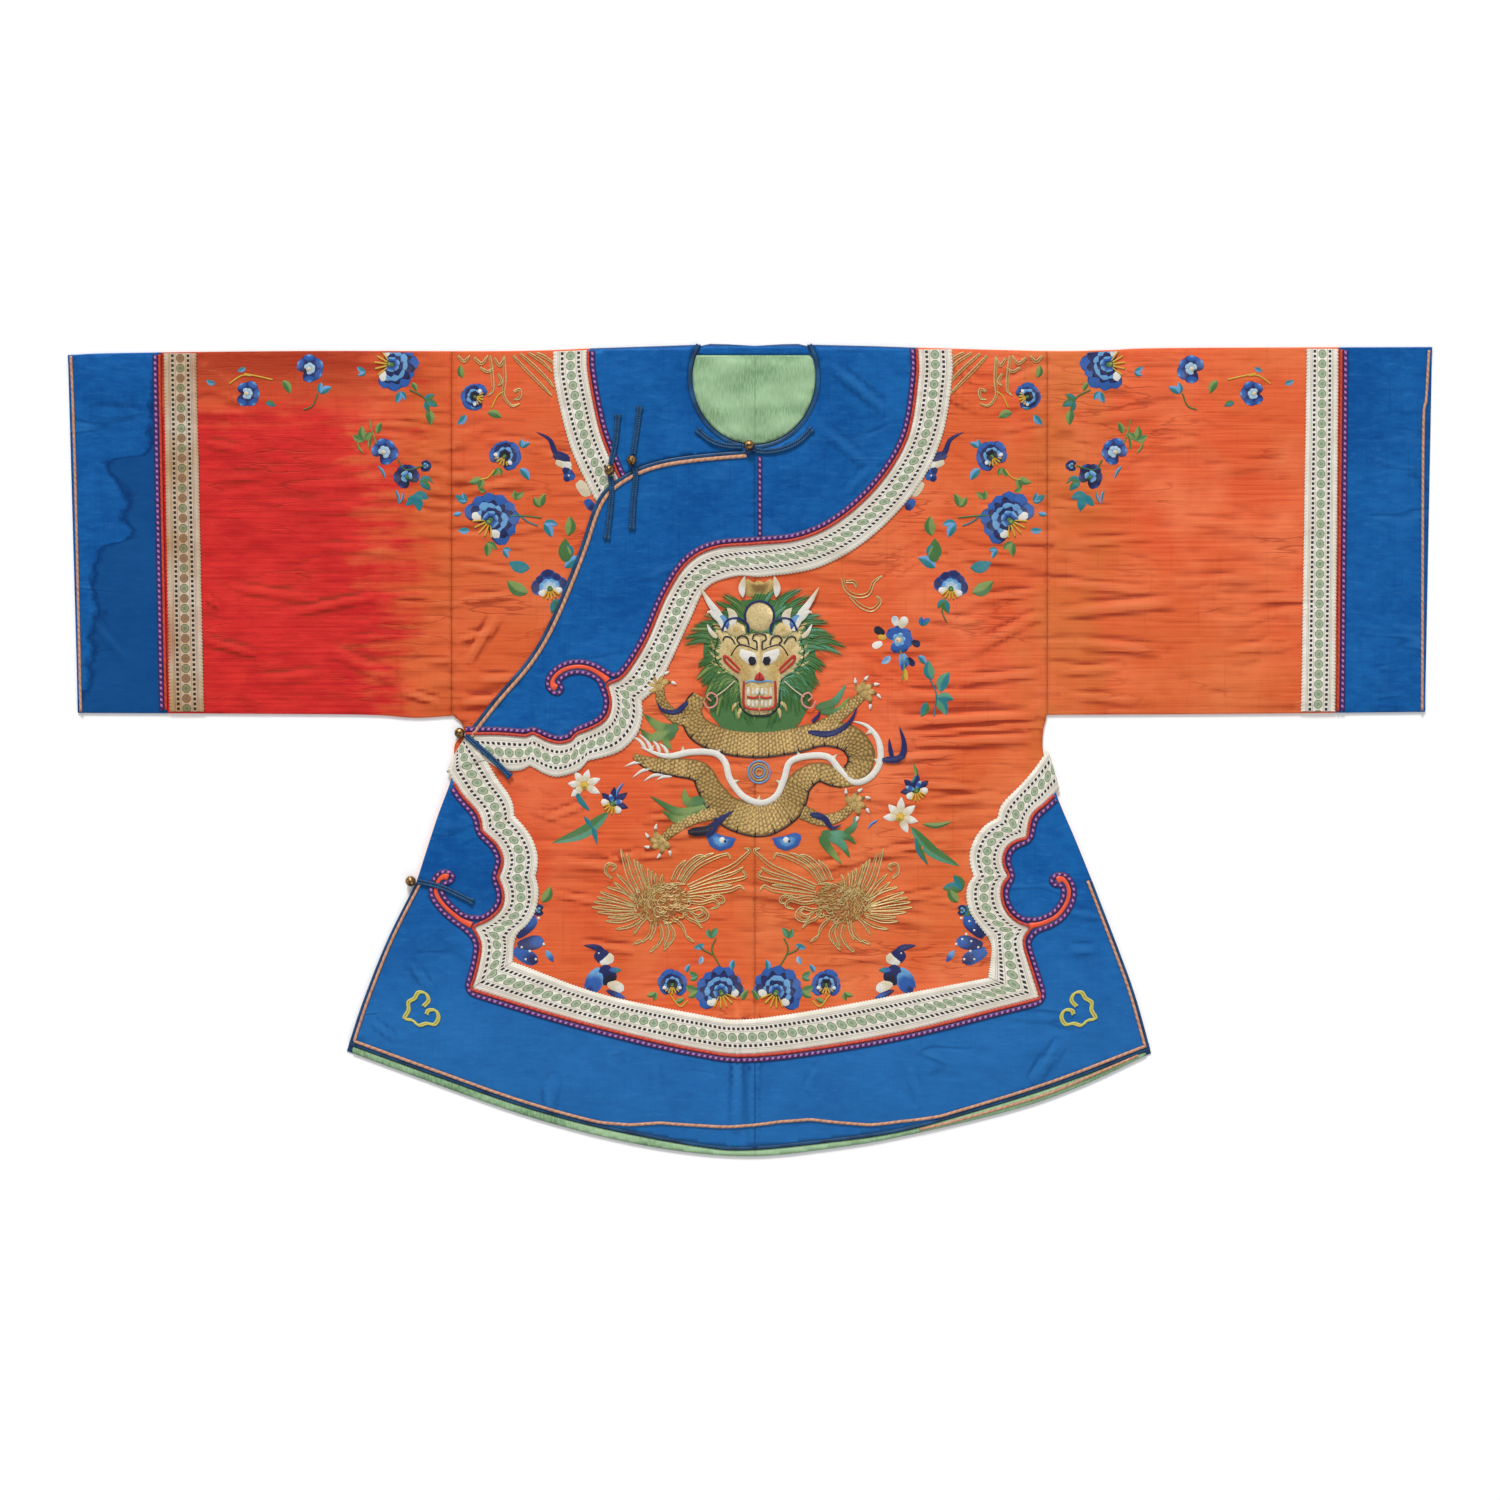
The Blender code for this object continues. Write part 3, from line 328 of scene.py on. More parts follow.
def outlines():
    """Every line that the pieces are cut along, in plan."""
    lines = {}
    for name, rows, sign in (
        ("shoulder_right", RIGHT_SHOULDER, -1), ("shoulder_left", LEFT_SHOULDER, -1),
        ("under_right", RIGHT_SLEEVE_UNDER, 1), ("under_left", LEFT_SLEEVE_UNDER, 1),
    ):
        lines[name] = [(x, y + sign * FOLD_RADIUS) for x, y in curve(rows)]
    for side, rows, shoulder in (("right", RIGHT_CUFF_END, 0), ("left", LEFT_CUFF_END, -1)):
        ends = [lines["shoulder_" + side][shoulder], lines["under_" + side][0]]
        lines["cuff_end_" + side] = [ends[0]] + curve(rows)[1:-1] + [ends[1]]
    lines["neck"] = neck_curve(0.0)
    lines["neck"][0] = lines["shoulder_right"][-1]
    lines["neck"][-1] = lines["shoulder_left"][0]
    lines["neck_binding"] = neck_curve(NECK_BINDING_WIDTH, -0.02, 1.02)
    for side, rows in (("right", RIGHT_SIDE), ("left", LEFT_SIDE)):
        lines["side_" + side] = curve(rows)
        lines["side_" + side][0] = lines["under_" + side][-1]
    lines["front_hem"] = curve(FRONT_HEM)
    lines["overlap_edge"] = curve(OVERLAP_EDGE)
    lines["inner_side"] = [at(x, drop) for x, drop in INNER_FLAP_SIDE]
    lines["inner_hem"] = curve(INNER_FLAP_HEM)
    for name, rows in (
        ("yoke_edge", YOKE_EDGE), ("shoulder_yoke", SHOULDER_YOKE_EDGE),
        ("border_right", BORDER_EDGE_RIGHT), ("border_hem", BORDER_EDGE_HEM),
        ("border_left", BORDER_EDGE_LEFT), ("cuff_seam_right", RIGHT_CUFF_SEAM),
        ("cuff_seam_left", LEFT_CUFF_SEAM),
    ):
        lines[name] = curve(rows)
    for name, x in (("right", RIGHT_SLEEVE_SEAM_X), ("left", LEFT_SLEEVE_SEAM_X)):
        lines["sleeve_seam_" + name] = curve([(x, -12), (x, 120), (x, 240), (x, 378)])
    lines["centre_seam"] = curve([(CENTRE_SEAM, 88), (CENTRE_SEAM, 812)])
    lines["overlap_binding"] = offset(lines["overlap_edge"], OVERLAP_BINDING_WIDTH)
    inward, within = HEM_BINDING_WIDTH, []
    for vent, shift in zip(vents_of(lines), (inward, -inward)):
        foot = (vent[-1][0] + shift, vent[-1][1] + inward * 0.6)
        within.append([(x + shift, y + 1.0) for x, y in vent[:-1]] + [foot])
    lines["hem_binding"] = within[0] + offset(lines["front_hem"], inward)[1:-1] + within[1][::-1]
    return lines


LINES = outlines()
BACK_HEM_LINE = curve(BACK_HEM)
SEAM_TOP, SEAM_FOOT = at(CENTRE_SEAM, 95), at(CENTRE_SEAM, 799)
NECK_RIGHT = [p for p in LINES["neck"] if p[0] < CENTRE_SEAM] + [SEAM_TOP]
NECK_LEFT = [SEAM_TOP] + [p for p in LINES["neck"] if p[0] > CENTRE_SEAM]
SILHOUETTES = [
    LINES[kind + side] for kind in ("shoulder", "under", "cuff_end", "side") for side in ("_right", "_left")
] + [LINES["front_hem"], LINES["neck"]]
UNDER_OVERLAP = LINES["overlap_edge"] + LINES["inner_side"][1:] + LINES["inner_hem"][1:]
BODY_RIGHT_SHOWN = (
    [at(RIGHT_SLEEVE_SEAM_X, -20), at(CENTRE_SEAM, -20)] + LINES["overlap_edge"]
    + [at(RIGHT_SLEEVE_SEAM_X, 366)]
)


def front_hem_between(low, high):
    """The points of the front hem strictly between two places."""
    return [p for p in LINES["front_hem"] if low < p[0] < high]


OVERLAP_AREA = (
    LINES["overlap_edge"] + [p for p in LINES["side_right"] if p[1] < LINES["inner_side"][0][1]]
    + front_hem_between(-400, CENTRE_SEAM) + [SEAM_FOOT]
)


def lift(places):
    """How far the pieces on top are raised by the inner flap under them."""
    away = distance_to(UNDER_OVERLAP + UNDER_OVERLAP[:1], places)
    away[inside(UNDER_OVERLAP, places)] = 0.0
    return LAP * smooth(1.0 - away / LAP_RUN)


def ridges(rows, places):
    """Soft ridges, or troughs where the height is negative, of a table of creases."""
    total = np.zeros(len(places))
    for x0, drop0, x1, drop1, height, half_width in rows:
        start, end = np.array(at(x0, drop0)), np.array(at(x1, drop1))
        along = end - start
        length = np.linalg.norm(along)
        along /= length
        u = (places - start) @ along / length
        v = np.abs((places - start) @ np.array([-along[1], along[0]])) / half_width
        near = (u > 0) & (u < 1) & (v < 1)
        shape = np.sin(np.pi * u[near]) ** 0.7 * (0.5 + 0.5 * np.cos(np.pi * v[near]))
        if height > 0:
            total[near] = np.maximum(total[near], height * shape)
        else:
            total[near] += height * shape
    return total


# The pattern's grid: spans of drop and x, then in steps the space between rows and the room it
# leaves round drawn lines; how near drawn points merge, and the smallest triangle
GRID_DROPS, GRID_XS, ROW_SPACE, CLEAR_SPACE = (-6.0, 808.0), (-682.0, 684.0), 0.866, 0.62
SNAP, SLIVER = 1.1, 0.004
# Below the sleeves the grid covers the body alone: half its width there, and its flare
UNDERARM_Y, BODY_HALF, BODY_FLARE = 28.0, 304.0, 0.34


def master_pattern():
    """One fine triangulation of the whole front, which every piece is a part of."""
    points, edges, cells = [], [], {}

    def index_of(place):
        cell = (math.floor(place[0] / 3.0), math.floor(place[1] / 3.0))
        for i in (-1, 0, 1):
            for j in (-1, 0, 1):
                for k in cells.get((cell[0] + i, cell[1] + j), ()):
                    if max(abs(points[k][0] - place[0]), abs(points[k][1] - place[1])) < SNAP:
                        return k
        points.append(place)
        cells.setdefault(cell, []).append(len(points) - 1)
        return len(points) - 1

    for line in LINES.values():
        ids = [index_of(place) for place in line]
        edges += [(a, b) for a, b in zip(ids, ids[1:]) if a != b]
    drawn = KDTree(len(points))
    for i, place in enumerate(points):
        drawn.insert((place[0], place[1], 0.0), i)
    drawn.balance()
    rows = np.arange(*GRID_DROPS, GRID * ROW_SPACE)
    columns = np.arange(*GRID_XS, GRID)
    grid = np.array([at(x + k % 2 * GRID / 2, drop) for k, drop in enumerate(rows) for x in columns])
    skirt = np.abs(grid[:, 0]) < BODY_HALF + np.maximum(0.0, -grid[:, 1]) * BODY_FLARE
    grid = grid[(grid[:, 1] > UNDERARM_Y) | skirt]
    grid = [tuple(p) for p in grid if drawn.find((p[0], p[1], 0.0))[2] > GRID * CLEAR_SPACE]
    places, _, faces, *_ = delaunay_2d_cdt([Vector(p) for p in points + grid], edges, [], 0, 1e-4)
    places = np.array([p[:] for p in places])
    triangles = np.array([f for f in faces if len(f) == 3])
    a, b, c = (places[triangles[:, k]] for k in range(3))
    area = (b[:, 0] - a[:, 0]) * (c[:, 1] - a[:, 1]) - (b[:, 1] - a[:, 1]) * (c[:, 0] - a[:, 0])
    triangles[area < 0] = triangles[area < 0][:, ::-1]
    return places, triangles[np.abs(area) > SLIVER]


PLACES, TRIANGLES = master_pattern()
MIDDLES = PLACES[TRIANGLES].mean(axis=1)


# Finer creases of the cloth alone, with the columns of the creases above
WRINKLES = [
    (-545, 92, -505, 100, 0.9, 5), (-540, 128, -470, 124, 0.8, 6), (-520, 236, -430, 250, 0.9, 6),
    (-460, 262, -372, 246, 1.3, 6), (-372, 246, -316, 244, 1.0, 6), (-545, 290, -490, 304, 1.1, 5),
    (-500, 330, -420, 322, 0.8, 7), (-430, 196, -350, 200, 0.6, 7), (-410, 292, -352, 284, 0.7, 5),
    (-544, 246, -528, 256, 0.9, 4), (-540, 64, -490, 60, 0.6, 6), (-350, 340, -308, 352, 1.0, 5),
    (-294, 250, -236, 244, 0.9, 5), (-292, 214, -230, 222, 0.8, 5), (-290, 140, -222, 128, 0.7, 6),
    (-288, 186, -206, 176, 0.8, 5), (-296, 290, -254, 280, 0.8, 5), (-268, 88, -196, 96, 0.6, 6),
    (-92, 486, -30, 478, 0.9, 5), (-110, 470, -64, 462, 0.9, 4), (-122, 508, -70, 500, 0.8, 4),
    (-206, 468, -160, 452, 0.7, 5), (-198, 542, -150, 552, 0.8, 5), (-170, 592, -112, 600, 0.9, 5),
    (-146, 512, -104, 500, 0.8, 4), (46, 520, 122, 506, 0.8, 5), (112, 506, 186, 492, 0.7, 5),
    (130, 552, 196, 540, 0.8, 5), (30, 562, 96, 574, 0.8, 5), (60, 612, 142, 604, 0.7, 5),
    (-12, 654, -13, 738, 2.2, 4.5), (4, 652, 5, 742, 1.5, 4.5), (-80, 556, -20, 566, 0.7, 5),
    (140, 430, 232, 438, 0.9, 5), (178, 452, 248, 444, 0.8, 5), (110, 300, 190, 296, 0.6, 6),
    (196, 204, 290, 214, 0.8, 6), (214, 250, 294, 240, 0.9, 5), (206, 330, 292, 322, 1.0, 6),
    (128, 408, 214, 402, 0.9, 6), (158, 384, 292, 374, 1.1, 5), (170, 266, 236, 272, 0.7, 5),
    (226, 160, 292, 152, 0.8, 5), (300, 152, 372, 162, 0.8, 6), (302, 196, 404, 186, 0.7, 6),
    (306, 232, 398, 240, 0.8, 6), (306, 322, 372, 316, 0.9, 6), (310, 344, 388, 350, 0.8, 6),
    (418, 232, 520, 226, 0.7, 7), (452, 120, 540, 110, 0.6, 7), (430, 170, 500, 176, 0.6, 6),
    (472, 300, 546, 294, 0.7, 6), (398, 98, 452, 90, 0.6, 6), (-634, 45, -603, 76, 0.4, 8),
    (-664, 261, -618, 313, 0.5, 8), (-655, 140, -640, 206, 0.3, 9), (-230, 96, -168, 110, 0.5, 5),
    (62, 70, 128, 122, 0.7, 8), (88, 150, 132, 104, 0.6, 7), (-204, 728, -198, 770, 0.9, 5),
    (2, 718, 4, 796, 1.0, 5), (56, 740, 66, 716, 0.6, 6), (280, 730, 306, 690, 0.8, 5),
    (-340, 610, -318, 640, 0.6, 6), (316, 560, 352, 566, 0.6, 5), (-380, 668, -352, 690, 0.5, 5),
    (-96, 700, -92, 752, 0.5, 6), (158, 712, 172, 756, 0.5, 6),
]
# Grids of values over the plan: their step, their lowest corner, and their columns and rows
FIELD_STEP = 4.0
FIELD_LOW = (-692.0, -420.0)
FIELD_SHAPE = (347, 211)


def spread_field(value_of):
    """Values worked out once on an even grid over the whole plan."""
    x = FIELD_LOW[0] + FIELD_STEP * np.arange(FIELD_SHAPE[0])
    y = FIELD_LOW[1] + FIELD_STEP * np.arange(FIELD_SHAPE[1])
    places = np.stack(np.meshgrid(x, y, indexing="ij"), axis=-1).reshape(-1, 2)
    return value_of(places).reshape(FIELD_SHAPE)


def read_field(field, places):
    """Values between the points of a grid."""
    spot = (places - np.array(FIELD_LOW)) / FIELD_STEP
    spot = np.clip(spot, 0.0, np.array(FIELD_SHAPE) - 1.001)
    i, j = spot[:, 0].astype(int), spot[:, 1].astype(int)
    u, v = spot[:, 0] - i, spot[:, 1] - j
    low = field[i, j] * (1 - u) + field[i + 1, j] * u
    high = field[i, j + 1] * (1 - u) + field[i + 1, j + 1] * u
    return low * (1 - v) + high * v


def to_silhouette(places):
    """The distance to the nearest edge of the garment."""
    return np.minimum.reduce([distance_to(line, places) for line in SILHOUETTES])


BORDER_LINE = LINES["border_right"] + LINES["border_hem"] + LINES["border_left"]
BELOW_BORDER = BORDER_LINE + [at(600, 438), at(600, 999), at(-600, 999), at(-600, 421)]
YOKE_AREA = LINES["yoke_edge"] + LINES["overlap_edge"][::-1] + [SEAM_TOP, at(CENTRE_SEAM, -40)]
SHOULDER_YOKE_AREA = LINES["shoulder_yoke"] + LINES["overlap_edge"][:18][::-1] + [at(CENTRE_SEAM, -40)]


# How far the firm satin takes to turn to soft silk, and where the firm cuffs begin
CALM_RUN, CUFF_X = 40.0, 560.0


def calm(places):
    """How calm the cloth lies: 1 on the firm blue satin and 0 on the puckered silk."""
    firm = inside(YOKE_AREA, places) | inside(BELOW_BORDER, places) | inside(SHOULDER_YOKE_AREA, places)
    edge = np.minimum(distance_to(LINES["yoke_edge"], places), distance_to(BORDER_LINE, places))
    edge = np.where(firm, edge, -edge)
    return np.maximum(smooth(0.5 + edge / CALM_RUN), smooth((np.abs(places[:, 0]) - CUFF_X) / CALM_RUN))


EDGE_FIELD = spread_field(to_silhouette)
LIFT_FIELD = spread_field(lift)
CALM_FIELD = spread_field(calm)


def relief(places):
    """Puckers of the thin silk: long from side to side, uneven in height and spacing."""
    x, y = places[:, 0], places[:, 1]
    bend = 14.0 * uneven(x / 60.0, y / 60.0, 5)
    band = uneven(x / 85.0, (y + bend) / 11.0, 1)
    strong = smooth(0.5 + 0.9 * uneven(x / 110.0, y / 70.0, 4))
    silk = 0.62 * strong * (1.0 - np.abs(band)) ** 3 + 0.24 * uneven(x / 26.0, (y + bend) / 8.0, 2)
    silk += 0.55 * uneven(x / 120.0, y / 45.0, 3) + 0.20 * uneven((x + y) / 24.0, (y - 0.4 * x) / 16.0, 9)
    gathers = np.exp(-((np.abs(np.abs(x) - 300.0) / 26.0) ** 2)) * (y > 20)
    silk += 0.4 * gathers * uneven(x / 40.0, y / 6.0, 6)
    satin = 0.55 * uneven(x / 46.0, y / 58.0, 7) + 0.16 * uneven(x / 17.0, y / 20.0, 8)
    firm = read_field(CALM_FIELD, places)
    return silk * (1 - firm) + satin * firm


def folds_of(places):
    """Every fold and pucker together."""
    return ridges(CREASES, places) + 1.25 * ridges(WRINKLES, places) + relief(places)


def hollow_of(places):
    """How deep each place lies between the folds beside it."""
    up, down, left, right = (
        folds_of(places + np.array(shift)) for shift in ((0.0, 4.5), (0.0, -4.5), (5.0, 0.0), (-5.0, 0.0))
    )
    return (0.7 * (up + down) + 0.3 * (left + right)) / 2 - folds_of(places)


def top_of(places, lifted=True):
    """The height of the silk's upper face, raised by the inner flap where it is lifted."""
    edge = read_field(EDGE_FIELD, places)
    folds = sizes().wrinkle_depth * (folds_of(places) + 0.5)
    height = FRONT_TOP + PUFF * smooth(edge / PUFF_RUN) + folds * smooth(edge / FLAT_RUN)
    return height + np.where(lifted, read_field(LIFT_FIELD, places), 0.0)


def flap_top(places):
    """The upper face of the inner flap and the right shoulder."""
    return top_of(places, False)


def silk_top(places):
    """The upper face where nothing else lies on the silk, whichever panel it is."""
    return top_of(places, ~inside(BODY_RIGHT_SHOWN, places))


def cut(*within, without=()):
    """The triangles of the pattern that lie in every area of one list and none of the other."""
    chosen = np.ones(len(TRIANGLES), dtype=bool)
    for area in within:
        chosen &= inside(area, MIDDLES)
    for area in without:
        chosen &= ~inside(area, MIDDLES)
    return TRIANGLES[chosen]


def sheet(triangles, height):
    """An open sheet over some triangles, drawn in by half a seam gap along its border."""
    used, index = np.unique(triangles, return_inverse=True)
    plan = PLACES[used]
    mesh = bmesh.new()
    # Depth between the folds, which the silk and satin finishes paint as shade and highlight
    hollow = mesh.verts.layers.float.new("hollow")
    corners = [mesh.verts.new((p[0], p[1], h)) for p, h in zip(plan, height(plan))]
    for vert, depth in zip(corners, hollow_of(plan)):
        vert[hollow] = depth
    for ring in index.reshape(-1, 3):
        mesh.faces.new([corners[i] for i in ring])
    part_touching_corners(mesh)
    shifts = {}
    for edge in mesh.edges:
        if edge.is_boundary:
            loop = edge.link_loops[0]
            a, b = loop.vert.co, loop.link_loop_next.vert.co
            inward = Vector((a.y - b.y, b.x - a.x, 0.0)).normalized()
            for vert in edge.verts:
                shifts.setdefault(vert, []).append(inward)
    for vert, normals in shifts.items():
        total = sum(normals, Vector())
        if total.length > 0.3:
            direction = total.normalized()
            vert.co += direction * SEAM_GAP / 2 / max(0.5, direction.dot(normals[0]))
    return mesh


def part_touching_corners(mesh):
    """Parts the cloth where two of its areas meet in a single point."""
    for vert in [v for v in mesh.verts if sum(e.is_boundary for e in v.link_edges) > 2]:
        fan, queue = set(), [vert.link_faces[0]]
        while queue:
            face = queue.pop()
            if face not in fan:
                fan.add(face)
                queue += [f for e in face.edges if vert in e.verts for f in e.link_faces]
        small = min((fan, set(vert.link_faces) - fan), key=len)
        bmesh.ops.delete(mesh, geom=list(small), context='FACES_ONLY')
    bmesh.ops.delete(mesh, geom=[v for v in mesh.verts if not v.link_faces], context='VERTS')
    bmesh.ops.delete(mesh, geom=[e for e in mesh.edges if not e.link_faces], context='EDGES')


def turn_under(mesh, line, outwards):
    """Rolls the sheet's border over a fold line, down to the surface below."""
    border = [e for e in mesh.edges if e.is_boundary]
    middles = np.array([((e.verts[0].co + e.verts[1].co) / 2)[:2] for e in border])
    on_fold = distance_to(line, middles) < SEAM_GAP * 2
    row = [e for e, on in zip(border, on_fold) if on]
    for step in range(1, FOLD_STEPS + 1):
        angle, before = math.pi * step / FOLD_STEPS, math.pi * (step - 1) / FOLD_STEPS
        made = bmesh.ops.extrude_edge_only(mesh, edges=row)["geom"]
        fresh = {item for item in made if isinstance(item, bmesh.types.BMVert)}
        row = [e for e in made if isinstance(e, bmesh.types.BMEdge) and fresh.issuperset(e.verts)]
        reach = FOLD_RADIUS * (math.sin(angle) - math.sin(before))
        sink = FOLD_RADIUS * (math.cos(before) - math.cos(angle))
        for vert in fresh:
            vert.co.y += outwards * reach
            vert.co.z = vert.co.z - sink if step < FOLD_STEPS else 0.0
    return sorted(fresh, key=lambda v: v.co.x)


def back_face(mesh, ring):
    """Closes the flat back between the rolled borders and its own outline."""
    face = mesh.faces.new([
        p if isinstance(p, bmesh.types.BMVert) else mesh.verts.new((p[0], p[1], 0.0)) for p in ring
    ])
    face.normal_update()
    if face.normal.z > 0:
        face.normal_flip()
    bmesh.ops.triangulate(mesh, faces=[face])


def finish_piece(name, data, finish, stands_in):
    """Puts a mesh in the scene as a piece, in place of its CAD node where it stands in for one."""
    data.materials.clear()
    data.materials.append(share(finish))
    piece = bpy.data.objects.new(name + "_dressed" if stands_in else name, data)
    bpy.context.scene.collection.objects.link(piece)
    data.shade_smooth()
    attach(piece, "root")
    if stands_in:
        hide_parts(name)
    return piece


def sew(name, mesh, finish, wall, side):
    """Makes a piece from a sheet, and gives it its wall on one side."""
    mesh.normal_update()
    mesh.transform(Matrix.Scale(METRE, 4))
    data = bpy.data.meshes.new(name)
    mesh.to_mesh(data)
    mesh.free()
    piece = finish_piece(name, data, finish, True)
    solid = piece.modifiers.new("cloth wall", 'SOLIDIFY')
    solid.thickness = wall * METRE
    solid.offset = side
    return piece


class Weave:
    """Grids of points gathered into one mesh, with a length, a width and a colour for each."""

    def __init__(self):
        self.points, self.faces, self.spans, self.colours, self.count = [], [], [], [], 0

    def grid(self, points, spans=None, colours=None, closed=False, capped=False):
        """Adds rows and columns of points, with faces between them."""
        points = np.asarray(points, dtype=float)
        rows, columns = points.shape[:2]
        index = np.arange(rows * columns).reshape(rows, columns) + self.count
        if closed:
            index = np.concatenate([index, index[:, :1]], axis=1)
        quads = np.stack([index[:-1, :-1], index[:-1, 1:], index[1:, 1:], index[1:, :-1]], axis=-1)
        self.faces += quads.reshape(-1, 4).tolist()
        if capped:
            self.faces += [index[0, :columns][::-1].tolist(), index[-1, :columns].tolist()]
        spans = np.zeros((rows, columns, 2)) if spans is None else np.asarray(spans, dtype=float)
        colours = np.ones((rows, columns, 3)) if colours is None else np.asarray(colours, dtype=float)
        self.points.append(points.reshape(-1, 3))
        self.spans.append(spans.reshape(-1, 2))
        self.colours.append(np.broadcast_to(colours, (rows, columns, 3)).reshape(-1, 3))
        self.count += rows * columns

    def piece(self, name, finish, stands_in=False):
        """The piece itself, with its spans as a UV map and its colours as a colour attribute."""
        data = bpy.data.meshes.new(name)
        points = np.concatenate(self.points)
        data.from_pydata((points * METRE).tolist(), [], self.faces)
        corner = np.zeros(len(data.loops), dtype=np.int32)
        data.loops.foreach_get("vertex_index", corner)
        layer = data.uv_layers.new(name="span")
        layer.data.foreach_set("uv", np.concatenate(self.spans)[corner].astype(np.float32).ravel())
        colours = np.concatenate(self.colours)
        colours = np.concatenate([colours, np.ones((len(colours), 1))], axis=1).astype(np.float32)
        attribute = data.color_attributes.new("thread", 'FLOAT_COLOR', 'POINT')
        attribute.data.foreach_set("color", colours.ravel())
        return finish_piece(name, data, finish, stands_in)


def tube_along(weave, line, radii, heights, sides, flatten):
    """A flattened cord along a line in plan, lying at the heights of its middle."""
    line = np.asarray(line, dtype=float)
    radii = np.broadcast_to(np.asarray(radii, dtype=float), (len(line),))
    turn = np.linspace(0.0, 2 * math.pi, sides, endpoint=False)
    across = np.cos(turn)[None, :, None] * radii[:, None, None] * left_of(line)[:, None, :]
    up = np.sin(turn)[None, :] * radii[:, None] * flatten
    middle = np.asarray(heights)[:, None, None]
    points = np.concatenate([line[:, None] + across, middle + up[..., None]], axis=2)
    along = summed(steps_of(line)) * METRE
    spans = np.stack(np.broadcast_arrays(along[:, None], turn / (2 * math.pi)), axis=-1)
    weave.grid(points, spans, closed=True, capped=True)


def lay_strip(weave, left, right, v, base, rise, along):
    """A closed strip between two paired lines, with its rise over the face that it lies on."""
    plan = left[:, None] * (1 - v[..., None]) + right[:, None] * v[..., None]
    bottom = base(plan.reshape(-1, 2)).reshape(plan.shape[:2]) + SEAM_GAP
    top = np.concatenate([plan, (bottom + rise)[..., None]], axis=2)
    ends = np.concatenate([plan[:, [-1, 0]], bottom[:, [-1, 0], None]], axis=2)
    spans = np.stack(np.broadcast_arrays(along[:, None] * METRE, v), axis=-1)
    spans = np.concatenate([spans, spans[:, [-1, 0]]], axis=1)
    weave.grid(np.concatenate([top, ends], axis=1), spans, closed=True, capped=True)


def tone(red, green, blue):
    """A dye's colour as linear light, from its shares out of 255."""
    shares = (red / 255, green / 255, blue / 255)
    return tuple(s / 12.92 if s < 0.04 else ((s + 0.055) / 1.055) ** 2.4 for s in shares) + (1.0,)


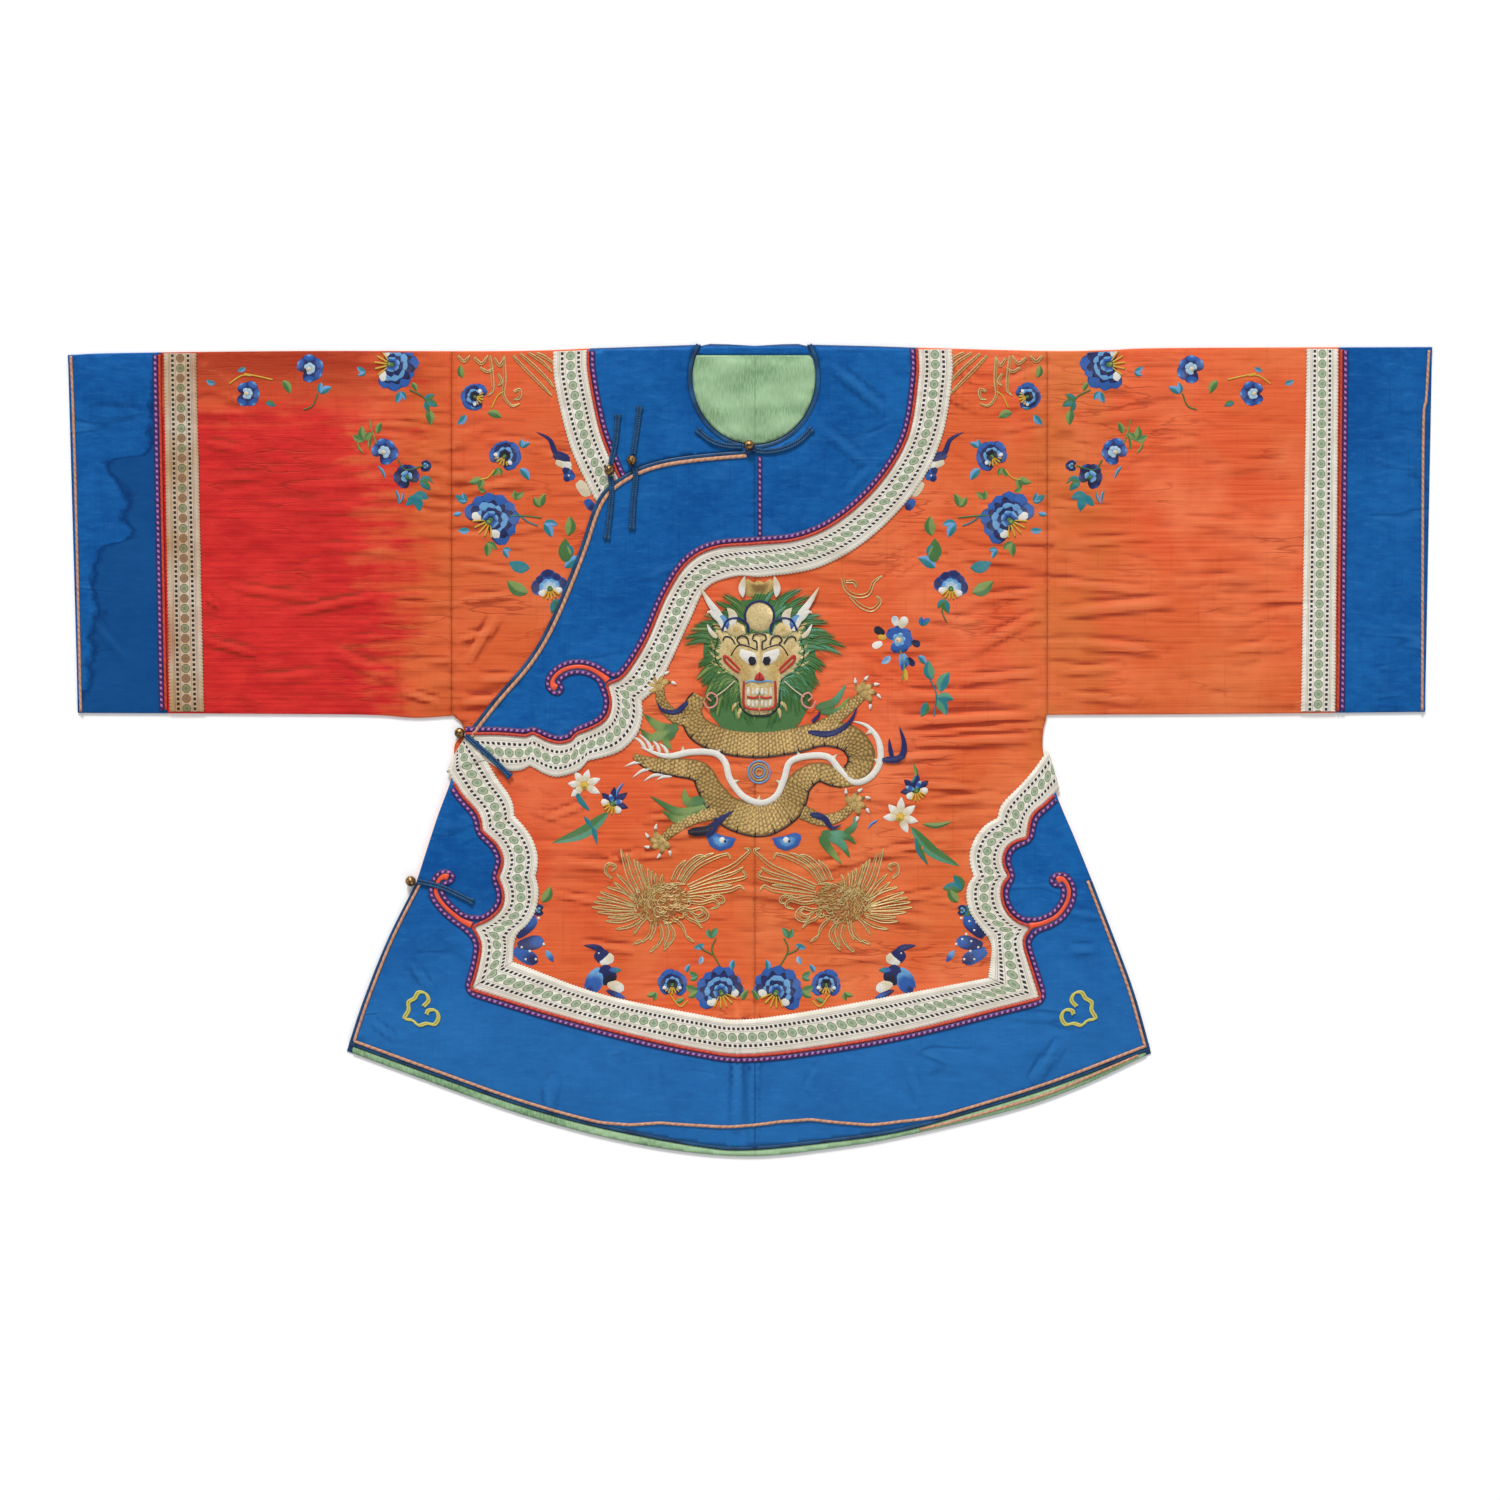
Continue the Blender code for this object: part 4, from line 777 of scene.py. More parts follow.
class Finish:
    """A material's nodes, added one at a time."""

    def __init__(self, name, roughness, **sockets):
        self.material = bpy.data.materials.new(name)
        self.material.use_nodes = True
        self.tree = self.material.node_tree
        self.shader = self.tree.nodes["Principled BSDF"]
        self.shader.inputs["Roughness"].default_value = roughness
        for socket, value in sockets.items():
            self.shader.inputs[socket.replace("_", " ")].default_value = value

    def feed(self, socket, value):
        """Links a socket to another, or sets its value."""
        if isinstance(value, bpy.types.NodeSocket):
            self.tree.links.new(value, socket)
        else:
            socket.default_value = value

    def node(self, kind, *values, **settings):
        """A node with settings, its first inputs fed in order; a None is passed over."""
        made = self.tree.nodes.new("ShaderNode" + kind)
        for key, value in settings.items():
            setattr(made, key, value)
        for socket, value in zip(made.inputs, values):
            if value is not None:
                self.feed(socket, value)
        return made

    def math(self, operation, *values):
        """Arithmetic on one, two or three values."""
        return self.node("Math", *values, operation=operation).outputs[0]

    def plus(self, first, second):
        """The sum of two values."""
        return self.math('ADD', first, second)

    def less(self, first, second):
        """The first value less the second."""
        return self.math('SUBTRACT', first, second)

    def times(self, first, second):
        """The product of two values."""
        return self.math('MULTIPLY', first, second)

    def most(self, *values):
        """The greatest of some values."""
        best = values[0]
        for value in values[1:]:
            best = self.math('MAXIMUM', best, value)
        return best

    def away(self, value, middle):
        """How far a value lies from a middle one."""
        return self.math('ABSOLUTE', self.less(value, middle))

    def mix(self, share, first, second, blend='MIX'):
        """Two colours mixed."""
        made = self.node("Mix", data_type='RGBA', blend_type=blend)
        for socket, value in ((0, share), (6, first), (7, second)):
            self.feed(made.inputs[socket], value)
        return made.outputs[2]

    def place(self, scale=(1.0, 1.0, 1.0), turn=0.0):
        """The place on the garment, stretched and turned."""
        coordinates = self.node("TexCoord").outputs["Object"]
        made = self.node("Mapping", coordinates)
        made.inputs["Scale"].default_value = scale
        made.inputs["Rotation"].default_value = (0.0, 0.0, turn)
        return made.outputs[0]

    def noise(self, scale, stretch=(1.0, 1.0, 1.0), detail=2.0, roughness=0.5, turn=0.0):
        """Cloudy noise about a half."""
        made = self.node("TexNoise", self.place(stretch, turn))
        for socket, value in (("Scale", scale), ("Detail", detail), ("Roughness", roughness)):
            made.inputs[socket].default_value = value
        return made.outputs[0]

    def waves(self, scale, distortion=0.0, vector=None):
        """Even bands across the garment, or along a ribbon whose vector is given."""
        direction = 'X' if vector else 'Y'
        made = self.node("TexWave", vector or self.place(), bands_direction=direction)
        made.inputs["Scale"].default_value = scale
        made.inputs["Distortion"].default_value = distortion
        return made.outputs[1]

    def between(self, value, low, high, start=0.0, end=1.0):
        """A value carried from one range to another, held at its ends."""
        return self.node("MapRange", value, low, high, start, end).outputs[0]

    def split(self, vector):
        """The x, y and z of a place."""
        return self.node("SeparateXYZ", vector).outputs

    def emboss(self, height, strength, distance=0.001):
        """Bump from a height."""
        made = self.node("Bump")
        made.inputs["Strength"].default_value = strength
        made.inputs["Distance"].default_value = distance
        self.feed(made.inputs["Height"], height)
        self.feed(self.shader.inputs["Normal"], made.outputs[0])

    def colour(self, value):
        """The base colour."""
        self.feed(self.shader.inputs["Base Color"], value)

    def attribute(self, name, output):
        """What a mesh's attribute holds."""
        return self.node("Attribute", attribute_name=name).outputs[output]

    def span(self):
        """The length and the width along a ribbon or thread."""
        return self.split(self.node("UVMap", uv_map="span").outputs[0])[:2]


def turned_edges(f, x, y):
    """Where the binding or the yoke is turned over the silk: neck, opening, shoulder, vents and hem."""
    off = f.away(x, NECK_CENTRE[0] * METRE)
    down = f.less(y, (SHOULDER_Y - NECK_CENTRE[1]) * METRE)
    neck = f.between(f.plus(f.times(off, off), f.times(down, down)), 0.0078, 0.0080, 1.0, 0.0)
    opening = f.times(f.between(off, 0.016, 0.017, 1.0, 0.0), f.between(y, 0.214, 0.215))
    shoulder = f.times(f.between(y, 0.3985, 0.3988), f.between(off, 0.1635, 0.1645, 1.0, 0.0))
    beside = f.between(f.math('ABSOLUTE', x), 0.270, 0.272)
    vent = f.times(beside, f.between(y, -0.133, -0.131, 1.0, 0.0))
    return f.most(neck, opening, shoulder, vent, f.between(y, -0.274, -0.272, 1.0, 0.0))


def silk_finish(name, crimson=False):
    """Plain silk with weft streaks and puckers, aged by the armholes, crimson where the dye ran, with
    painted shade and highlight on its folds.
    """
    dye = colours()
    f = Finish(name, 0.45, Specular_IOR_Level=0.40, Specular_Tint=dye.silk_gloss)
    x, y, _ = f.split(f.place())
    streak = f.noise(1.0, (9.0, 330.0, 1.0), detail=4.0, roughness=0.6)
    cloud = f.noise(11.0, detail=4.0, roughness=0.6)
    slub = f.noise(1.0, (30.0, 900.0, 1.0))
    warp = f.noise(1.0, (260.0, 9.0, 1.0), detail=3.0, roughness=0.6)
    base = f.mix(f.between(streak, 0.34, 0.66), dye.orange_shade, dye.orange)
    base = f.mix(f.between(cloud, 0.42, 0.70, 0.0, 0.6), base, dye.orange_light)
    aged = f.away(f.math('ABSOLUTE', x), 0.312)
    spread = f.noise(22.0, (1.0, 0.6, 1.0), detail=3.0)
    aged = f.plus(aged, f.between(spread, 0.3, 0.7, -0.03, 0.05))
    worn = f.between(f.noise(3.4, detail=3.0), 0.42, 0.62, 0.0, 0.34)
    base = f.mix(f.most(f.between(aged, 0.012, 0.07, 0.5, 0.0), worn), base, dye.ochre)
    # Darker towards the wearer's right side of the body
    base = f.mix(f.between(x, -0.30, -0.08, 0.45, 0.0), base, dye.orange_shade)
    if crimson:
        fringe = f.noise(1.0, (8.0, 70.0, 1.0), detail=5.0, roughness=0.65)
        wander = f.between(fringe, 0.25, 0.75, -0.05, 0.05)
        wander = f.plus(wander, f.between(cloud, 0.3, 0.7, -0.03, 0.03))
        rise = f.between(f.plus(y, f.times(wander, 0.4)), 0.325, 0.362, 1.0, 0.0)
        seam = f.between(f.plus(x, wander), -0.385, -0.330, 1.0, 0.0)
        dulled = f.times(f.between(y, 0.335, 0.385, 0.0, 0.9), seam)
        base = f.mix(dulled, base, dye.dulled)
        patchy = f.noise(34.0, (1.0, 3.0, 1.0), detail=4.0, roughness=0.65)
        patchy = f.plus(f.times(streak, 0.5), f.times(patchy, 0.5))
        deep = f.mix(f.between(patchy, 0.42, 0.60), dye.crimson_shade, dye.crimson)
        deep = f.mix(f.between(cloud, 0.45, 0.75, 0.0, 0.4), deep, dye.crimson_light)
        stained = f.times(rise, seam)
        base = f.mix(stained, base, deep)
    base = f.mix(f.between(slub, 0.58, 0.78, 0.0, 0.3), base, dye.orange_shade)
    base = f.mix(f.between(warp, 0.60, 0.80, 0.0, 0.25), base, dye.crease)
    across = f.noise(1.0, (9.0, 52.0, 1.0), detail=3.0, roughness=0.5)
    gathered = f.between(f.noise(9.0, (1.0, 1.4, 1.0)), 0.50, 0.64)
    pucker = f.times(f.between(f.away(across, 0.5), 0.0, 0.024, 1.0, 0.0), gathered)
    # Painted shade along the pucker lines
    base = f.mix(f.times(pucker, 0.5), base, dye.crease)
    hollow = f.attribute("hollow", "Fac")
    # Painted shade in the hollows between the folds
    base = f.mix(f.between(hollow, 0.03, 0.36, 0.0, 0.85), base, dye.crease)
    # Painted highlight on the ridges of the folds, paler orange or crimson
    rubbed = f.mix(stained, dye.orange_light, dye.crimson_light) if crimson else dye.orange_light
    base = f.mix(f.between(hollow, -0.50, -0.05, 0.40, 0.0), base, rubbed)
    f.colour(f.mix(turned_edges(f, x, y), base, dye.binding))
    weft = f.waves(900.0, 0.6)
    height = f.plus(f.times(weft, 0.12), f.plus(streak, f.times(slub, 0.4)))
    f.emboss(f.less(height, f.times(pucker, 0.9)), 0.5, 0.0009)
    f.feed(f.shader.inputs["Roughness"], f.between(streak, 0.3, 0.7, 0.36, 0.52))
    return f.material


def satin_finish(name, stained=False):
    """Blue satin with a fine rib, soft wear, painted shade and highlight on its folds, and on one cuff the
    tide line of a water stain.
    """
    dye = colours()
    f = Finish(name, 0.42, Specular_IOR_Level=0.40, Specular_Tint=dye.satin_gloss)
    x, y, _ = f.split(f.place())
    cloud = f.noise(9.0, detail=5.0, roughness=0.6)
    rub = f.noise(1.0, (60.0, 240.0, 1.0), detail=3.0, roughness=0.6, turn=0.5)
    warp = f.noise(1.0, (420.0, 16.0, 1.0), detail=3.0, roughness=0.6)
    fine = f.noise(60.0, (1.0, 2.2, 1.0), detail=4.0, roughness=0.7)
    mottle = f.plus(f.times(cloud, 0.55), f.times(fine, 0.45))
    base = f.mix(f.between(mottle, 0.40, 0.62), dye.blue_shade, dye.blue)
    base = f.mix(f.between(rub, 0.55, 0.8, 0.0, 0.35), base, dye.blue_light)
    base = f.mix(f.between(warp, 0.55, 0.8, 0.0, 0.3), base, dye.tide)
    # Paler towards the hem
    base = f.mix(f.between(y, -0.28, -0.12, 0.32, 0.0), base, dye.blue_light)
    across = f.noise(1.0, (3.2, 13.0, 1.0), detail=3.0, roughness=0.5, turn=0.3)
    gathered = f.between(f.noise(13.0), 0.50, 0.64)
    crease = f.times(f.between(f.away(across, 0.5), 0.0, 0.016, 1.0, 0.0), gathered)
    crest_highlight = f.times(f.between(f.away(across, 0.528), 0.0, 0.018, 1.0, 0.0), gathered)
    # Painted highlight along the crest beside each crease line
    base = f.mix(f.times(crest_highlight, 0.25), base, dye.blue_light)
    # Painted shade along each crease line
    base = f.mix(f.times(crease, 0.42), base, dye.tide)
    if stained:
        tide = f.node("FloatCurve", 1.0, f.between(y, 0.03, 0.43))
        knots = tide.mapping.curves[0].points
        for spot, value in TIDE_LINE:
            knots.new(spot, value)
        tide.mapping.update()
        edge = f.between(tide.outputs[0], 0.0, 1.0, -0.690, -0.590)
        wobble = f.between(f.noise(55.0, detail=4.0, roughness=0.65), 0.25, 0.75, -0.007, 0.007)
        inland = f.less(f.plus(x, wobble), edge)
        base = f.mix(f.between(inland, -0.001, 0.004, 0.0, 0.75), base, dye.stain)
        ring = f.between(f.math('ABSOLUTE', inland), 0.0005, 0.006, 0.8, 0.0)
        base = f.mix(ring, base, dye.tide)
    hollow = f.attribute("hollow", "Fac")
    # Painted shade in the hollows between the folds, and painted highlight on their ridges
    base = f.mix(f.between(hollow, 0.02, 0.42, 0.0, 0.8), base, dye.tide)
    base = f.mix(f.between(hollow, -0.50, -0.04, 0.35, 0.0), base, dye.blue_light)
    f.colour(base)
    rib = f.waves(300.0, 0.4)
    height = f.plus(f.times(rib, 0.2), f.plus(cloud, rub))
    f.emboss(f.less(height, crease), 0.32, 0.0009)
    f.feed(f.shader.inputs["Roughness"], f.between(cloud, 0.3, 0.7, 0.34, 0.48))
    return f.material


# The woven ribbon's width and repeats in metres, and its lines: how far off its middle, half width
RIBBON_WIDTH, SQUARE_STEP, MEDALLION_STEP, THREAD_BLUR = 0.0335, 0.0049, 0.0100, 0.00025
RIBBON_LINES = ((0.0113, 0.00045), (0.0128, 0.0003), (0.0056, 0.0004))
DASH_STEP, STRAND = 0.0057, 0.0007


def ribbon_finish(name, aged=False):
    """Woven ribbon: cream margins, rows of black squares and a row of green eight-sided medallions."""
    dye = colours()
    f = Finish(name, 0.62, Specular_IOR_Level=0.3)
    u, v = f.span()
    off_centre = f.times(f.away(v, 0.5), RIBBON_WIDTH)

    def repeat(length, shift=0.0):
        part = f.math('FRACT', f.plus(f.math('DIVIDE', u, length), shift))
        return f.times(f.away(part, 0.5), length)

    def within(distance, edge):
        return f.between(distance, edge - THREAD_BLUR, edge + THREAD_BLUR, 1.0, 0.0)

    cream = f.mix(f.between(f.noise(60.0, detail=3.0), 0.35, 0.7), dye.cream_shade, dye.cream)
    weft = f.waves(260.0, vector=f.node("CombineXYZ", u, v).outputs[0])
    cream = f.mix(f.times(weft, 0.16), cream, dye.ribbon_grey)
    for spot, half in RIBBON_LINES:
        cream = f.mix(f.times(within(f.away(off_centre, spot), half), 0.75), cream, dye.ribbon_grey)
    square = within(f.most(repeat(SQUARE_STEP), f.away(off_centre, 0.0084)), 0.00145)
    cream = f.mix(square, cream, dye.ribbon_black)
    along = repeat(MEDALLION_STEP)
    eight = f.most(along, off_centre, f.times(f.plus(along, off_centre), 0.72))
    medallion = within(eight, 0.0044)
    cream = f.mix(medallion, cream, dye.medallion_edge)
    cream = f.mix(within(eight, 0.0036), cream, dye.medallion)
    cream = f.mix(f.times(within(eight, 0.0018), 0.6), cream, dye.medallion_edge)
    if aged:
        rust = f.noise(1.0, (14.0, 8.0, 1.0), detail=3.0, roughness=0.6)
        cream = f.mix(f.between(rust, 0.35, 0.65, 0.35, 0.95), cream, dye.ribbon_aged, 'MULTIPLY')
        bleed = f.times(f.between(f.noise(12.0), 0.5, 0.68, 0.0, 0.5), f.between(off_centre, 0.008, 0.016))
        cream = f.mix(bleed, cream, dye.ribbon_pink, 'MULTIPLY')
        every_other = within(repeat(2 * MEDALLION_STEP, 0.25), MEDALLION_STEP / 2)
        cream = f.mix(f.times(f.times(medallion, every_other), 0.6), cream, dye.medallion_rust)
    f.colour(cream)
    raised = f.times(f.plus(square, medallion), 0.5)
    f.emboss(f.plus(raised, f.times(weft, 0.4)), 0.35, 0.0005)
    return f.material


def braid_finish(name):
    """A narrow dark braid with pink dashes along its middle."""
    dye = colours()
    f = Finish(name, 0.5, Specular_IOR_Level=0.3)
    u, v = f.span()
    part = f.less(f.math('FRACT', f.math('DIVIDE', u, DASH_STEP)), 0.5)
    side = f.less(v, 0.25)
    slant = f.math('ABSOLUTE', f.plus(part, f.times(side, 0.9)))
    off = f.math('ABSOLUTE', side)
    dash = f.most(f.times(slant, 1.45), f.times(off, 4.4))
    plait = f.noise(420.0, detail=1.0)
    base = f.mix(f.between(plait, 0.4, 0.65), dye.braid_shade, dye.braid)
    base = f.mix(f.between(off, 0.16, 0.20, 0.0, 0.7), base, dye.binding)
    f.colour(f.mix(f.between(dash, 0.26, 0.36, 1.0, 0.0), base, dye.braid_pink))
    f.emboss(f.plus(f.between(dash, 0.20, 0.42, 1.0, 0.0), plait), 0.5, 0.0005)
    return f.material


def cord_finish(name, dye, shade, roughness, pitch):
    """Twisted or folded silk of one dye, mottled, with painted shade in the hollows of its twist."""
    f = Finish(name, roughness, Specular_IOR_Level=0.3)
    mottle = f.noise(240.0, detail=3.0)
    u, v = f.span()
    twist = f.math('SINE', f.times(f.plus(f.times(u, pitch), v), 2 * math.pi))
    # Mottled at random, with painted shade in the hollows of the twist
    share = f.plus(f.between(mottle, 0.3, 0.7, 0.0, 0.6), f.between(twist, -1.0, 1.0, 0.0, 0.4))
    f.colour(f.mix(share, shade, dye))
    f.emboss(f.plus(twist, mottle), 0.35, 0.0004)
    return f.material


def binding_finish(name):
    """Bias-cut dark satin."""
    dye = colours()
    f = Finish(name, 0.42, Specular_IOR_Level=0.35)
    weave = f.noise(1.0, (500.0, 900.0, 1.0), turn=0.78)
    mottle = f.noise(70.0, detail=3.0)
    f.colour(f.mix(f.between(mottle, 0.3, 0.7), dye.binding_shade, dye.binding))
    f.emboss(f.plus(weave, mottle), 0.3, 0.0005)
    return f.material


def lining_finish(name):
    """Thin pale green silk, creased, with painted shade along its creases and a plain weave."""
    dye = colours()
    f = Finish(name, 0.55, Specular_IOR_Level=0.3)
    weave = f.noise(1.0, (700.0, 120.0, 1.0), detail=3.0)
    crease = f.noise(1.0, (14.0, 36.0, 1.0), detail=1.0, roughness=0.5, turn=-0.8)
    # Painted shade along the creases
    base = f.mix(f.between(crease, 0.34, 0.58), dye.lining_shade, dye.lining)
    x, _, _ = f.split(f.place())
    seam = f.between(f.away(x, CENTRE_SEAM * METRE), 0.0004, 0.0012, 0.55, 0.0)
    base = f.mix(seam, base, dye.lining_seam)
    f.colour(f.mix(f.between(weave, 0.35, 0.7, 0.0, 0.5), base, dye.lining_light))
    f.emboss(f.plus(f.times(crease, 3.0), weave), 0.4, 0.001)
    return f.material


def brass_finish(name):
    """Gilt brass, dark in its hollows and rubbed bright where it stands out."""
    dye = colours()
    f = Finish(name, 0.40, Metallic=0.9)
    pits = f.noise(900.0, detail=3.0)
    worn = f.noise(420.0, detail=3.0)
    f.colour(f.mix(f.between(worn, 0.4, 0.62), dye.brass_shade, dye.brass))
    f.feed(f.shader.inputs["Roughness"], f.between(pits, 0.3, 0.7, 0.3, 0.5))
    f.emboss(f.plus(pits, worn), 0.4, 0.0005)
    return f.material


def thread_finish(name, metal=0.0):
    """Floss or couched gold: each thread's own colour, ribbed across its span, with painted shade between
    its strands.
    """
    f = Finish(name, 0.42, Metallic=metal, Specular_IOR_Level=0.35)
    floss = f.attribute("thread", "Color")
    strand = f.math('SINE', f.times(f.span()[1], 2 * math.pi / STRAND))
    fleck = f.noise(1300.0, detail=1.0)
    loops = f.noise(420.0)
    rough = f.between(loops, 0.42, 0.62, 0.0, 0.42 if metal else 0.12)
    # Painted shade between the strands, and random flecks and loops
    share = f.plus(f.between(strand, -1.0, 1.0, 0.0, 0.22), f.between(fleck, 0.35, 0.7, 0.0, 0.2))
    share = f.plus(share, rough)
    f.colour(f.mix(share, floss, f.mix(0.45, floss, (0.02, 0.02, 0.03, 1.0))))
    f.emboss(f.plus(f.plus(strand, fleck), loops), 0.45, 0.0005)
    return f.material


def floor_finish(name):
    """The pale table that the jacket lies on."""
    f = Finish(name, 0.9)
    f.colour(f.mix(f.between(f.noise(40.0), 0.3, 0.7), tone(250, 250, 250), tone(254, 254, 254)))
    return f.material


# How far the peach piping runs up from the front hem: x, then rise
HEM_RISE = (
    (-150, -120, -90, -50, -10, 30, 60, 90, 120, 150, 190),
    (0, 4, 12, 16, 19, 21, 20, 13, 7, 5, 0),
)
# Piping inside the back hem, where it shows below the front: x and drop
BACK_PIPING = [(170, 779), (200, 772), (250, 758), (300, 742.5), (350, 721.5), (388, 705)]
# Sleeve ribbons: their edge beside the cuff and their edge on the sleeve
SLEEVE_RIBBONS = {
    "right": ([(-585, -4), (-579, 371)], [(-554, -4), (-546, 371)]),
    "left": ([(587, -11), (583.5, 370)], [(557, -11), (551, 370)]),
}
# Tide line of the stained cuff: share of the drop from 370 up to -30, and share across 60 to 160
TIDE_LINE = [
    (0.10, 0.30), (0.18, 0.33), (0.28, 0.38), (0.34, 0.33), (0.40, 0.37), (0.44, 0.52), (0.46, 0.72),
    (0.50, 0.66), (0.56, 0.69), (0.60, 0.60), (0.64, 0.48), (0.66, 0.80), (0.70, 0.92), (0.80, 0.95),
]
# Frog straps. Columns: name, whether the overlap carries it, then x and drop along its middle
STRAPS = [
    ("neck_right", True, [(-53, 80), (-40, 90.5), (-25, 96), (-8, 97)]),
    ("neck_left", True, [(62, 79), (50, 91), (34, 99), (17, 102), (5.2, 101)]),
    ("chest_upper", False, [(-110, 57), (-113, 80), (-116.5, 105.2)]),
    ("chest_lower", True, [(-116, 117), (-114, 126), (-116, 150), (-118, 180)]),
    ("collar_upper", False, [(-132, 65), (-134, 90), (-139, 115.2)]),
    ("collar_lower", True, [(-139, 127), (-138, 141), (-140, 165), (-143, 190)]),
    ("underarm", True, [(-283.6, 385.6), (-258, 408), (-239, 427)]),
    ("side", True, [(-332.7, 531), (-308, 537), (-276, 552)]),
]
TIP_FIRST = ("neck_right", "neck_left", "chest_upper", "collar_upper")
# Ball buttons. Columns: name, x, drop, height of the middle
BUTTONS = [
    ("neck", -1, 96, 11.5), ("chest", -118, 111, 11.0), ("collar", -140, 121, 11.0),
    ("underarm", -290, 383, 5.8), ("side", -338.9, 531, 5.8),
]
# The ribbons: step along and points across, then their picots, which are a share of the width and
# their distance from each other
RIBBON_STEP, RIBBON_ACROSS, PICOT, PICOT_STEP = 0.85, 11, 0.035, 3.4
# The bindings: points along, those hidden at the neck end of the overlap, the ends of the neck's as
# shares of its rim with its steps, how far out it begins, and the step along the hem
BINDING_POINTS, BINDING_HIDDEN, NECK_ENDS, NECK_OUT, HEM_STEP = 420, 5, (0.004, 0.996, 240), 0.2, 2.0
# Where a binding's points lie across it, and its thickness at the rims as a share of the middle's
BINDING_ACROSS, BINDING_RIM = np.array([0.0, 0.12, 0.3, 0.5, 0.7, 0.88, 1.0]), 0.45
# Trims: radius or half width, then the distance of the middle from the seam, and flatness
RED_PIPING, RED_OFF, RED_FLAT = 1.5, 1.3, 0.8
BRAID, BRAID_OFF, BRAID_FLAT, BRAID_RISE = 2.8, 5.6, 0.42, 0.5
# The step of a braid's middle line, and how near a corner has to be to get its scroll
BRAID_STEP, CORNER_REACH = 4.0, 2.0
# The peach piping's radius and flatness along the overlap, the hem, the cuffs and the back hem
PEACH = {"overlap": (1.9, 0.6), "hem": (1.5, 0.7), "cuff": (1.4, 0.8), "back": (1.3, 0.7)}
# Steps along a trim and a cord, and the share of its half height that a cord's middle lies up
TRIM_STEP, CORD_STEP, CORD_SHARE = 2.2, 2.5, 0.75
# The braid beside the centre seam, and its half width
CENTRE_BRAID, CENTRE_BRAID_HALF = [(9.8, 107), (9.8, 187)], 2.5
# The drop below which the hem's piping is moved, and the distances of piping from the bindings of
# hem and overlap and from the cuff ends
HEM_DROP, HEM_OFF, OVERLAP_OFF, CUFF_OFF = 690, 1.9, 2.0, 3.4
# The step of the hem's lines, how high the back's piping lies on the lining, and the points of the
# overlap's piping that the neck hides
HEM_LINE_STEP, BACK_RISE, PEACH_HIDDEN = 3.0, 0.9, 4


def sizes():
    """The sizes that a user may change."""
    return bpy.context.scene.jacket_sizes


def colours():
    """The dyes, metals and painted shades and highlights that a user may change."""
    return bpy.context.scene.jacket_colours


def share(finish):
    """The finish of that name, made once."""
    name = finish + "_finish"
    if name not in bpy.data.materials:
        make, *settings = FINISHES[finish]
        make(name, *[getattr(colours(), s) if isinstance(s, str) else s for s in settings])
    return bpy.data.materials[name]


# How each finish is made, with its settings: a cord's are its dye, its darker dye for mottling and painted
# shade, its roughness and its twists to the metre
FINISHES = {
    "orange_silk": (silk_finish,), "crimson_silk": (silk_finish, True),
    "blue_satin": (satin_finish,), "stained_satin": (satin_finish, True),
    "woven_ribbon": (ribbon_finish,), "aged_ribbon": (ribbon_finish, True),
    "edge_braid": (braid_finish,), "dark_binding": (binding_finish,), "green_lining": (lining_finish,),
    "peach_piping": (cord_finish, "peach", "peach_shade", 0.5, 160.0),
    "red_piping": (cord_finish, "piping", "piping_shade", 0.5, 160.0),
    "frog_cord": (cord_finish, "binding", "binding_shade", 0.45, 420.0),
    "scroll_silk": (cord_finish, "scroll", "piping", 0.45, 30.0),
    "gilt_brass": (brass_finish,), "silk_floss": (thread_finish,), "couched_gold": (thread_finish, 0.3),
    "pale_table": (floor_finish,),
}


def make_half(side, area, base):
    """One half of the body, front and back in one over the shoulder."""
    sign = 1 if side == "left" else -1
    seam_x = {"left": LEFT_SLEEVE_SEAM_X, "right": RIGHT_SLEEVE_SEAM_X}[side]
    edge, middle = LINES["side_" + side], CENTRE_SEAM + sign * SEAM_GAP / 2
    mesh = sheet(cut(area), base)
    fold = turn_under(mesh, LINES["shoulder_" + side], 1)[::-sign]
    neckline = [at(x, drop) for x, drop in BACK_NECKLINE if sign * (x - CENTRE_SEAM) > 0][::-sign]
    hem = [p for p in BACK_HEM_LINE if sign * (p[0] - CENTRE_SEAM) > 0][::sign]
    outer = [(seam_x - sign * SEAM_GAP / 2, edge[0][1])] + edge[1:-1]
    back = neckline + [at(middle, -4), at(middle, 806)] + hem + outer[::-1]
    back_face(mesh, fold + back)
    piece = sew("body_" + side, mesh, "orange_silk", WALL, -1.0)


def make_body():
    """Both halves of the body, and the curved overlap."""
    area = NECK_LEFT + [p for p in LINES["shoulder_left"] if p[0] <= LEFT_SLEEVE_SEAM_X][1:]
    area += [at(LEFT_SLEEVE_SEAM_X, 2)] + LINES["side_left"]
    area += front_hem_between(CENTRE_SEAM, 400)[::-1] + [SEAM_FOOT]
    make_half("left", area, top_of)
    area = [at(RIGHT_SLEEVE_SEAM_X, 2)]
    area += [p for p in LINES["shoulder_right"] if p[0] >= RIGHT_SLEEVE_SEAM_X] + NECK_RIGHT[1:]
    area += LINES["inner_hem"][::-1] + LINES["inner_side"][::-1][1:]
    area += [p for p in LINES["side_right"] if p[1] > LINES["inner_side"][0][1]][::-1]
    make_half("right", area, flap_top)
    piece = sew("front_overlap", sheet(cut(OVERLAP_AREA), top_of), "orange_silk", WALL, -1.0)


def sleeve_area(side):
    """The plan of one sleeve and its cuff."""
    ring = LINES["shoulder_" + side] + LINES["cuff_end_" + side][1:-1]
    if side == "right":
        ring = LINES["shoulder_right"][::-1] + LINES["cuff_end_right"][1:-1]
    return ring + LINES["under_" + side]


def extent_of(triangles):
    """The width, the depth and the area of some triangles of the pattern."""
    width, depth = np.ptp(PLACES[np.unique(triangles)], axis=0)
    a, b, c = (PLACES[triangles[:, k]] for k in range(3))
    return width, depth, np.abs(np.cross(b - a, c - a)).sum() / 2


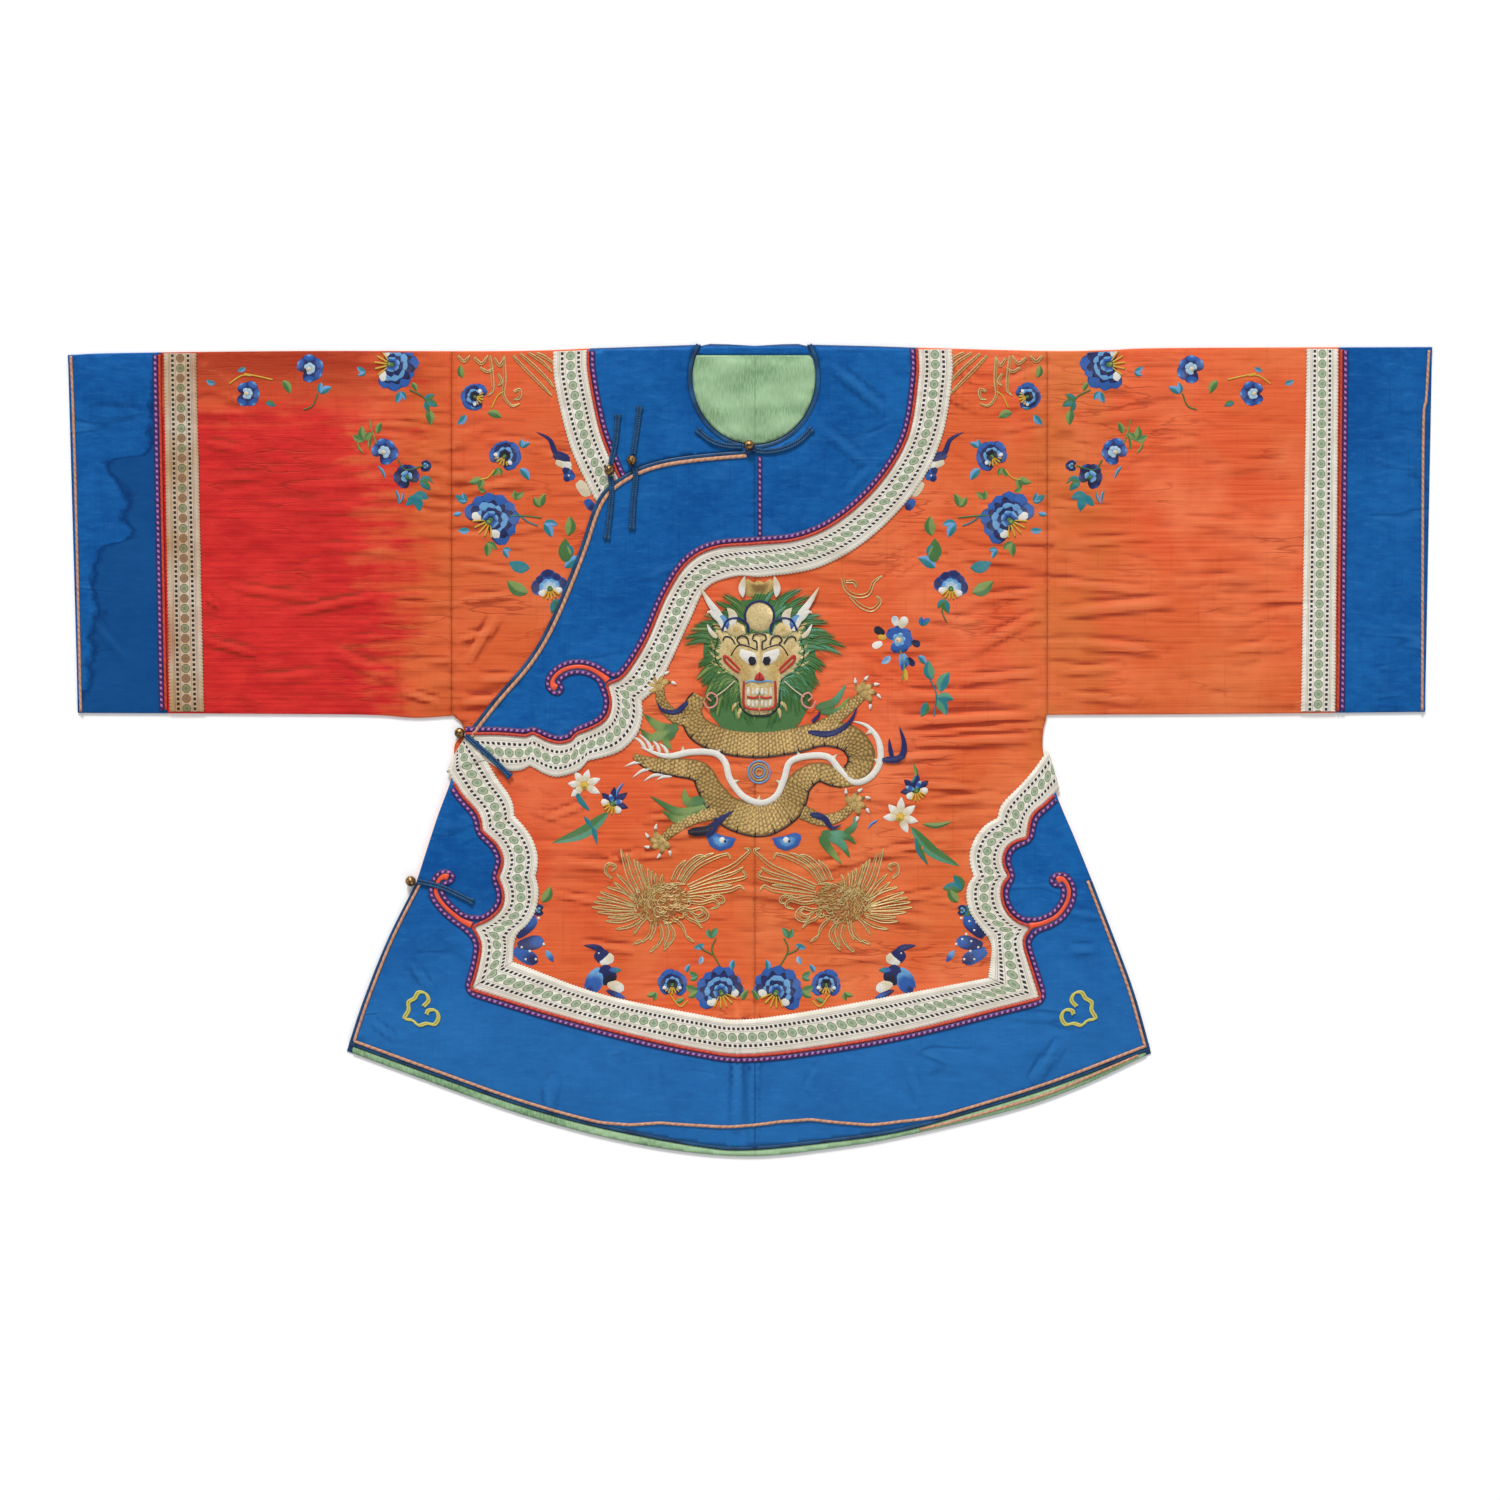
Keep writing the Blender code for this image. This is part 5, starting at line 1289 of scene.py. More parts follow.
def make_tube(name, finish, side, area):
    """A flat tube folded along the shoulder and the underarm."""
    triangles = cut(area, sleeve_area(side))
    mesh = sheet(triangles, top_of)
    top = turn_under(mesh, LINES["shoulder_" + side], 1)
    under = turn_under(mesh, LINES["under_" + side], -1)
    back_face(mesh, top + under[::-1])
    piece = sew(name, mesh, finish, WALL, -1.0)
    width, depth, area = extent_of(triangles)


def make_sleeves():
    """Both sleeves between armhole and cuff seam, and both cuffs beyond it."""
    for side, far, silk, satin in (
        ("right", -800, "crimson_silk", "stained_satin"), ("left", 800, "orange_silk", "blue_satin"),
    ):
        seam, cuff = LINES["sleeve_seam_" + side], LINES["cuff_seam_" + side]
        make_tube("sleeve_" + side, silk, side, seam + cuff[::-1])
        make_tube("cuff_" + side, satin, side, cuff + [at(far, 400), at(far, -40)])


def applique(name, triangles, base=top_of):
    """A piece of satin laid on a panel, made from the panel's own points moved out."""
    mesh = sheet(triangles, lambda plan: base(plan) + SEAM_GAP)
    piece = sew(name, mesh, "blue_satin", APPLIQUE, 1.0)


NECK_RING = LINES["neck_binding"] + [at(57, -40), at(-49, -40)]
SHOULDER = (
    LINES["shoulder_right"][::-1] + [at(-800, 0), at(-800, 999), at(800, 999), at(800, 0)]
    + LINES["shoulder_left"][::-1]
)
TORSO = (
    [at(RIGHT_SLEEVE_SEAM_X, 20), at(LEFT_SLEEVE_SEAM_X, 20)] + LINES["side_left"]
    + LINES["front_hem"][::-1] + LINES["side_right"][::-1]
)
OVERLAP_BINDING_AREA = LINES["overlap_edge"] + LINES["overlap_binding"][::-1]
WITHIN_HEM_BINDING = LINES["hem_binding"] + [at(420, 531), at(420, 100), at(-420, 100), at(-420, 531)]
FRONT_LEFT = (
    [SEAM_TOP, at(CENTRE_SEAM, 20), at(LEFT_SLEEVE_SEAM_X, 20)] + LINES["side_left"]
    + front_hem_between(CENTRE_SEAM, 999)[::-1] + [SEAM_FOOT]
)


def make_yokes():
    """The blue yoke in three pieces: left front, overlap and right shoulder."""
    left = [at(CENTRE_SEAM, -30), at(800, -30), at(800, 999), at(CENTRE_SEAM, 999)]
    right = [at(-800, -30), at(CENTRE_SEAM, -30), at(CENTRE_SEAM, 999), at(-800, 999)]
    applique("yoke_left", cut(YOKE_AREA, left, SHOULDER, without=[NECK_RING]))
    applique("yoke_overlap", cut(YOKE_AREA, OVERLAP_AREA, without=[OVERLAP_BINDING_AREA, NECK_RING]))
    blue = LINES["shoulder_yoke"] + [at(CENTRE_SEAM, 160), at(CENTRE_SEAM, -40)]
    applique("yoke_right", cut(blue, right, SHOULDER, without=[OVERLAP_AREA, NECK_RING]), flap_top)


def make_borders():
    """The blue borders at the hem, up both vents, on either side of the centre seam."""
    applique("border_overlap", cut(OVERLAP_AREA, BELOW_BORDER, WITHIN_HEM_BINDING))
    applique("border_left", cut(FRONT_LEFT, BELOW_BORDER, WITHIN_HEM_BINDING))


def paired(rows_a, rows_b):
    """Two lines in matching stretches, as two arrays of as many points."""
    left, right = [], []
    for a, b in zip(spline(rows_a, 3.0), spline(rows_b, 3.0), strict=True):
        count = max(3, round((length_of(a) + length_of(b)) / 2 / RIBBON_STEP))
        left.append(resample(a, count)[:-1])
        right.append(resample(b, count)[:-1])
    left.append(np.array([at(*rows_a[-1][:2])]))
    right.append(np.array([at(*rows_b[-1][:2])]))
    return np.concatenate(left), np.concatenate(right)


def cut_off(line_a, line_b, area):
    """Keeps the rows whose middle lies in an area."""
    keep = inside(area, (line_a + line_b) / 2)
    return line_a[keep], line_b[keep]


def lay_ribbon(name, left, right, base=top_of, finish="woven_ribbon"):
    """One ribbon between paired lines, with a scalloped edge on both sides."""
    weave, along = Weave(), summed((steps_of(left) + steps_of(right)) / 2)
    v = np.tile(np.linspace(0.0, 1.0, RIBBON_ACROSS), (len(left), 1))
    picot = PICOT * np.abs(np.sin(np.pi * along / PICOT_STEP))
    v[:, -1] += picot
    v[:, 0] -= picot
    lay_strip(weave, left, right, v, base, APPLIQUE, along)
    piece = weave.piece(name, finish, True)


def make_ribbons():
    """The woven ribbons along the yoke, the shoulder, the border and both cuffs."""
    lay_ribbon("ribbon_yoke", *cut_off(*paired(YOKE_RIBBON_EDGE, YOKE_EDGE), SHOULDER))
    edges = cut_off(*paired(SHOULDER_RIBBON_EDGE, SHOULDER_YOKE_EDGE), SHOULDER)
    lay_ribbon("ribbon_shoulder", *edges, flap_top)
    runs = [
        paired(a, b) for a, b in (
            (SIDE_START, MITRE_START), (BORDER_EDGE_RIGHT, RIBBON_EDGE_RIGHT),
            (BORDER_EDGE_HEM, RIBBON_EDGE_HEM), (BORDER_EDGE_LEFT, RIBBON_EDGE_LEFT),
        )
    ]
    lay_ribbon("ribbon_hem", *(np.concatenate(lines) for lines in zip(*runs)))
    for side, finish in (("right", "aged_ribbon"), ("left", "woven_ribbon")):
        edges = cut_off(*paired(*SLEEVE_RIBBONS[side]), sleeve_area(side))
        lay_ribbon("ribbon_sleeve_" + side, *edges, finish=finish)


def lay_binding(name, outer, inner, base=top_of, thickness=BINDING):
    """A rounded binding between paired lines."""
    weave = Weave()
    bulge = np.sqrt(np.maximum(0.0, 1 - (2 * BINDING_ACROSS - 1) ** 2))
    crown = thickness * (BINDING_RIM + (1 - BINDING_RIM) * bulge)
    sides, along = (np.array(outer), np.array(inner)), summed(steps_of(outer))
    lay_strip(weave, *sides, BINDING_ACROSS, base, crown, along)
    weave.piece(name, "dark_binding", True)


def make_bindings():
    """Dark bias bindings round the neck, down the overlap and along the hem."""
    edges = [resample(LINES["overlap_" + name], BINDING_POINTS) for name in ("edge", "binding")]
    lay_binding("binding_overlap", *(line[BINDING_HIDDEN:] for line in edges))
    rims = [neck_curve(outwards, *NECK_ENDS) for outwards in (NECK_OUT, NECK_BINDING_WIDTH)]
    lay_binding("binding_neck", *rims, silk_top)
    vents = vents_of(LINES)
    outer = np.array(vents[0][:-1] + LINES["front_hem"] + vents[1][:-1][::-1])
    inner = np.array(LINES["hem_binding"])
    middles = (outer + inner) / 2
    along = summed(steps_of(middles))
    seam, gap = float(np.interp(CENTRE_SEAM, middles[:, 0], along)), SEAM_GAP / 2
    for name, low, high in (("overlap", 0.0, seam - gap), ("left", seam + gap, along[-1])):
        spots = np.linspace(low, high, round((high - low) / HEM_STEP))
        lines = [points_at(line, along, spots) for line in (outer, inner)]
        lay_binding("binding_hem_" + name, *lines, thickness=APPLIQUE)


# Steps of the lining's rim and grid, the room between the two, and the run of its folds
RIM_STEP, LINING_GRID, LINING_CLEAR, LINING_RUN = 4.0, 3.0, 1.6, 9.0


def lining_sheet(name, ring, finish, soft):
    """A thin creased piece on the back's inner side, inside the neck or along the hem."""
    count = max(24, round(length_of(ring) / RIM_STEP))
    edge = [tuple(p) for p in resample(ring + ring[:1], count)[:-1]]
    rim = edge + edge[:1]
    low, high = np.min(edge, axis=0), np.max(edge, axis=0)
    grid = np.meshgrid(*(np.arange(low[k], high[k], LINING_GRID) for k in (0, 1)))
    grid = np.stack(grid, axis=-1).reshape(-1, 2)
    grid = grid[inside(edge, grid)]
    points = edge + [tuple(p) for p in grid[distance_to(rim, grid) > LINING_CLEAR]]
    loop = [(k, (k + 1) % len(edge)) for k in range(len(edge))]
    places, _, faces, *_ = delaunay_2d_cdt([Vector(p) for p in points], loop, [], 1, 1e-4)
    plan = np.array([p[:] for p in places])
    within, (x, y) = smooth(distance_to(rim, plan) / LINING_RUN), plan.T
    slant = plan @ np.array([0.80, 0.60])
    folds = soft * (0.5 + 0.5 * np.sin(slant / 5.5 + 1.2 * uneven(x / 30, y / 30, 11)))
    folds += 0.5 * soft * uneven(x / 14, y / 14, 12)
    heights = WALL + SEAM_GAP + LINING + within * np.maximum(folds, -0.3)
    mesh = bmesh.new()
    corners = [mesh.verts.new((p[0], p[1], h)) for p, h in zip(plan, heights)]
    for face in faces:
        made = mesh.faces.new([corners[i] for i in face])
        made.normal_update()
        if made.normal.z < 0:
            made.normal_flip()
    return sew(name, mesh, finish, LINING, -1.0), edge


def rim_place(rim, y):
    """Where a line that runs downwards first reaches a height in plan."""
    for a, b in zip(rim, rim[1:]):
        if a[1] >= y > b[1]:
            t = (a[1] - y) / (a[1] - b[1])
            return (a[0] + (b[0] - a[0]) * t, y)
    raise ValueError("the line does not reach that height")


def make_linings():
    """The green lining where it shows, and the band inside the back neck."""
    rim = offset(LINES["neck"], LINING_INSET)
    band_y = rim[0][1] - NECK_BAND_WIDTH
    patch_y = band_y - SEAM_GAP
    patch = [rim_place(rim, patch_y)] + [p for p in rim if p[1] < patch_y]
    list(lining_sheet("lining_neck", patch + [rim_place(rim[::-1], patch_y)], "green_lining", 1.7))
    band = [rim[0], rim_place(rim, band_y), rim_place(rim[::-1], band_y), rim[-1]]
    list(lining_sheet("band_back_neck", band, "blue_satin", 0.15))
    upper = offset(LINES["front_hem"], -LINING_INSET)[1:-1]
    lower = [p for p in offset(BACK_HEM_LINE, 0.2) if upper[0][0] - 2 < p[0] < upper[-1][0] + 2]
    lining_sheet("lining_hem", upper + lower[::-1], "green_lining", 0.1)


# The parts of the silk that the blue satin and the ribbons lie over
COVERED = [
    curve(YOKE_RIBBON_EDGE) + LINES["overlap_edge"][::-1] + [SEAM_TOP, at(CENTRE_SEAM, -40), at(201, -40)],
    curve(SHOULDER_RIBBON_EDGE) + [at(CENTRE_SEAM, 100), at(CENTRE_SEAM, -40), at(-196, -40)],
    curve(MITRE_START)[:-1] + curve(RIBBON_EDGE_RIGHT) + curve(RIBBON_EDGE_HEM)[1:]
    + curve(RIBBON_EDGE_LEFT)[1:] + [at(600, 400), at(600, 999), at(-600, 999), at(-600, 400)],
]


def shown(x, drop, mirrored):
    """Whether a stitch there would be seen on the silk."""
    place = np.array([at(-x if mirrored else x, drop)])
    return not any(inside(area, place)[0] for area in COVERED)


def over_satin(base):
    """The face of the satin and the ribbons that lie on a face of silk."""
    return lambda places: base(places) + ON_TOP


def trimmed(line, area, inset=0.0):
    """A line at an even step, where it is within an area."""
    line = even(line, TRIM_STEP)
    return line[inside(area, line) & (distance_to(area + area[:1], line) > inset)]


def lay_cord(weave, line, radius, base, flatten):
    """A cord sunk a little into what it lies on."""
    line = even(line, CORD_STEP)
    tube_along(weave, line, radius, base(line) + radius * flatten * CORD_SHARE, 6, flatten)


def lay_flat(weave, line, radii, base, sides=8):
    """A flat braid or strip on a face."""
    tube_along(weave, line, radii, base(line) + BRAID_RISE, sides, BRAID_FLAT)


def make_edging():
    """Pipings and dashed braids along the seams between ribbons, satin and silk."""
    red, peach, braid = Weave(), Weave(), Weave()
    level, border = over_satin(top_of), curve(SIDE_START)[:1] + BORDER_LINE
    for line, side, base, area, inset in (
        (curve(YOKE_EDGE), -1, level, SHOULDER, 0.0), (border, -1, level, TORSO, 2.0),
        (LINES["shoulder_yoke"], 1, over_satin(flap_top), SHOULDER, 0.0),
        (LINES["cuff_seam_right"], -1, top_of, sleeve_area("right"), 0.0),
        (LINES["cuff_seam_left"], 1, top_of, sleeve_area("left"), 0.0),
    ):
        beside = trimmed(offset(line, side * RED_OFF), area, inset)
        lay_cord(red, beside, RED_PIPING, base, RED_FLAT)
        middle = offset(even(line, BRAID_STEP), side * BRAID_OFF)
        for name, corner in SCROLL_CORNERS.items():
            if min(math.dist(at(*corner), p) for p in line) < CORNER_REACH:
                middle = around(middle, corner, SCROLLS[name], side)
        lay_flat(braid, trimmed(middle, area, inset), BRAID, base)
    lay_flat(braid, even([at(*place) for place in CENTRE_BRAID], TRIM_STEP), CENTRE_BRAID_HALF, level)

    def lay_peach(line, part, base):
        radius, flatten = PEACH[part]
        lay_cord(peach, line, radius, base, flatten)

    inner = offset(LINES["overlap_edge"], OVERLAP_BINDING_WIDTH + OVERLAP_OFF)
    lay_peach(even(inner, TRIM_STEP)[PEACH_HIDDEN:], "overlap", level)
    hem = np.array(offset(even(LINES["hem_binding"], HEM_LINE_STEP), HEM_OFF))
    hem[:, 1] += np.where(hem[:, 1] < SHOULDER_Y - HEM_DROP, np.interp(hem[:, 0], *HEM_RISE), 0.0)
    lay_peach(hem, "hem", level)
    for side, shift in (("right", CUFF_OFF), ("left", -CUFF_OFF)):
        line = [(x + shift, y) for x, y in LINES["cuff_end_" + side]]
        lay_peach(trimmed(line, SHOULDER), "cuff", top_of)
    behind, (radius, flatten) = even(curve(BACK_PIPING, HEM_LINE_STEP), TRIM_STEP), PEACH["back"]
    heights = np.full(len(behind), WALL + SEAM_GAP + LINING + BACK_RISE)
    tube_along(peach, behind, radius, heights, 6, flatten)
    red.piece("piping_red", "red_piping")
    peach.piece("piping_peach", "peach_piping")
    braid.piece("braid_dashed", "edge_braid")


# A strap's two cords: their radius, half the distance between them, and their flatness, then those
# of its core, and the spot and the run of the flare at its tip
CORD, CORD_APART, CORD_FLAT, CORE, CORE_FLAT = 1.35, 1.45, 0.72, 1.0, 0.6
FLARE, FLARE_SPOT, FLARE_RUN = 0.35, 1.5, 2.5
# A strap's step along, the gap under it, how high its cords' middles lie, and how much lower its core
STRAP_STEP, STRAP_GAP, CORD_RISE, CORE_SINK = 1.2, 0.5, 1.3, 0.3


def make_frogs():
    """Doubled cord straps with a flared tip, and gilt ball buttons in their loops."""
    for name, lifted, rows in STRAPS:
        weave, line = Weave(), curve(rows, 3.0)
        middle = resample(line, max(12, round(length_of(line) / STRAP_STEP)))
        if name not in TIP_FIRST:
            middle = middle[::-1]
        from_tip = np.linspace(0.0, length_of(middle), len(middle))
        flare = 1.0 + FLARE * np.exp(-((from_tip - FLARE_SPOT) / FLARE_RUN) ** 2)
        base = top_of(middle, lifted) + ON_TOP + STRAP_GAP + CORD_RISE
        for spread in (CORD_APART, -CORD_APART):
            apart = left_of(middle) * (spread * flare)[:, None]
            tube_along(weave, middle + apart, CORD * flare, base, 8, CORD_FLAT)
        tube_along(weave, middle, CORE, base - CORE_SINK, 6, CORE_FLAT)
        weave.piece("strap_" + name, "frog_cord", True)
    for name, x, drop, height in BUTTONS:
        make_button(name, at(x, drop), height)


def make_button(name, place, height):
    """A gilt ball with an embossed blossom on top and a beaded girdle round its middle."""
    turns, rows = 48, 26
    polar = np.linspace(0.02, math.pi - 0.02, rows)[:, None]
    round_it = np.linspace(0.0, 2 * math.pi, turns, endpoint=False)[None, :]
    lobes = 0.5 + 0.5 * np.cos(5 * round_it)
    near = polar / (math.pi / 2)
    petal_ring = np.exp(-((near - 0.42 - 0.12 * lobes) / 0.10) ** 2)
    centre = np.exp(-((near / 0.16) ** 2))
    girdle = np.exp(-((near - 1.0) / 0.07) ** 2) * (0.6 + 0.4 * np.cos(24 * round_it))
    carved = 0.055 * petal_ring * (0.5 + 0.5 * lobes) + 0.05 * centre + 0.045 * girdle
    reach = BUTTON_RADIUS * (0.93 + carved)
    x = reach * np.sin(polar) * np.cos(round_it) + place[0]
    y = reach * np.sin(polar) * np.sin(round_it) + place[1]
    z = reach * np.cos(polar) + height
    weave = Weave()
    weave.grid(np.stack(np.broadcast_arrays(x, y, z), axis=-1), closed=True, capped=True)
    weave.piece("button_" + name, "gilt_brass", True)


# Embroidery threads, each by the letter that the shades of the motifs below are written in
THREADS = {
    "K": tone(20, 20, 40), "N": tone(28, 38, 98), "B": tone(42, 94, 174), "S": tone(108, 166, 216),
    "P": tone(176, 206, 226), "W": tone(240, 236, 226), "C": tone(226, 212, 180),
    "O": tone(232, 152, 140), "R": tone(196, 52, 44), "T": tone(34, 128, 138),
    "G": tone(72, 120, 62), "L": tone(132, 156, 84), "J": tone(92, 156, 122),
    "Y": tone(224, 178, 60), "A": tone(212, 178, 108), "D": tone(140, 108, 56),
    "H": tone(230, 206, 148), "E": tone(214, 206, 100), "Q": tone(196, 124, 66),
}
PETAL, LEAF, LOCK, FIN = "petal", "leaf", "lock", "fin"
# Rows and columns of a blade, points across a laid thread, and the step along it
BLADE_ROWS, BLADE_COLUMNS, THREAD_STEP = 11, 7, 1.6
THREAD_ACROSS = np.array([-1.0, -0.6, 0.0, 0.6, 1.0])


class Needle(Weave):
    """Stitches gathered in plan and laid on the silk together."""

    def __init__(self, mirrored=False):
        super().__init__()
        self.mirrored, self.over = mirrored, []

    def stitch(self, x, drop, over, along, across, colours, closed=False):
        """Adds rows and columns of stitch points."""
        x = -np.asarray(x) if self.mirrored else np.asarray(x)
        top = np.interp(x, *SHOULDER_TOP)
        y = np.minimum(SHOULDER_Y - drop, top - 0.6)
        points = np.stack(np.broadcast_arrays(x, y, 0.0), axis=-1)
        if self.mirrored:
            points, over, colours = points[:, ::-1], over[:, ::-1], colours[:, ::-1]
        spans = np.stack(np.broadcast_arrays(along, across), axis=-1) * METRE
        self.grid(points, spans, colours, closed=closed)
        self.over.append(np.broadcast_to(over, points.shape[:2]).ravel())

    def run(self, line, reach, over, along, colours, across=None):
        """Works rows of stitches that reach out to both sides of a line in plan."""
        plan = line[:, None] + left_of(line)[:, None] * reach[..., None]
        across = reach if across is None else across
        self.stitch(plan[..., 0], SHOULDER_Y - plan[..., 1], over, along, across, colours)

    def lay(self, name, finish):
        """Sets the stitches down on the cloth as one piece."""
        points = np.concatenate(self.points)
        points[:, 2] = silk_top(points[:, :2]) + np.concatenate(self.over)
        self.points = [points]
        self.piece(name, finish)


SHOULDER_TOP = np.array(sorted(LINES["shoulder_right"] + LINES["shoulder_left"])).T


def shade_of(shades, share_along):
    """The thread colour at a share of the way through a string of shades."""
    table = np.array([THREADS[letter][:3] for letter in shades])
    spot = np.clip(share_along, 0.0, 1.0) * (len(shades) - 1)
    low = np.minimum(spot.astype(int), len(shades) - 1)
    high = np.minimum(low + 1, len(shades) - 1)
    blend = smooth((spot - low - 0.3) / 0.4)[..., None]
    return table[low] * (1 - blend) + table[high] * blend


def blade(needle, rows, width, shades, kind=PETAL, height=0.6, level=0.1, split=False):
    """A satin-stitched petal, leaf, lock or fin along an axis, shaded from its base to its rim."""
    line = resample(curve(rows, 2.0), BLADE_ROWS)
    t = np.linspace(0.0, 1.0, BLADE_ROWS)[:, None]
    b = np.linspace(-1.0, 1.0, BLADE_COLUMNS)[None, :]
    profile = {
        PETAL: np.sqrt(np.maximum(0.0, 1 - ((t - 0.62) / np.where(t < 0.62, 0.72, 0.381)) ** 2)),
        LEAF: np.sin(np.pi * t**0.85) ** 0.85,
        LOCK: (1 - t) ** 0.55 * (0.75 + 0.25 * np.sin(np.pi * t)) * np.minimum(1.0, 0.2 + 6 * t) ** 0.5,
        FIN: (1 - t) ** 0.9,
    }[kind]
    reach = profile * b * width / 2
    over = level + height * (1 - b**2) * np.minimum(1.0, 3.2 * np.minimum(t + 0.12, 1.02 - t)) ** 0.6
    rim = t * (1 - 0.45 * b**2) if kind == PETAL else np.broadcast_to(t, over.shape)
    if split:
        rim = np.where(b > 0, 1.0, 0.0) * np.ones_like(t)
    length = abs(rows[-1][0] - rows[0][0]) + 1.0
    needle.run(line, reach, over, t * length, shade_of(shades, rim))


def patch(needle, rows, shades, height=0.8, level=0.15, centre=None, rings=6):
    """A filled shape, domed from its outline to its middle."""
    outline = np.array([(row[0], row[1]) for row in rows], dtype=float)
    outline = resample(np.concatenate([outline, outline[:1]]), max(14, len(rows) * 3))[:-1]
    middle = np.array(centre) if centre else outline.mean(axis=0)
    r = np.linspace(1.0, 0.02, rings)[:, None]
    plan = middle + (outline - middle)[None] * r[..., None]
    over = level + height * np.sqrt(np.maximum(0.0, 1 - r**2)) * np.ones((1, len(outline)))
    across = plan[..., 0] * 0.8 + plan[..., 1] * 0.6
    colours = shade_of(shades, np.broadcast_to(1 - r, over.shape))
    needle.stitch(plan[..., 0], plan[..., 1], over, r * 5, across, colours, closed=True)


def ring_of(place, across, down, turns):
    """Places round a middle, one at each turn in radians."""
    return [(place[0] + across * math.cos(a), place[1] + down * math.sin(a)) for a in turns]


def dot(needle, x, drop, radius, shade, height=0.9):
    """A knot."""
    rows = ring_of((x, drop), radius, radius, np.linspace(0, 2 * math.pi, 8, endpoint=False))
    patch(needle, rows, shade * 2, height, rings=4)


def thread(needle, rows, width, shade, level=0.2):
    """A laid thread along a smooth line."""
    line, b = np.array(curve(rows, THREAD_STEP)), THREAD_ACROSS[None, :]
    reach = np.broadcast_to(b * width / 2, (len(line), len(THREAD_ACROSS)))
    over = level + 0.55 * width * np.sqrt(1 - b**2 * 0.98) * np.ones((len(line), 1))
    along = np.arange(len(line))[:, None] * THREAD_STEP
    needle.run(line, reach, over, along, shade_of(shade * 2, np.zeros(over.shape)))


def towards(x, drop, angle, distance):
    """The place that lies some way off, with the angle up from the x axis."""
    turn = math.radians(angle)
    return (x + distance * math.cos(turn), drop - distance * math.sin(turn))


# Flower heads: half the spread of the fan in degrees, then rings of petals (count, reach, shades)
HEADS = {
    "peony": (120, (
        (8, 1.0, "KNBB"), (7, 0.82, "KKNK"), (7, 0.66, "NBSS"), (5, 0.49, "KKNK"), (4, 0.34, "NBSS"),
    )),
    "rose": (140, ((6, 1.0, "KNBB"), (6, 0.80, "KKNK"), (5, 0.60, "NBSS"), (3, 0.40, "KKN"))),
    "blossom": (150, ((5, 1.0, "KNBS"), (5, 0.5, "SPP"))),
    "violet": (150, ((5, 1.0, "KKNB"), (3, 0.5, "BSP"))),
    "plum": (150, ((6, 1.0, "SBBN"), (5, 0.5, "YSP"))),
    "orchid": (100, ((5, 1.0, "BBNN"), (4, 0.62, "WPSB"))),
    "iris": (100, ((4, 1.0, "KNNK"), (2, 0.6, "SBP"))),
    "lily": (150, ((6, 1.0, "YCWW"),)),
}


# Heads whose petals are wide apart or narrow, two shades of each heart, and the width of a wide fan
OPEN_HEADS, NARROW_HEADS, WIDE_FAN = ("blossom", "violet", "plum"), ("lily", "iris"), 145
HEARTS = {"plum": "CO", "blossom": "CC", "violet": "GG", "lily": "YL"}


def flower(needle, chance, kind, x, drop, size, turn):
    """A flower head whose rings of petals fan out from its heart."""
    spread, rings = HEADS[kind]
    shape = LEAF if kind in NARROW_HEADS else PETAL
    for level, (count, reach, shades) in enumerate(rings):
        step = 2 * spread / count
        for k in range(count):
            angle = turn - spread + step * (k + 0.5) + chance.uniform(-4, 4)
            length = size * reach * chance.uniform(0.9, 1.06)
            tip = towards(x, drop, angle, length)
            start = towards(x, drop, angle, size * 0.08)
            full = 1.75 if kind in OPEN_HEADS else 2.3
            width = min(size, full * length * math.tan(math.radians(min(step, 84) / 2)))
            if shape == LEAF:
                width = size * 0.42
            blade(needle, [start, tip], width, shades, shape, 0.7 + 0.12 * level, 0.12 + 0.22 * level)
    outer, inner = HEARTS.get(kind, "GL")
    wide = size * (0.2 if spread < WIDE_FAN else 0.24)
    dot(needle, *towards(x, drop, turn + 180, size * 0.04), wide, outer, 1.6)
    dot(needle, *towards(x, drop, turn + 180, size * 0.10), size * 0.1, inner, 2.0)
    if spread < WIDE_FAN:
        for k in range(5):
            angle = turn + 180 + (k - 2) * 22
            end = towards(x, drop, angle, size * 0.62)
            thread(needle, [towards(x, drop, angle, size * 0.2), end], 1.8, "Y", 0.5)
            dot(needle, *end, 1.1, "YL"[k % 2])
        for side in (-1, 1):
            lobe = turn + 180 + side * 66
            ends = [towards(x, drop, lobe, size * 0.24), towards(x, drop, lobe, size * 0.72)]
            blade(needle, ends, size * 0.38, "CWW", PETAL, 1.0, 0.5)


def leaf(needle, x, drop, size, turn, shades, width=0.55):
    """One pointed leaf with a paler half."""
    rows = [(x, drop), towards(x, drop, turn + 10, size * 0.5), towards(x, drop, turn, size)]
    blade(needle, rows, size * width, shades, LEAF, split=True)


# Flowers of the wearer's right side, mirrored on the left but for those that name their one side.
# Columns: head, x, drop, size, turn, and the one side
FLOWERS = [
    ("lily", -165, 435, 18, 100, "right"), ("iris", -138, 453, 17, 60, "right"),
    ("lily", -149, 467, 19, 120, "left"), ("iris", -167, 440, 17, 70, "left"),
    ("peony", -357, 15, 27, -8), ("blossom", -502, 44, 13, 0), ("blossom", -442, 19, 14, 30),
    ("blossom", -364, 102, 14, 50), ("violet", -341, 127, 13, 120), ("violet", -323, 116, 6, 0),
    ("rose", -277, 47, 14, 160), ("rose", -243, 106, 16, 60), ("peony", -258, 170, 28, 48),
    ("orchid", -199, 238, 18, 100), ("plum", 148, 290, 15, 15), ("peony", -28, 641, 26, 112),
    ("rose", -78, 634, 15, 90), ("violet", 211, 560, 6, 0),
]
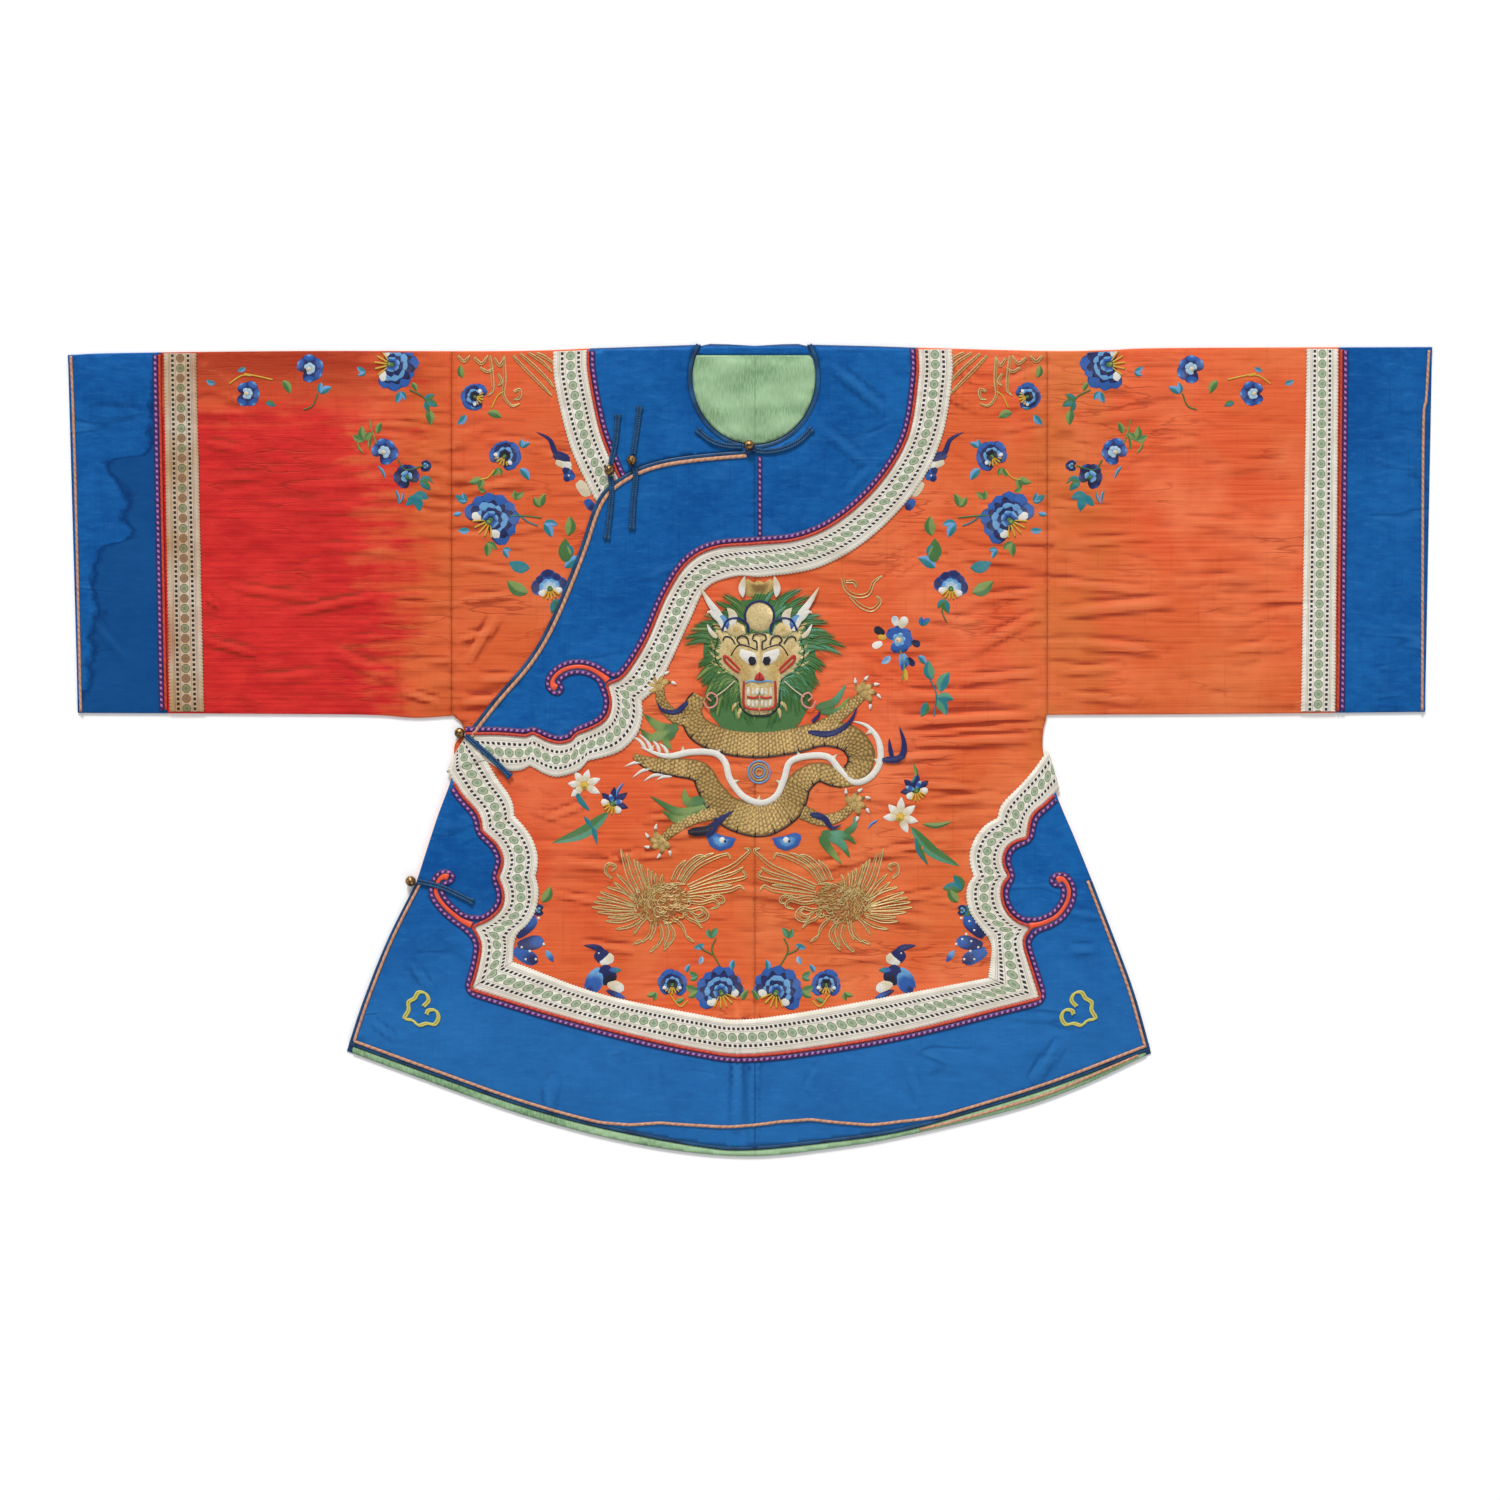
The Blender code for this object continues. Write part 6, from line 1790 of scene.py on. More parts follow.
# Leaves, one to three at a place, or 0 for one slender blade, by the same rule for sides.
# Columns: x, drop, size, turn, shades, count, and the one side
LEAVES = [
    (-283, 152, 10, 110, "TS", 2), (-288, 163, 9, 190, "ST", 1), (-234, 150, 11, 40, "LG", 2),
    (-247, 200, 10, -60, "TS", 2), (-272, 58, 9, 170, "ST", 1), (-228, 98, 10, 30, "TS", 2),
    (-252, 118, 10, -120, "GL", 2), (-384, 22, 10, 150, "TS", 2), (-350, 42, 12, -110, "TS", 2),
    (-338, 33, 10, -60, "GL", 1), (-18, 620, 11, 80, "TS", 1), (-52, 626, 10, 150, "GJ", 2),
    (-94, 642, 10, 200, "LG", 2), (-64, 622, 9, 60, "TS", 1), (-386, 104, 14, 120, "LG", 0),
    (-380, 100, 16, 80, "GL", 0), (-372, 116, 16, -60, "TS", 0), (-354, 140, 15, -80, "TS", 0),
    (-346, 142, 13, -110, "ST", 0), (-326, 128, 12, -30, "TG", 0), (-140, 461, 66, 209, "GJ", 0, "right"),
    (-160, 461, 30, 121, "TT", 0, "right"), (-166, 466, 32, -65, "TT", 0, "right"),
    (-134, 448, 18, 62, "BS", 0, "right"), (-160, 476, 64, 219, "GJ", 0, "left"),
    (-166, 482, 36, 250, "GT", 0, "left"), (-172, 474, 30, 175, "LG", 0, "left"),
    (-166, 432, 20, 80, "LG", 0, "left"), (-160, 434, 16, 120, "TG", 0, "left"),
    (-128, 470, 14, -40, "BS", 0, "left"), (-467, 31, 15, -60, "GL", 1), (-504, 18, 9, 200, "TS", 1),
    (-534, 34, 10, 160, "TS", 1), (-484, 53, 11, -20, "TG", 1), (-429, 44, 13, 30, "TS", 2),
    (-325, 52, 14, -20, "TG", 3), (-322, 60, 16, -80, "GL", 1), (-385, 91, 15, 100, "LG", 3),
    (-372, 84, 12, 70, "GL", 1), (-336, 145, 18, -70, "TT", 3), (-330, 132, 14, -40, "TG", 2),
    (-287, 28, 13, 100, "LG", 1), (-284, 65, 13, 230, "TS", 1), (-262, 63, 15, -20, "GL", 1),
    (-230, 119, 15, -50, "TS", 1), (-268, 128, 14, 200, "LG", 2), (-264, 142, 9, 150, "GL", 1),
    (-263, 193, 14, -90, "GL", 2), (-280, 180, 12, 180, "TS", 1), (-284, 151, 12, 150, "TT", 1),
    (-209, 157, 14, 70, "GL", 2), (-206, 174, 16, -60, "TS", 2), (-220, 218, 22, 165, "TT", 1),
    (-185, 218, 20, 30, "TS", 1), (-222, 243, 24, 150, "LG", 1), (-196, 250, 14, -100, "TG", 2),
    (-180, 214, 26, 100, "GG", 1), (182, 186, 20, 95, "LG", 1), (178, 206, 14, 60, "LT", 1),
    (140, 306, 12, 220, "SP", 1), (168, 306, 12, -50, "TS", 1), (172, 276, 11, 40, "TB", 2),
    (152, 308, 13, -90, "BT", 2), (182, 330, 20, 100, "JT", 1), (190, 342, 22, 65, "TJ", 1),
    (186, 348, 20, -60, "JT", 2), (176, 352, 16, -110, "TG", 1), (-38, 588, 12, 60, "JG", 2),
    (-46, 594, 11, 200, "TS", 1), (-48, 606, 9, -110, "SP", 1), (-52, 640, 14, 160, "GL", 2),
    (-66, 648, 10, 200, "LG", 1), (-212, 540, 20, 5, "GT", 2), (208, 552, 18, 120, "LG", 1),
    (218, 566, 16, 70, "GT", 2), (-8, 650, 12, 60, "GL", 1),
]
# Stems. Columns: shade, then places along it
STEMS = [
    ("Y", (-505, 24), (-490, 27), (-477, 30)), ("Y", (-520, 34), (-508, 26), (-498, 26)),
    ("G", (-432, 44), (-437, 56), (-446, 60)), ("G", (-340, 40), (-326, 48), (-320, 62)),
    ("L", (-373, 94), (-378, 80), (-380, 70)), ("G", (-352, 110), (-344, 120), (-326, 116)),
    ("Y", (-258, 58), (-252, 46), (-246, 42)), ("Y", (-255, 120), (-262, 128), (-270, 130)),
    ("G", (-243, 166), (-228, 166), (-208, 168)), ("T", (-232, 164), (-222, 172), (-212, 176)),
    ("G", (-193, 252), (-192, 262), (-196, 272)), ("G", (-30, 616), (-38, 600), (-34, 588)),
    ("G", (-38, 604), (-46, 600), (-50, 596)), ("Y", (-80, 644), (-70, 656), (-62, 650)),
    ("T", (180, 330), (186, 344), (184, 366)),
    ("L", (150, 300), (154, 316), (152, 330)), ("G", (-226, 544), (-210, 540), (-196, 542)),
]


def make_flowers():
    """Flowers, leaves and stems of both sides, each side with its own small differences."""
    for mirrored in (False, True):
        chance = random.Random(7 + mirrored)
        floss = Needle(mirrored)
        for shade, *rows in STEMS:
            if shown(*rows[0], mirrored):
                thread(floss, rows, 1.5, shade)
        side = "left" if mirrored else "right"
        for x, drop, size, turn, shades, count, *only in LEAVES:
            if side in (only or [side]) and shown(x, drop, mirrored):
                if not count:
                    leaf(floss, x, drop, size, turn, shades, 0.19)
                for k in range(count):
                    turned = shades[::(1, -1)[k % 2]]
                    leaf(floss, x, drop, size * (1 - 0.12 * k), turn + (0, 55, -55)[k], turned)
        for kind, x, drop, size, turn, *only in FLOWERS:
            if side in (only or [side]) and shown(x, drop, mirrored):
                flower(floss, chance, kind, x + chance.uniform(-2, 2), drop, size, turn)
        floss.lay("flowers_" + side, "silk_floss")


def embroider(needle, rows, level=0.1, flip=None):
    """Works a table of stitches: kind, shades, width, then places; flip gives a mirror line's x."""
    for kind, shades, width, *places in rows:
        if flip is not None:
            places = [(2 * flip - x, drop) for x, drop in places]
        if kind == "patch":
            patch(needle, places, shades, width, level)
        elif kind == "line":
            thread(needle, places, width, shades, level)
        elif kind == "dot":
            for x, drop in places:
                dot(needle, x, drop, width, shades, level + 0.9)
        else:
            blade(needle, places, width, shades, kind, 0.6, level)


# The dragon's coils. Columns: x, drop, width
COILS = [
    (-50, 346, 15), (-58, 362, 21), (-50, 380, 25), (-24, 391, 26), (10, 394, 27), (44, 390, 26),
    (72, 384, 24), (98, 388, 27), (111, 404, 28), (106, 421, 24), (90, 428, 19), (68, 422, 19),
    (50, 433, 24), (38, 456, 30), (11, 469, 35), (-20, 462, 31), (-38, 442, 25), (-50, 422, 21),
    (-76, 417, 18), (-98, 414, 14), (-116, 406, 6),
]
SPINE = [
    (-110, 397), (-84, 406), (-58, 402), (-36, 403), (-25, 412), (-20, 429), (-7, 446), (11, 453),
    (26, 446), (34, 429), (40, 412), (58, 406), (78, 407), (90, 420), (104, 432), (120, 427),
    (130, 411), (128, 390), (117, 376), (102, 371),
]
# Legs with their toes: width, then places
LEGS = [
    (17, (58, 384), (78, 374), (96, 360), (112, 346)),
    (15, (-56, 372), (-76, 366), (-88, 352), (-90, 338)),
    (15, (52, 462), (72, 470), (90, 466), (102, 456)),
    (15, (-34, 462), (-56, 468), (-74, 478), (-86, 488)),
]
# Middles of the paws, each with the angle its toes spread about
PAWS = [(114, 343, 40), (-91, 336, 110), (104, 454, 30), (-89, 491, 215)]
# Dark blue locks over the gold. Columns: kind, shades, width, places
OVER_FLOSS = [
    (LOCK, "NN", 7, (-62, 352), (-74, 362), (-88, 360), (-92, 352)),
    (LOCK, "NN", 8, (58, 382), (80, 384), (98, 374), (108, 356)),
    (LOCK, "NN", 5, (62, 372), (68, 366), (70, 360)),
    (LOCK, "NN", 8, (60, 464), (74, 468), (82, 478), (92, 474)),
    (LOCK, "KN", 12, (-62, 482), (-42, 480), (-30, 470), (-16, 460)),
    (LOCK, "NN", 8, (-44, 486), (-34, 476), (-34, 466)),
    (LOCK, "NN", 9, (132, 410), (150, 408), (154, 394), (149, 376)),
]
# Coloured work round the coils, by the same columns, a patch having its height for a width
COIL_FLOSS = [
    (LOCK, "NN", 6, (142, 408), (140, 398), (139, 388)),
    (LOCK, "GLG", 13, (-78, 380), (-92, 376), (-106, 364)),
    (LOCK, "GL", 13, (-76, 380), (-84, 390), (-78, 400)),
    (LOCK, "GLG", 15, (-72, 376), (-98, 388), (-110, 378)),
    (LOCK, "LG", 12, (-42, 456), (-70, 462), (-100, 446)),
    (LOCK, "GL", 15, (-44, 450), (-62, 452), (-66, 438)),
    (LOCK, "GLG", 15, (-46, 458), (-70, 470), (-88, 460)),
    (LOCK, "GJ", 11, (66, 358), (84, 352), (96, 334)), (LOCK, "GL", 9, (70, 362), (88, 360), (100, 346)),
    (LOCK, "GJG", 13, (72, 482), (90, 492), (100, 508)),
    (LOCK, "JG", 12, (78, 484), (96, 486), (106, 494)), (LOCK, "GL", 11, (70, 486), (80, 500), (92, 514)),
    (LOCK, "GJ", 9, (94, 484), (104, 476), (104, 466)),
    ("patch", "BS", 0.9, (-44, 484), (-36, 482), (-26, 486), (-14, 488), (-18, 497), (-30, 501),
     (-40, 496)),
    ("patch", "BS", 0.9, (22, 488), (34, 486), (46, 482), (52, 486), (48, 496), (36, 501), (26, 497)),
]
# One half of the mask, mirrored about its axis
MASK_AXIS = 9.5
MASK_GOLD = [
    ("patch", "HA", 1.8, (9.5, 282), (24, 285), (36, 285), (52, 276), (56, 279), (50, 289), (53, 300),
     (51, 313), (43, 322), (31, 329), (29, 343), (28, 356), (20, 364), (9.5, 365)),
    ("patch", "HHA", 2.2, (22, 284), (24, 276), (32, 271), (41, 274), (45, 281), (38, 287), (28, 289)),
    (LEAF, "HA", 8, (40, 288), (48, 280), (57, 273)), (LOCK, "HH", 5, (46, 310), (55, 306), (60, 300)),
    (LOCK, "HA", 5, (44, 316), (53, 315), (59, 311)), (LOCK, "HH", 5, (40, 321), (48, 323), (54, 321)),
    (LOCK, "HA", 5, (48, 303), (55, 298), (58, 290)), (LOCK, "HA", 5, (30, 352), (35, 356), (37, 362)),
    (LOCK, "HH", 5, (27, 358), (30, 363), (30, 369)),
]
MASK_OUTLINE = [
    ("line", "K", 1.5, (36, 285), (52, 276), (57, 279), (51, 289), (54, 300), (52, 313), (43, 323)),
    ("line", "K", 1.5, (43, 323), (32, 330), (30, 343), (29, 356), (20, 365), (9.5, 366)),
]
MASK_FLOSS = [
    ("line", "N", 2.4, (20.5, 283), (22, 274), (32, 268.5), (42, 271), (47, 281)),
    ("line", "K", 1.5, (9.5, 284), (15, 285), (16, 290), (12.5, 292), (12, 300)),
    ("line", "K", 1.5, (20, 295), (22, 288), (28, 286), (32, 290), (29, 294)),
    ("line", "K", 1.5, (34, 294), (38, 288), (44, 287), (46, 291)),
    ("line", "K", 1.3, (13, 300), (20, 297), (29, 295), (34, 299), (38, 306)),
    ("patch", "WW", 1.0, (12, 312), (13, 304), (20, 300), (29, 298), (31, 304), (26, 312), (17, 316)),
    ("line", "R", 2.6, (29, 320), (36, 313), (44, 306), (44, 311), (36, 319), (30, 323)),
    ("line", "S", 1.8, (10, 332), (18, 331), (25, 333)),
    ("line", "R", 2.6, (25, 331), (25.5, 344), (24, 357), (10, 360)),
    ("line", "R", 2.4, (10, 347), (16, 348), (22, 347)),
    ("line", "C", 1.2, (34, 331), (44, 340), (54, 347)),
    ("line", "O", 1.8, (58, 351), (62, 347), (58, 343), (52, 347), (53, 355), (61, 358), (66, 351)),
    (PETAL, "WW", 3.2, (12, 338), (12, 345)), (PETAL, "CW", 3.2, (16, 338), (16, 345)),
    (PETAL, "WC", 3.4, (20.5, 337), (21, 347)), (PETAL, "CW", 3.0, (12, 357), (12, 350)),
    (PETAL, "WC", 3.0, (16, 357), (16, 350)), (PETAL, "WW", 3.2, (20, 356), (20.5, 349)),
    (LOCK, "WWC", 10, (43, 281), (50, 266), (60, 252), (69, 237)),
    (LEAF, "WC", 9, (38, 277), (36, 266), (42, 258)), (LEAF, "BSB", 8, (41, 280), (46, 270), (54, 262)),
    (LEAF, "WW", 6, (46, 274), (58, 262), (62, 264)), (LEAF, "WC", 7, (26, 248), (27, 238), (24, 226)),
    (LOCK, "CW", 6, (52, 288), (58, 282), (62, 274)),
]
PUPILS = [
    ("patch", "KK", 1.0, (14, 307.5), (19, 306.5), (21, 310), (19, 315), (15, 315.5), (12.5, 312)),
    ("patch", "RR", 1.4, (9.5, 322), (13, 325), (15, 330), (9.5, 331)),
]
# The pearl's middle, the radius of its outer ring, and the space between rings
PEARL, PEARL_RADIUS, PEARL_STEP = (9, 422), 11.0, 2.6
# The round brow of the mask: its middle, half width and rise, then its outline's middle and degrees
BROW, BROW_HALF, BROW_RISE = (MASK_AXIS, 267), 14.5, 15
BROW_RIM, BROW_ARC = (MASK_AXIS, 266), (-20, 200)
# Where the coils turn over, so that their belly changes sides
BEND = (92, 412)
# The mane: the drop of its middle, then how far its locks reach down, to the left and to the right
MANE_DROP, REACH_DOWN, REACH_LEFT, REACH_RIGHT = 312, 66, 84, 76
# Half sizes of the oval that the locks start from, then the degrees that a lock sweeps aside by its
# middle, where that middle is as a share of its reach, and the degrees at its tip
MANE_ROOT, MANE_SWEEP, MANE_BEND, MANE_TIP = (28, 30), 14, 0.72, 4
# White locks at the end of the tail. Columns: x, drop, angle, length
TAIL_TUFT = [
    (-104, 399, 138, 20), (-98, 401, 128, 22), (-90, 403, 122, 17), (-82, 404, 130, 14),
    (-104, 413, 190, 22), (-96, 418, 205, 24), (-86, 424, 200, 22), (-78, 426, 195, 16),
]
CROWN = [
    (-8, 233), (-2, 229), (4, 233), (9, 230), (14, 233), (20, 229), (27, 233), (22, 247), (-3, 247),
]
# The green ground of the mane, under its locks
MANE = [
    (-28, 262), (-42, 276), (-47, 300), (-45, 322), (-42, 344), (-40, 364), (-28, 378), (0, 386),
    (30, 386), (48, 376), (58, 358), (64, 335), (66, 310), (64, 285), (56, 264), (36, 252), (10, 248),
    (-14, 252),
]


def coil_along(needle, rows, level, scale=4.6, height=1.5):
    """A couched band of gold scales along a curving middle line."""
    middle = np.array(curve([row[:2] for row in rows], 1.1))
    along = summed(steps_of(middle))
    marks = summed(steps_of([row[:2] for row in rows]))
    width = np.interp(along / along[-1], marks / marks[-1], [row[2] for row in rows])
    b = np.linspace(-1.0, 1.0, 21)[None, :]
    reach = b * width[:, None] / 2
    row = np.floor(along / (scale * 0.75))[:, None]
    p = along[:, None] / (scale * 0.75) - row
    q = np.mod(reach / scale + 0.5 * np.mod(row, 2), 1.0) - 0.5
    arc = smooth((np.sqrt((2.0 * q) ** 2 + p**2) - 0.62) / 0.3)
    over = level + height * np.sqrt(1 - b**2 * 0.995) - 0.3 * arc
    rim = smooth((np.abs(b) - 0.82) / 0.1) * np.ones_like(arc)
    needle.run(middle, reach, over, along[:, None], shade_of("AD", np.maximum(arc, 0.8 * rim)))
    return middle, width


def make_dragon():
    """A dragon seen from the front, coiled about a pearl, in couched gold and silk floss."""
    chance = random.Random(21)
    gold, floss = Needle(), Needle()
    middle, width = coil_along(gold, COILS, 0.2)
    side = left_of(middle)
    bend = int(np.argmax((middle[:, 0] < BEND[0]) & (middle[:, 1] < SHOULDER_Y - BEND[1])))
    belly = np.where(np.arange(len(middle)) < bend, -1.0, 1.0)[:, None]
    outer = middle + belly * side * (width / 2)[:, None]
    for run in (outer[:bend], outer[bend:]):
        thread(floss, [(p[0], SHOULDER_Y - p[1]) for p in run[::8]], 1.3, "K", 0.25)
    for k in range(20, len(outer) - 20, 13):
        ends = (outer[k], outer[k] - belly[k] * side[k] * width[k] * 0.3)
        blade(floss, [(p[0], SHOULDER_Y - p[1]) for p in ends], 1.8, "KK", FIN, 0.7, 0.9)
    for wide, *places in LEGS:
        rows = [(x, drop, wide * (1 - 0.14 * k)) for k, (x, drop) in enumerate(places)]
        coil_along(gold, rows, 0.25, 3.8, 1.2)
    for x, drop, facing in PAWS:
        dot(gold, x, drop, 6.0, "A", 1.6)
        for k in range(5):
            angle = facing + (k - 2) * 48 + chance.uniform(-6, 6)
            toe = towards(x, drop, angle, 13)
            blade(gold, [(x, drop), towards(x, drop, angle + 14, 7), toe], 6.5, "DAD", LEAF, 1.2, 0.5)
            blade(floss, [toe, towards(*toe, angle - 40, 6)], 4.2, "WW", LOCK, 1.3, 0.6)
    blade_line(floss, SPINE, 6.4, "W")
    ridge = resample(curve(SPINE, 3.0), 34)
    lean = np.gradient(ridge, axis=0)
    for k in range(1, 33, 3):
        start = (ridge[k][0], SHOULDER_Y - ridge[k][1])
        angle = math.degrees(math.atan2(lean[k][1], lean[k][0])) + 80
        blade(floss, [start, towards(*start, angle, 8)], 6, "WC", FIN, 0.8, 0.4)
    for x, drop, angle, length in TAIL_TUFT:
        rows = [(x, drop), towards(x, drop, angle - 12, length * 0.5), towards(x, drop, angle, length)]
        blade(floss, rows, 4.4, "WW", LOCK, 0.7, 0.3)
    embroider(floss, COIL_FLOSS, 0.5)
    embroider(floss, OVER_FLOSS, 1.7)
    for x in (-28, 36):
        dot(floss, x, 490, 4.5, "W", 1.6)
        dot(floss, x + 3, 491, 1.8, "N", 2.2)
    for ring in range(4):
        radius = PEARL_RADIUS - PEARL_STEP * ring
        rows = ring_of(PEARL, radius, radius, np.linspace(0, 2 * math.pi, 13))
        thread(gold if ring % 2 else floss, rows, 1.7, "SASA"[ring], 0.3)
    make_mane(floss, chance)
    for flip in (None, MASK_AXIS):
        embroider(gold, MASK_GOLD, 1.6, flip)
        embroider(floss, MASK_OUTLINE, 1.5, flip)
    brow = ring_of(BROW, BROW_HALF, -BROW_RISE, np.linspace(0, 6.0, 16))
    patch(gold, brow, "HH", 2.0, 2.2)
    turns = np.linspace(*(math.radians(angle) for angle in BROW_ARC), 13)
    thread(floss, ring_of(BROW_RIM, BROW_HALF, -BROW_HALF, turns), 2.2, "N", 2.6)
    for flip in (None, MASK_AXIS):
        embroider(floss, MASK_FLOSS, 3.0, flip)
        embroider(floss, PUPILS, 4.1, flip)
    patch(gold, CROWN, "AD", 1.4, 0.3)
    gold.lay("dragon_gold", "couched_gold")
    floss.lay("dragon_floss", "silk_floss")


def blade_line(needle, rows, width, shade):
    """A padded line that narrows at both ends."""
    line = resample(curve(rows, 2.0), 120)
    t = np.linspace(0.0, 1.0, 120)[:, None]
    taper = np.minimum(1.0, 9 * np.minimum(t, 1 - t)) ** 0.6
    b = np.array([-1.0, -0.7, -0.3, 0.3, 0.7, 1.0])[None, :]
    reach = taper * b * width / 2
    over = 0.5 + 1.3 * np.sqrt(1 - b**2 * 0.99) * taper
    colours = shade_of(shade + "C", np.abs(b) * 0.4 * np.ones_like(t))
    needle.run(line, reach, over, 0.0 * reach, colours, t * length_of(line))


def make_mane(floss, chance):
    """Flowing green locks round the mask, each laid in several shades of thread."""
    patch(floss, MANE, "GG", 0.2, 0.7, (MASK_AXIS, 316), 16)
    for k in range(120):
        inner = k % 2
        angle = -96 + k * 3 + chance.uniform(-3, 3)
        turn = math.radians(angle)
        side = 1 if math.cos(turn) > 0 else -1
        far = REACH_DOWN if angle < 0 or angle > 180 else REACH_LEFT if side > 0 else REACH_RIGHT
        far *= chance.uniform(0.86, 1.06) * (0.86 if 60 < angle < 120 else 1.0) * (0.78 if inner else 1.0)
        start = (MASK_AXIS + MANE_ROOT[0] * math.cos(turn), MANE_DROP - MANE_ROOT[1] * math.sin(turn))
        middle = towards(MASK_AXIS, MANE_DROP, angle + MANE_SWEEP * side, far * MANE_BEND)
        tip = towards(MASK_AXIS, MANE_DROP, angle + MANE_TIP * side, far)
        lift_by = 0.4 * inner
        pale = "J" if math.cos(turn) > 0.1 else "L"
        first = ("GG", "G" + pale, pale + "G")[k // 2 % 3]
        for shift, shade in ((0.0, first), (2.4, pale + "G"), (-2.4, "GG")):
            across, down = shift * math.sin(turn), shift * math.cos(turn)
            rows = [(x + across, drop + down) for x, drop in (start, middle, tip)]
            over = (0.9 if shift == 0 else 1.3) + lift_by
            blade(floss, rows, 9.0 if shift == 0 else 2.6, shade, LOCK, 0.7, over)


# Gold threads of one phoenix, laid in pairs: half the gap between the two, then places
PHOENIX = [
    (1.5, (-106, 548), (-118, 530), (-127, 499)), (1.5, (-104, 546), (-114, 526), (-121, 503)),
    (1.4, (-101, 545), (-108, 526), (-114, 509)), (1.4, (-98, 544), (-103, 528), (-107, 514)),
    (1.3, (-95, 543), (-98, 530), (-100, 518)), (1.3, (-92, 542), (-92, 532), (-92, 523)),
    (1.3, (-112, 552), (-124, 540), (-134, 532)), (1.4, (-114, 555), (-130, 548), (-148, 542)),
    (1.5, (-116, 558), (-134, 554), (-154, 552)), (1.4, (-114, 562), (-132, 563), (-150, 562)),
    (1.3, (-110, 566), (-126, 571), (-142, 571)), (1.2, (-106, 569), (-118, 576), (-132, 579)),
    (1.8, (-60, 536), (-38, 526), (-16, 516), (-6, 508), (2, 500), (-4, 498)),
    (1.8, (-58, 540), (-36, 534), (-14, 530), (-2, 526), (-6, 520)),
    (1.7, (-60, 545), (-40, 543), (-18, 540), (-8, 536), (-4, 540)),
    (1.5, (-64, 533), (-52, 518), (-34, 508), (-20, 504), (-18, 509)),
    (1.4, (-70, 530), (-62, 516), (-50, 506), (-42, 506)), (1.3, (-76, 530), (-70, 518), (-62, 510)),
    (1.3, (-66, 550), (-48, 553), (-34, 550), (-30, 556), (-38, 559)),
    (1.3, (-72, 556), (-58, 560), (-46, 558), (-40, 566), (-48, 571), (-54, 566)),
    (1.3, (-96, 572), (-98, 584), (-106, 592)), (1.3, (-88, 574), (-86, 586), (-92, 598)),
    (1.2, (-80, 572), (-74, 584), (-78, 594)), (1.2, (-74, 568), (-66, 576), (-62, 586)),
    (1.0, (-106, 590), (-114, 594)), (1.0, (-92, 596), (-98, 602)), (1.0, (-78, 592), (-84, 600)),
    (1.0, (-62, 586), (-54, 592)), (1.2, (-104, 560), (-98, 548), (-88, 540), (-74, 534), (-62, 534)),
    (1.0, (-136, 528), (-142, 522), (-140, 514), (-132, 516), (-136, 521)),
    (1.3, (-112, 556), (-132, 551), (-151, 547)), (1.3, (-112, 560), (-134, 559), (-156, 557)),
    (1.2, (-108, 564), (-124, 567), (-140, 567)), (1.3, (-110, 550), (-126, 541), (-141, 537)),
    (1.2, (-99, 544), (-105, 527), (-110.5, 511)), (1.2, (-93, 543), (-95, 531), (-96, 520)),
    (1.2, (-88, 541), (-87, 532), (-85, 524)), (1.3, (-109, 551), (-120, 535), (-131, 524)),
    (1.5, (-58, 538), (-37, 530), (-15, 523), (-5, 517)), (1.5, (-60, 543), (-38, 538), (-16, 535)),
    (1.3, (-67, 531), (-57, 517), (-42, 506), (-34, 503)),
    (1.3, (-62, 548), (-50, 547), (-40, 549), (-34, 545)),
    (1.1, (-58, 562), (-50, 566), (-44, 562), (-48, 558)),
    (1.1, (-36, 548), (-28, 546), (-24, 551), (-30, 554)), (1.2, (-100, 566), (-108, 574), (-114, 584)),
    (1.2, (-92, 568), (-94, 580), (-98, 590)), (1.2, (-84, 570), (-80, 582), (-84, 596)),
    (1.1, (-66, 560), (-60, 568), (-52, 572), (-46, 578)),
]
PHOENIX_BODY = [
    (-110, 550), (-102, 540), (-88, 535), (-72, 534), (-62, 540), (-62, 552), (-70, 562), (-84, 571),
    (-98, 572), (-108, 563),
]
# Gold threads on each shoulder, where the tail of a bird on the back hangs over
TAILS = [
    (1.2, (-237, 6), (-224, 20), (-208, 36), (-198, 46)),
    (1.2, (-230, 4), (-216, 16), (-202, 30), (-196, 38)), (1.2, (-222, 3), (-208, 12), (-198, 22)),
    (1.2, (-246, 6), (-245, 30), (-246, 46), (-238, 56), (-230, 54)),
    (1.2, (-260, 6), (-258, 22), (-257, 40), (-262, 46)),
    (1.1, (-236, 42), (-230, 40), (-230, 48), (-236, 50)), (1.1, (-292, 6), (-286, 12), (-280, 6)),
    (1.1, (-276, 8), (-268, 14), (-262, 6)), (1.1, (-256, 8), (-250, 16), (-246, 8)),
    (1.0, (-270, 18), (-262, 22), (-256, 18)), (1.2, (-214, 3), (-204, 8), (-196, 14)),
    (1.0, (-252, 24), (-248, 32), (-252, 36)),
]
CLOUD = [
    (1.6, (92, 228), (96, 240), (106, 246), (118, 244), (124, 232), (132, 226)),
    (1.6, (100, 246), (110, 256), (122, 260), (130, 252), (126, 246)),
    (1.3, (96, 232), (104, 232), (106, 238)),
]
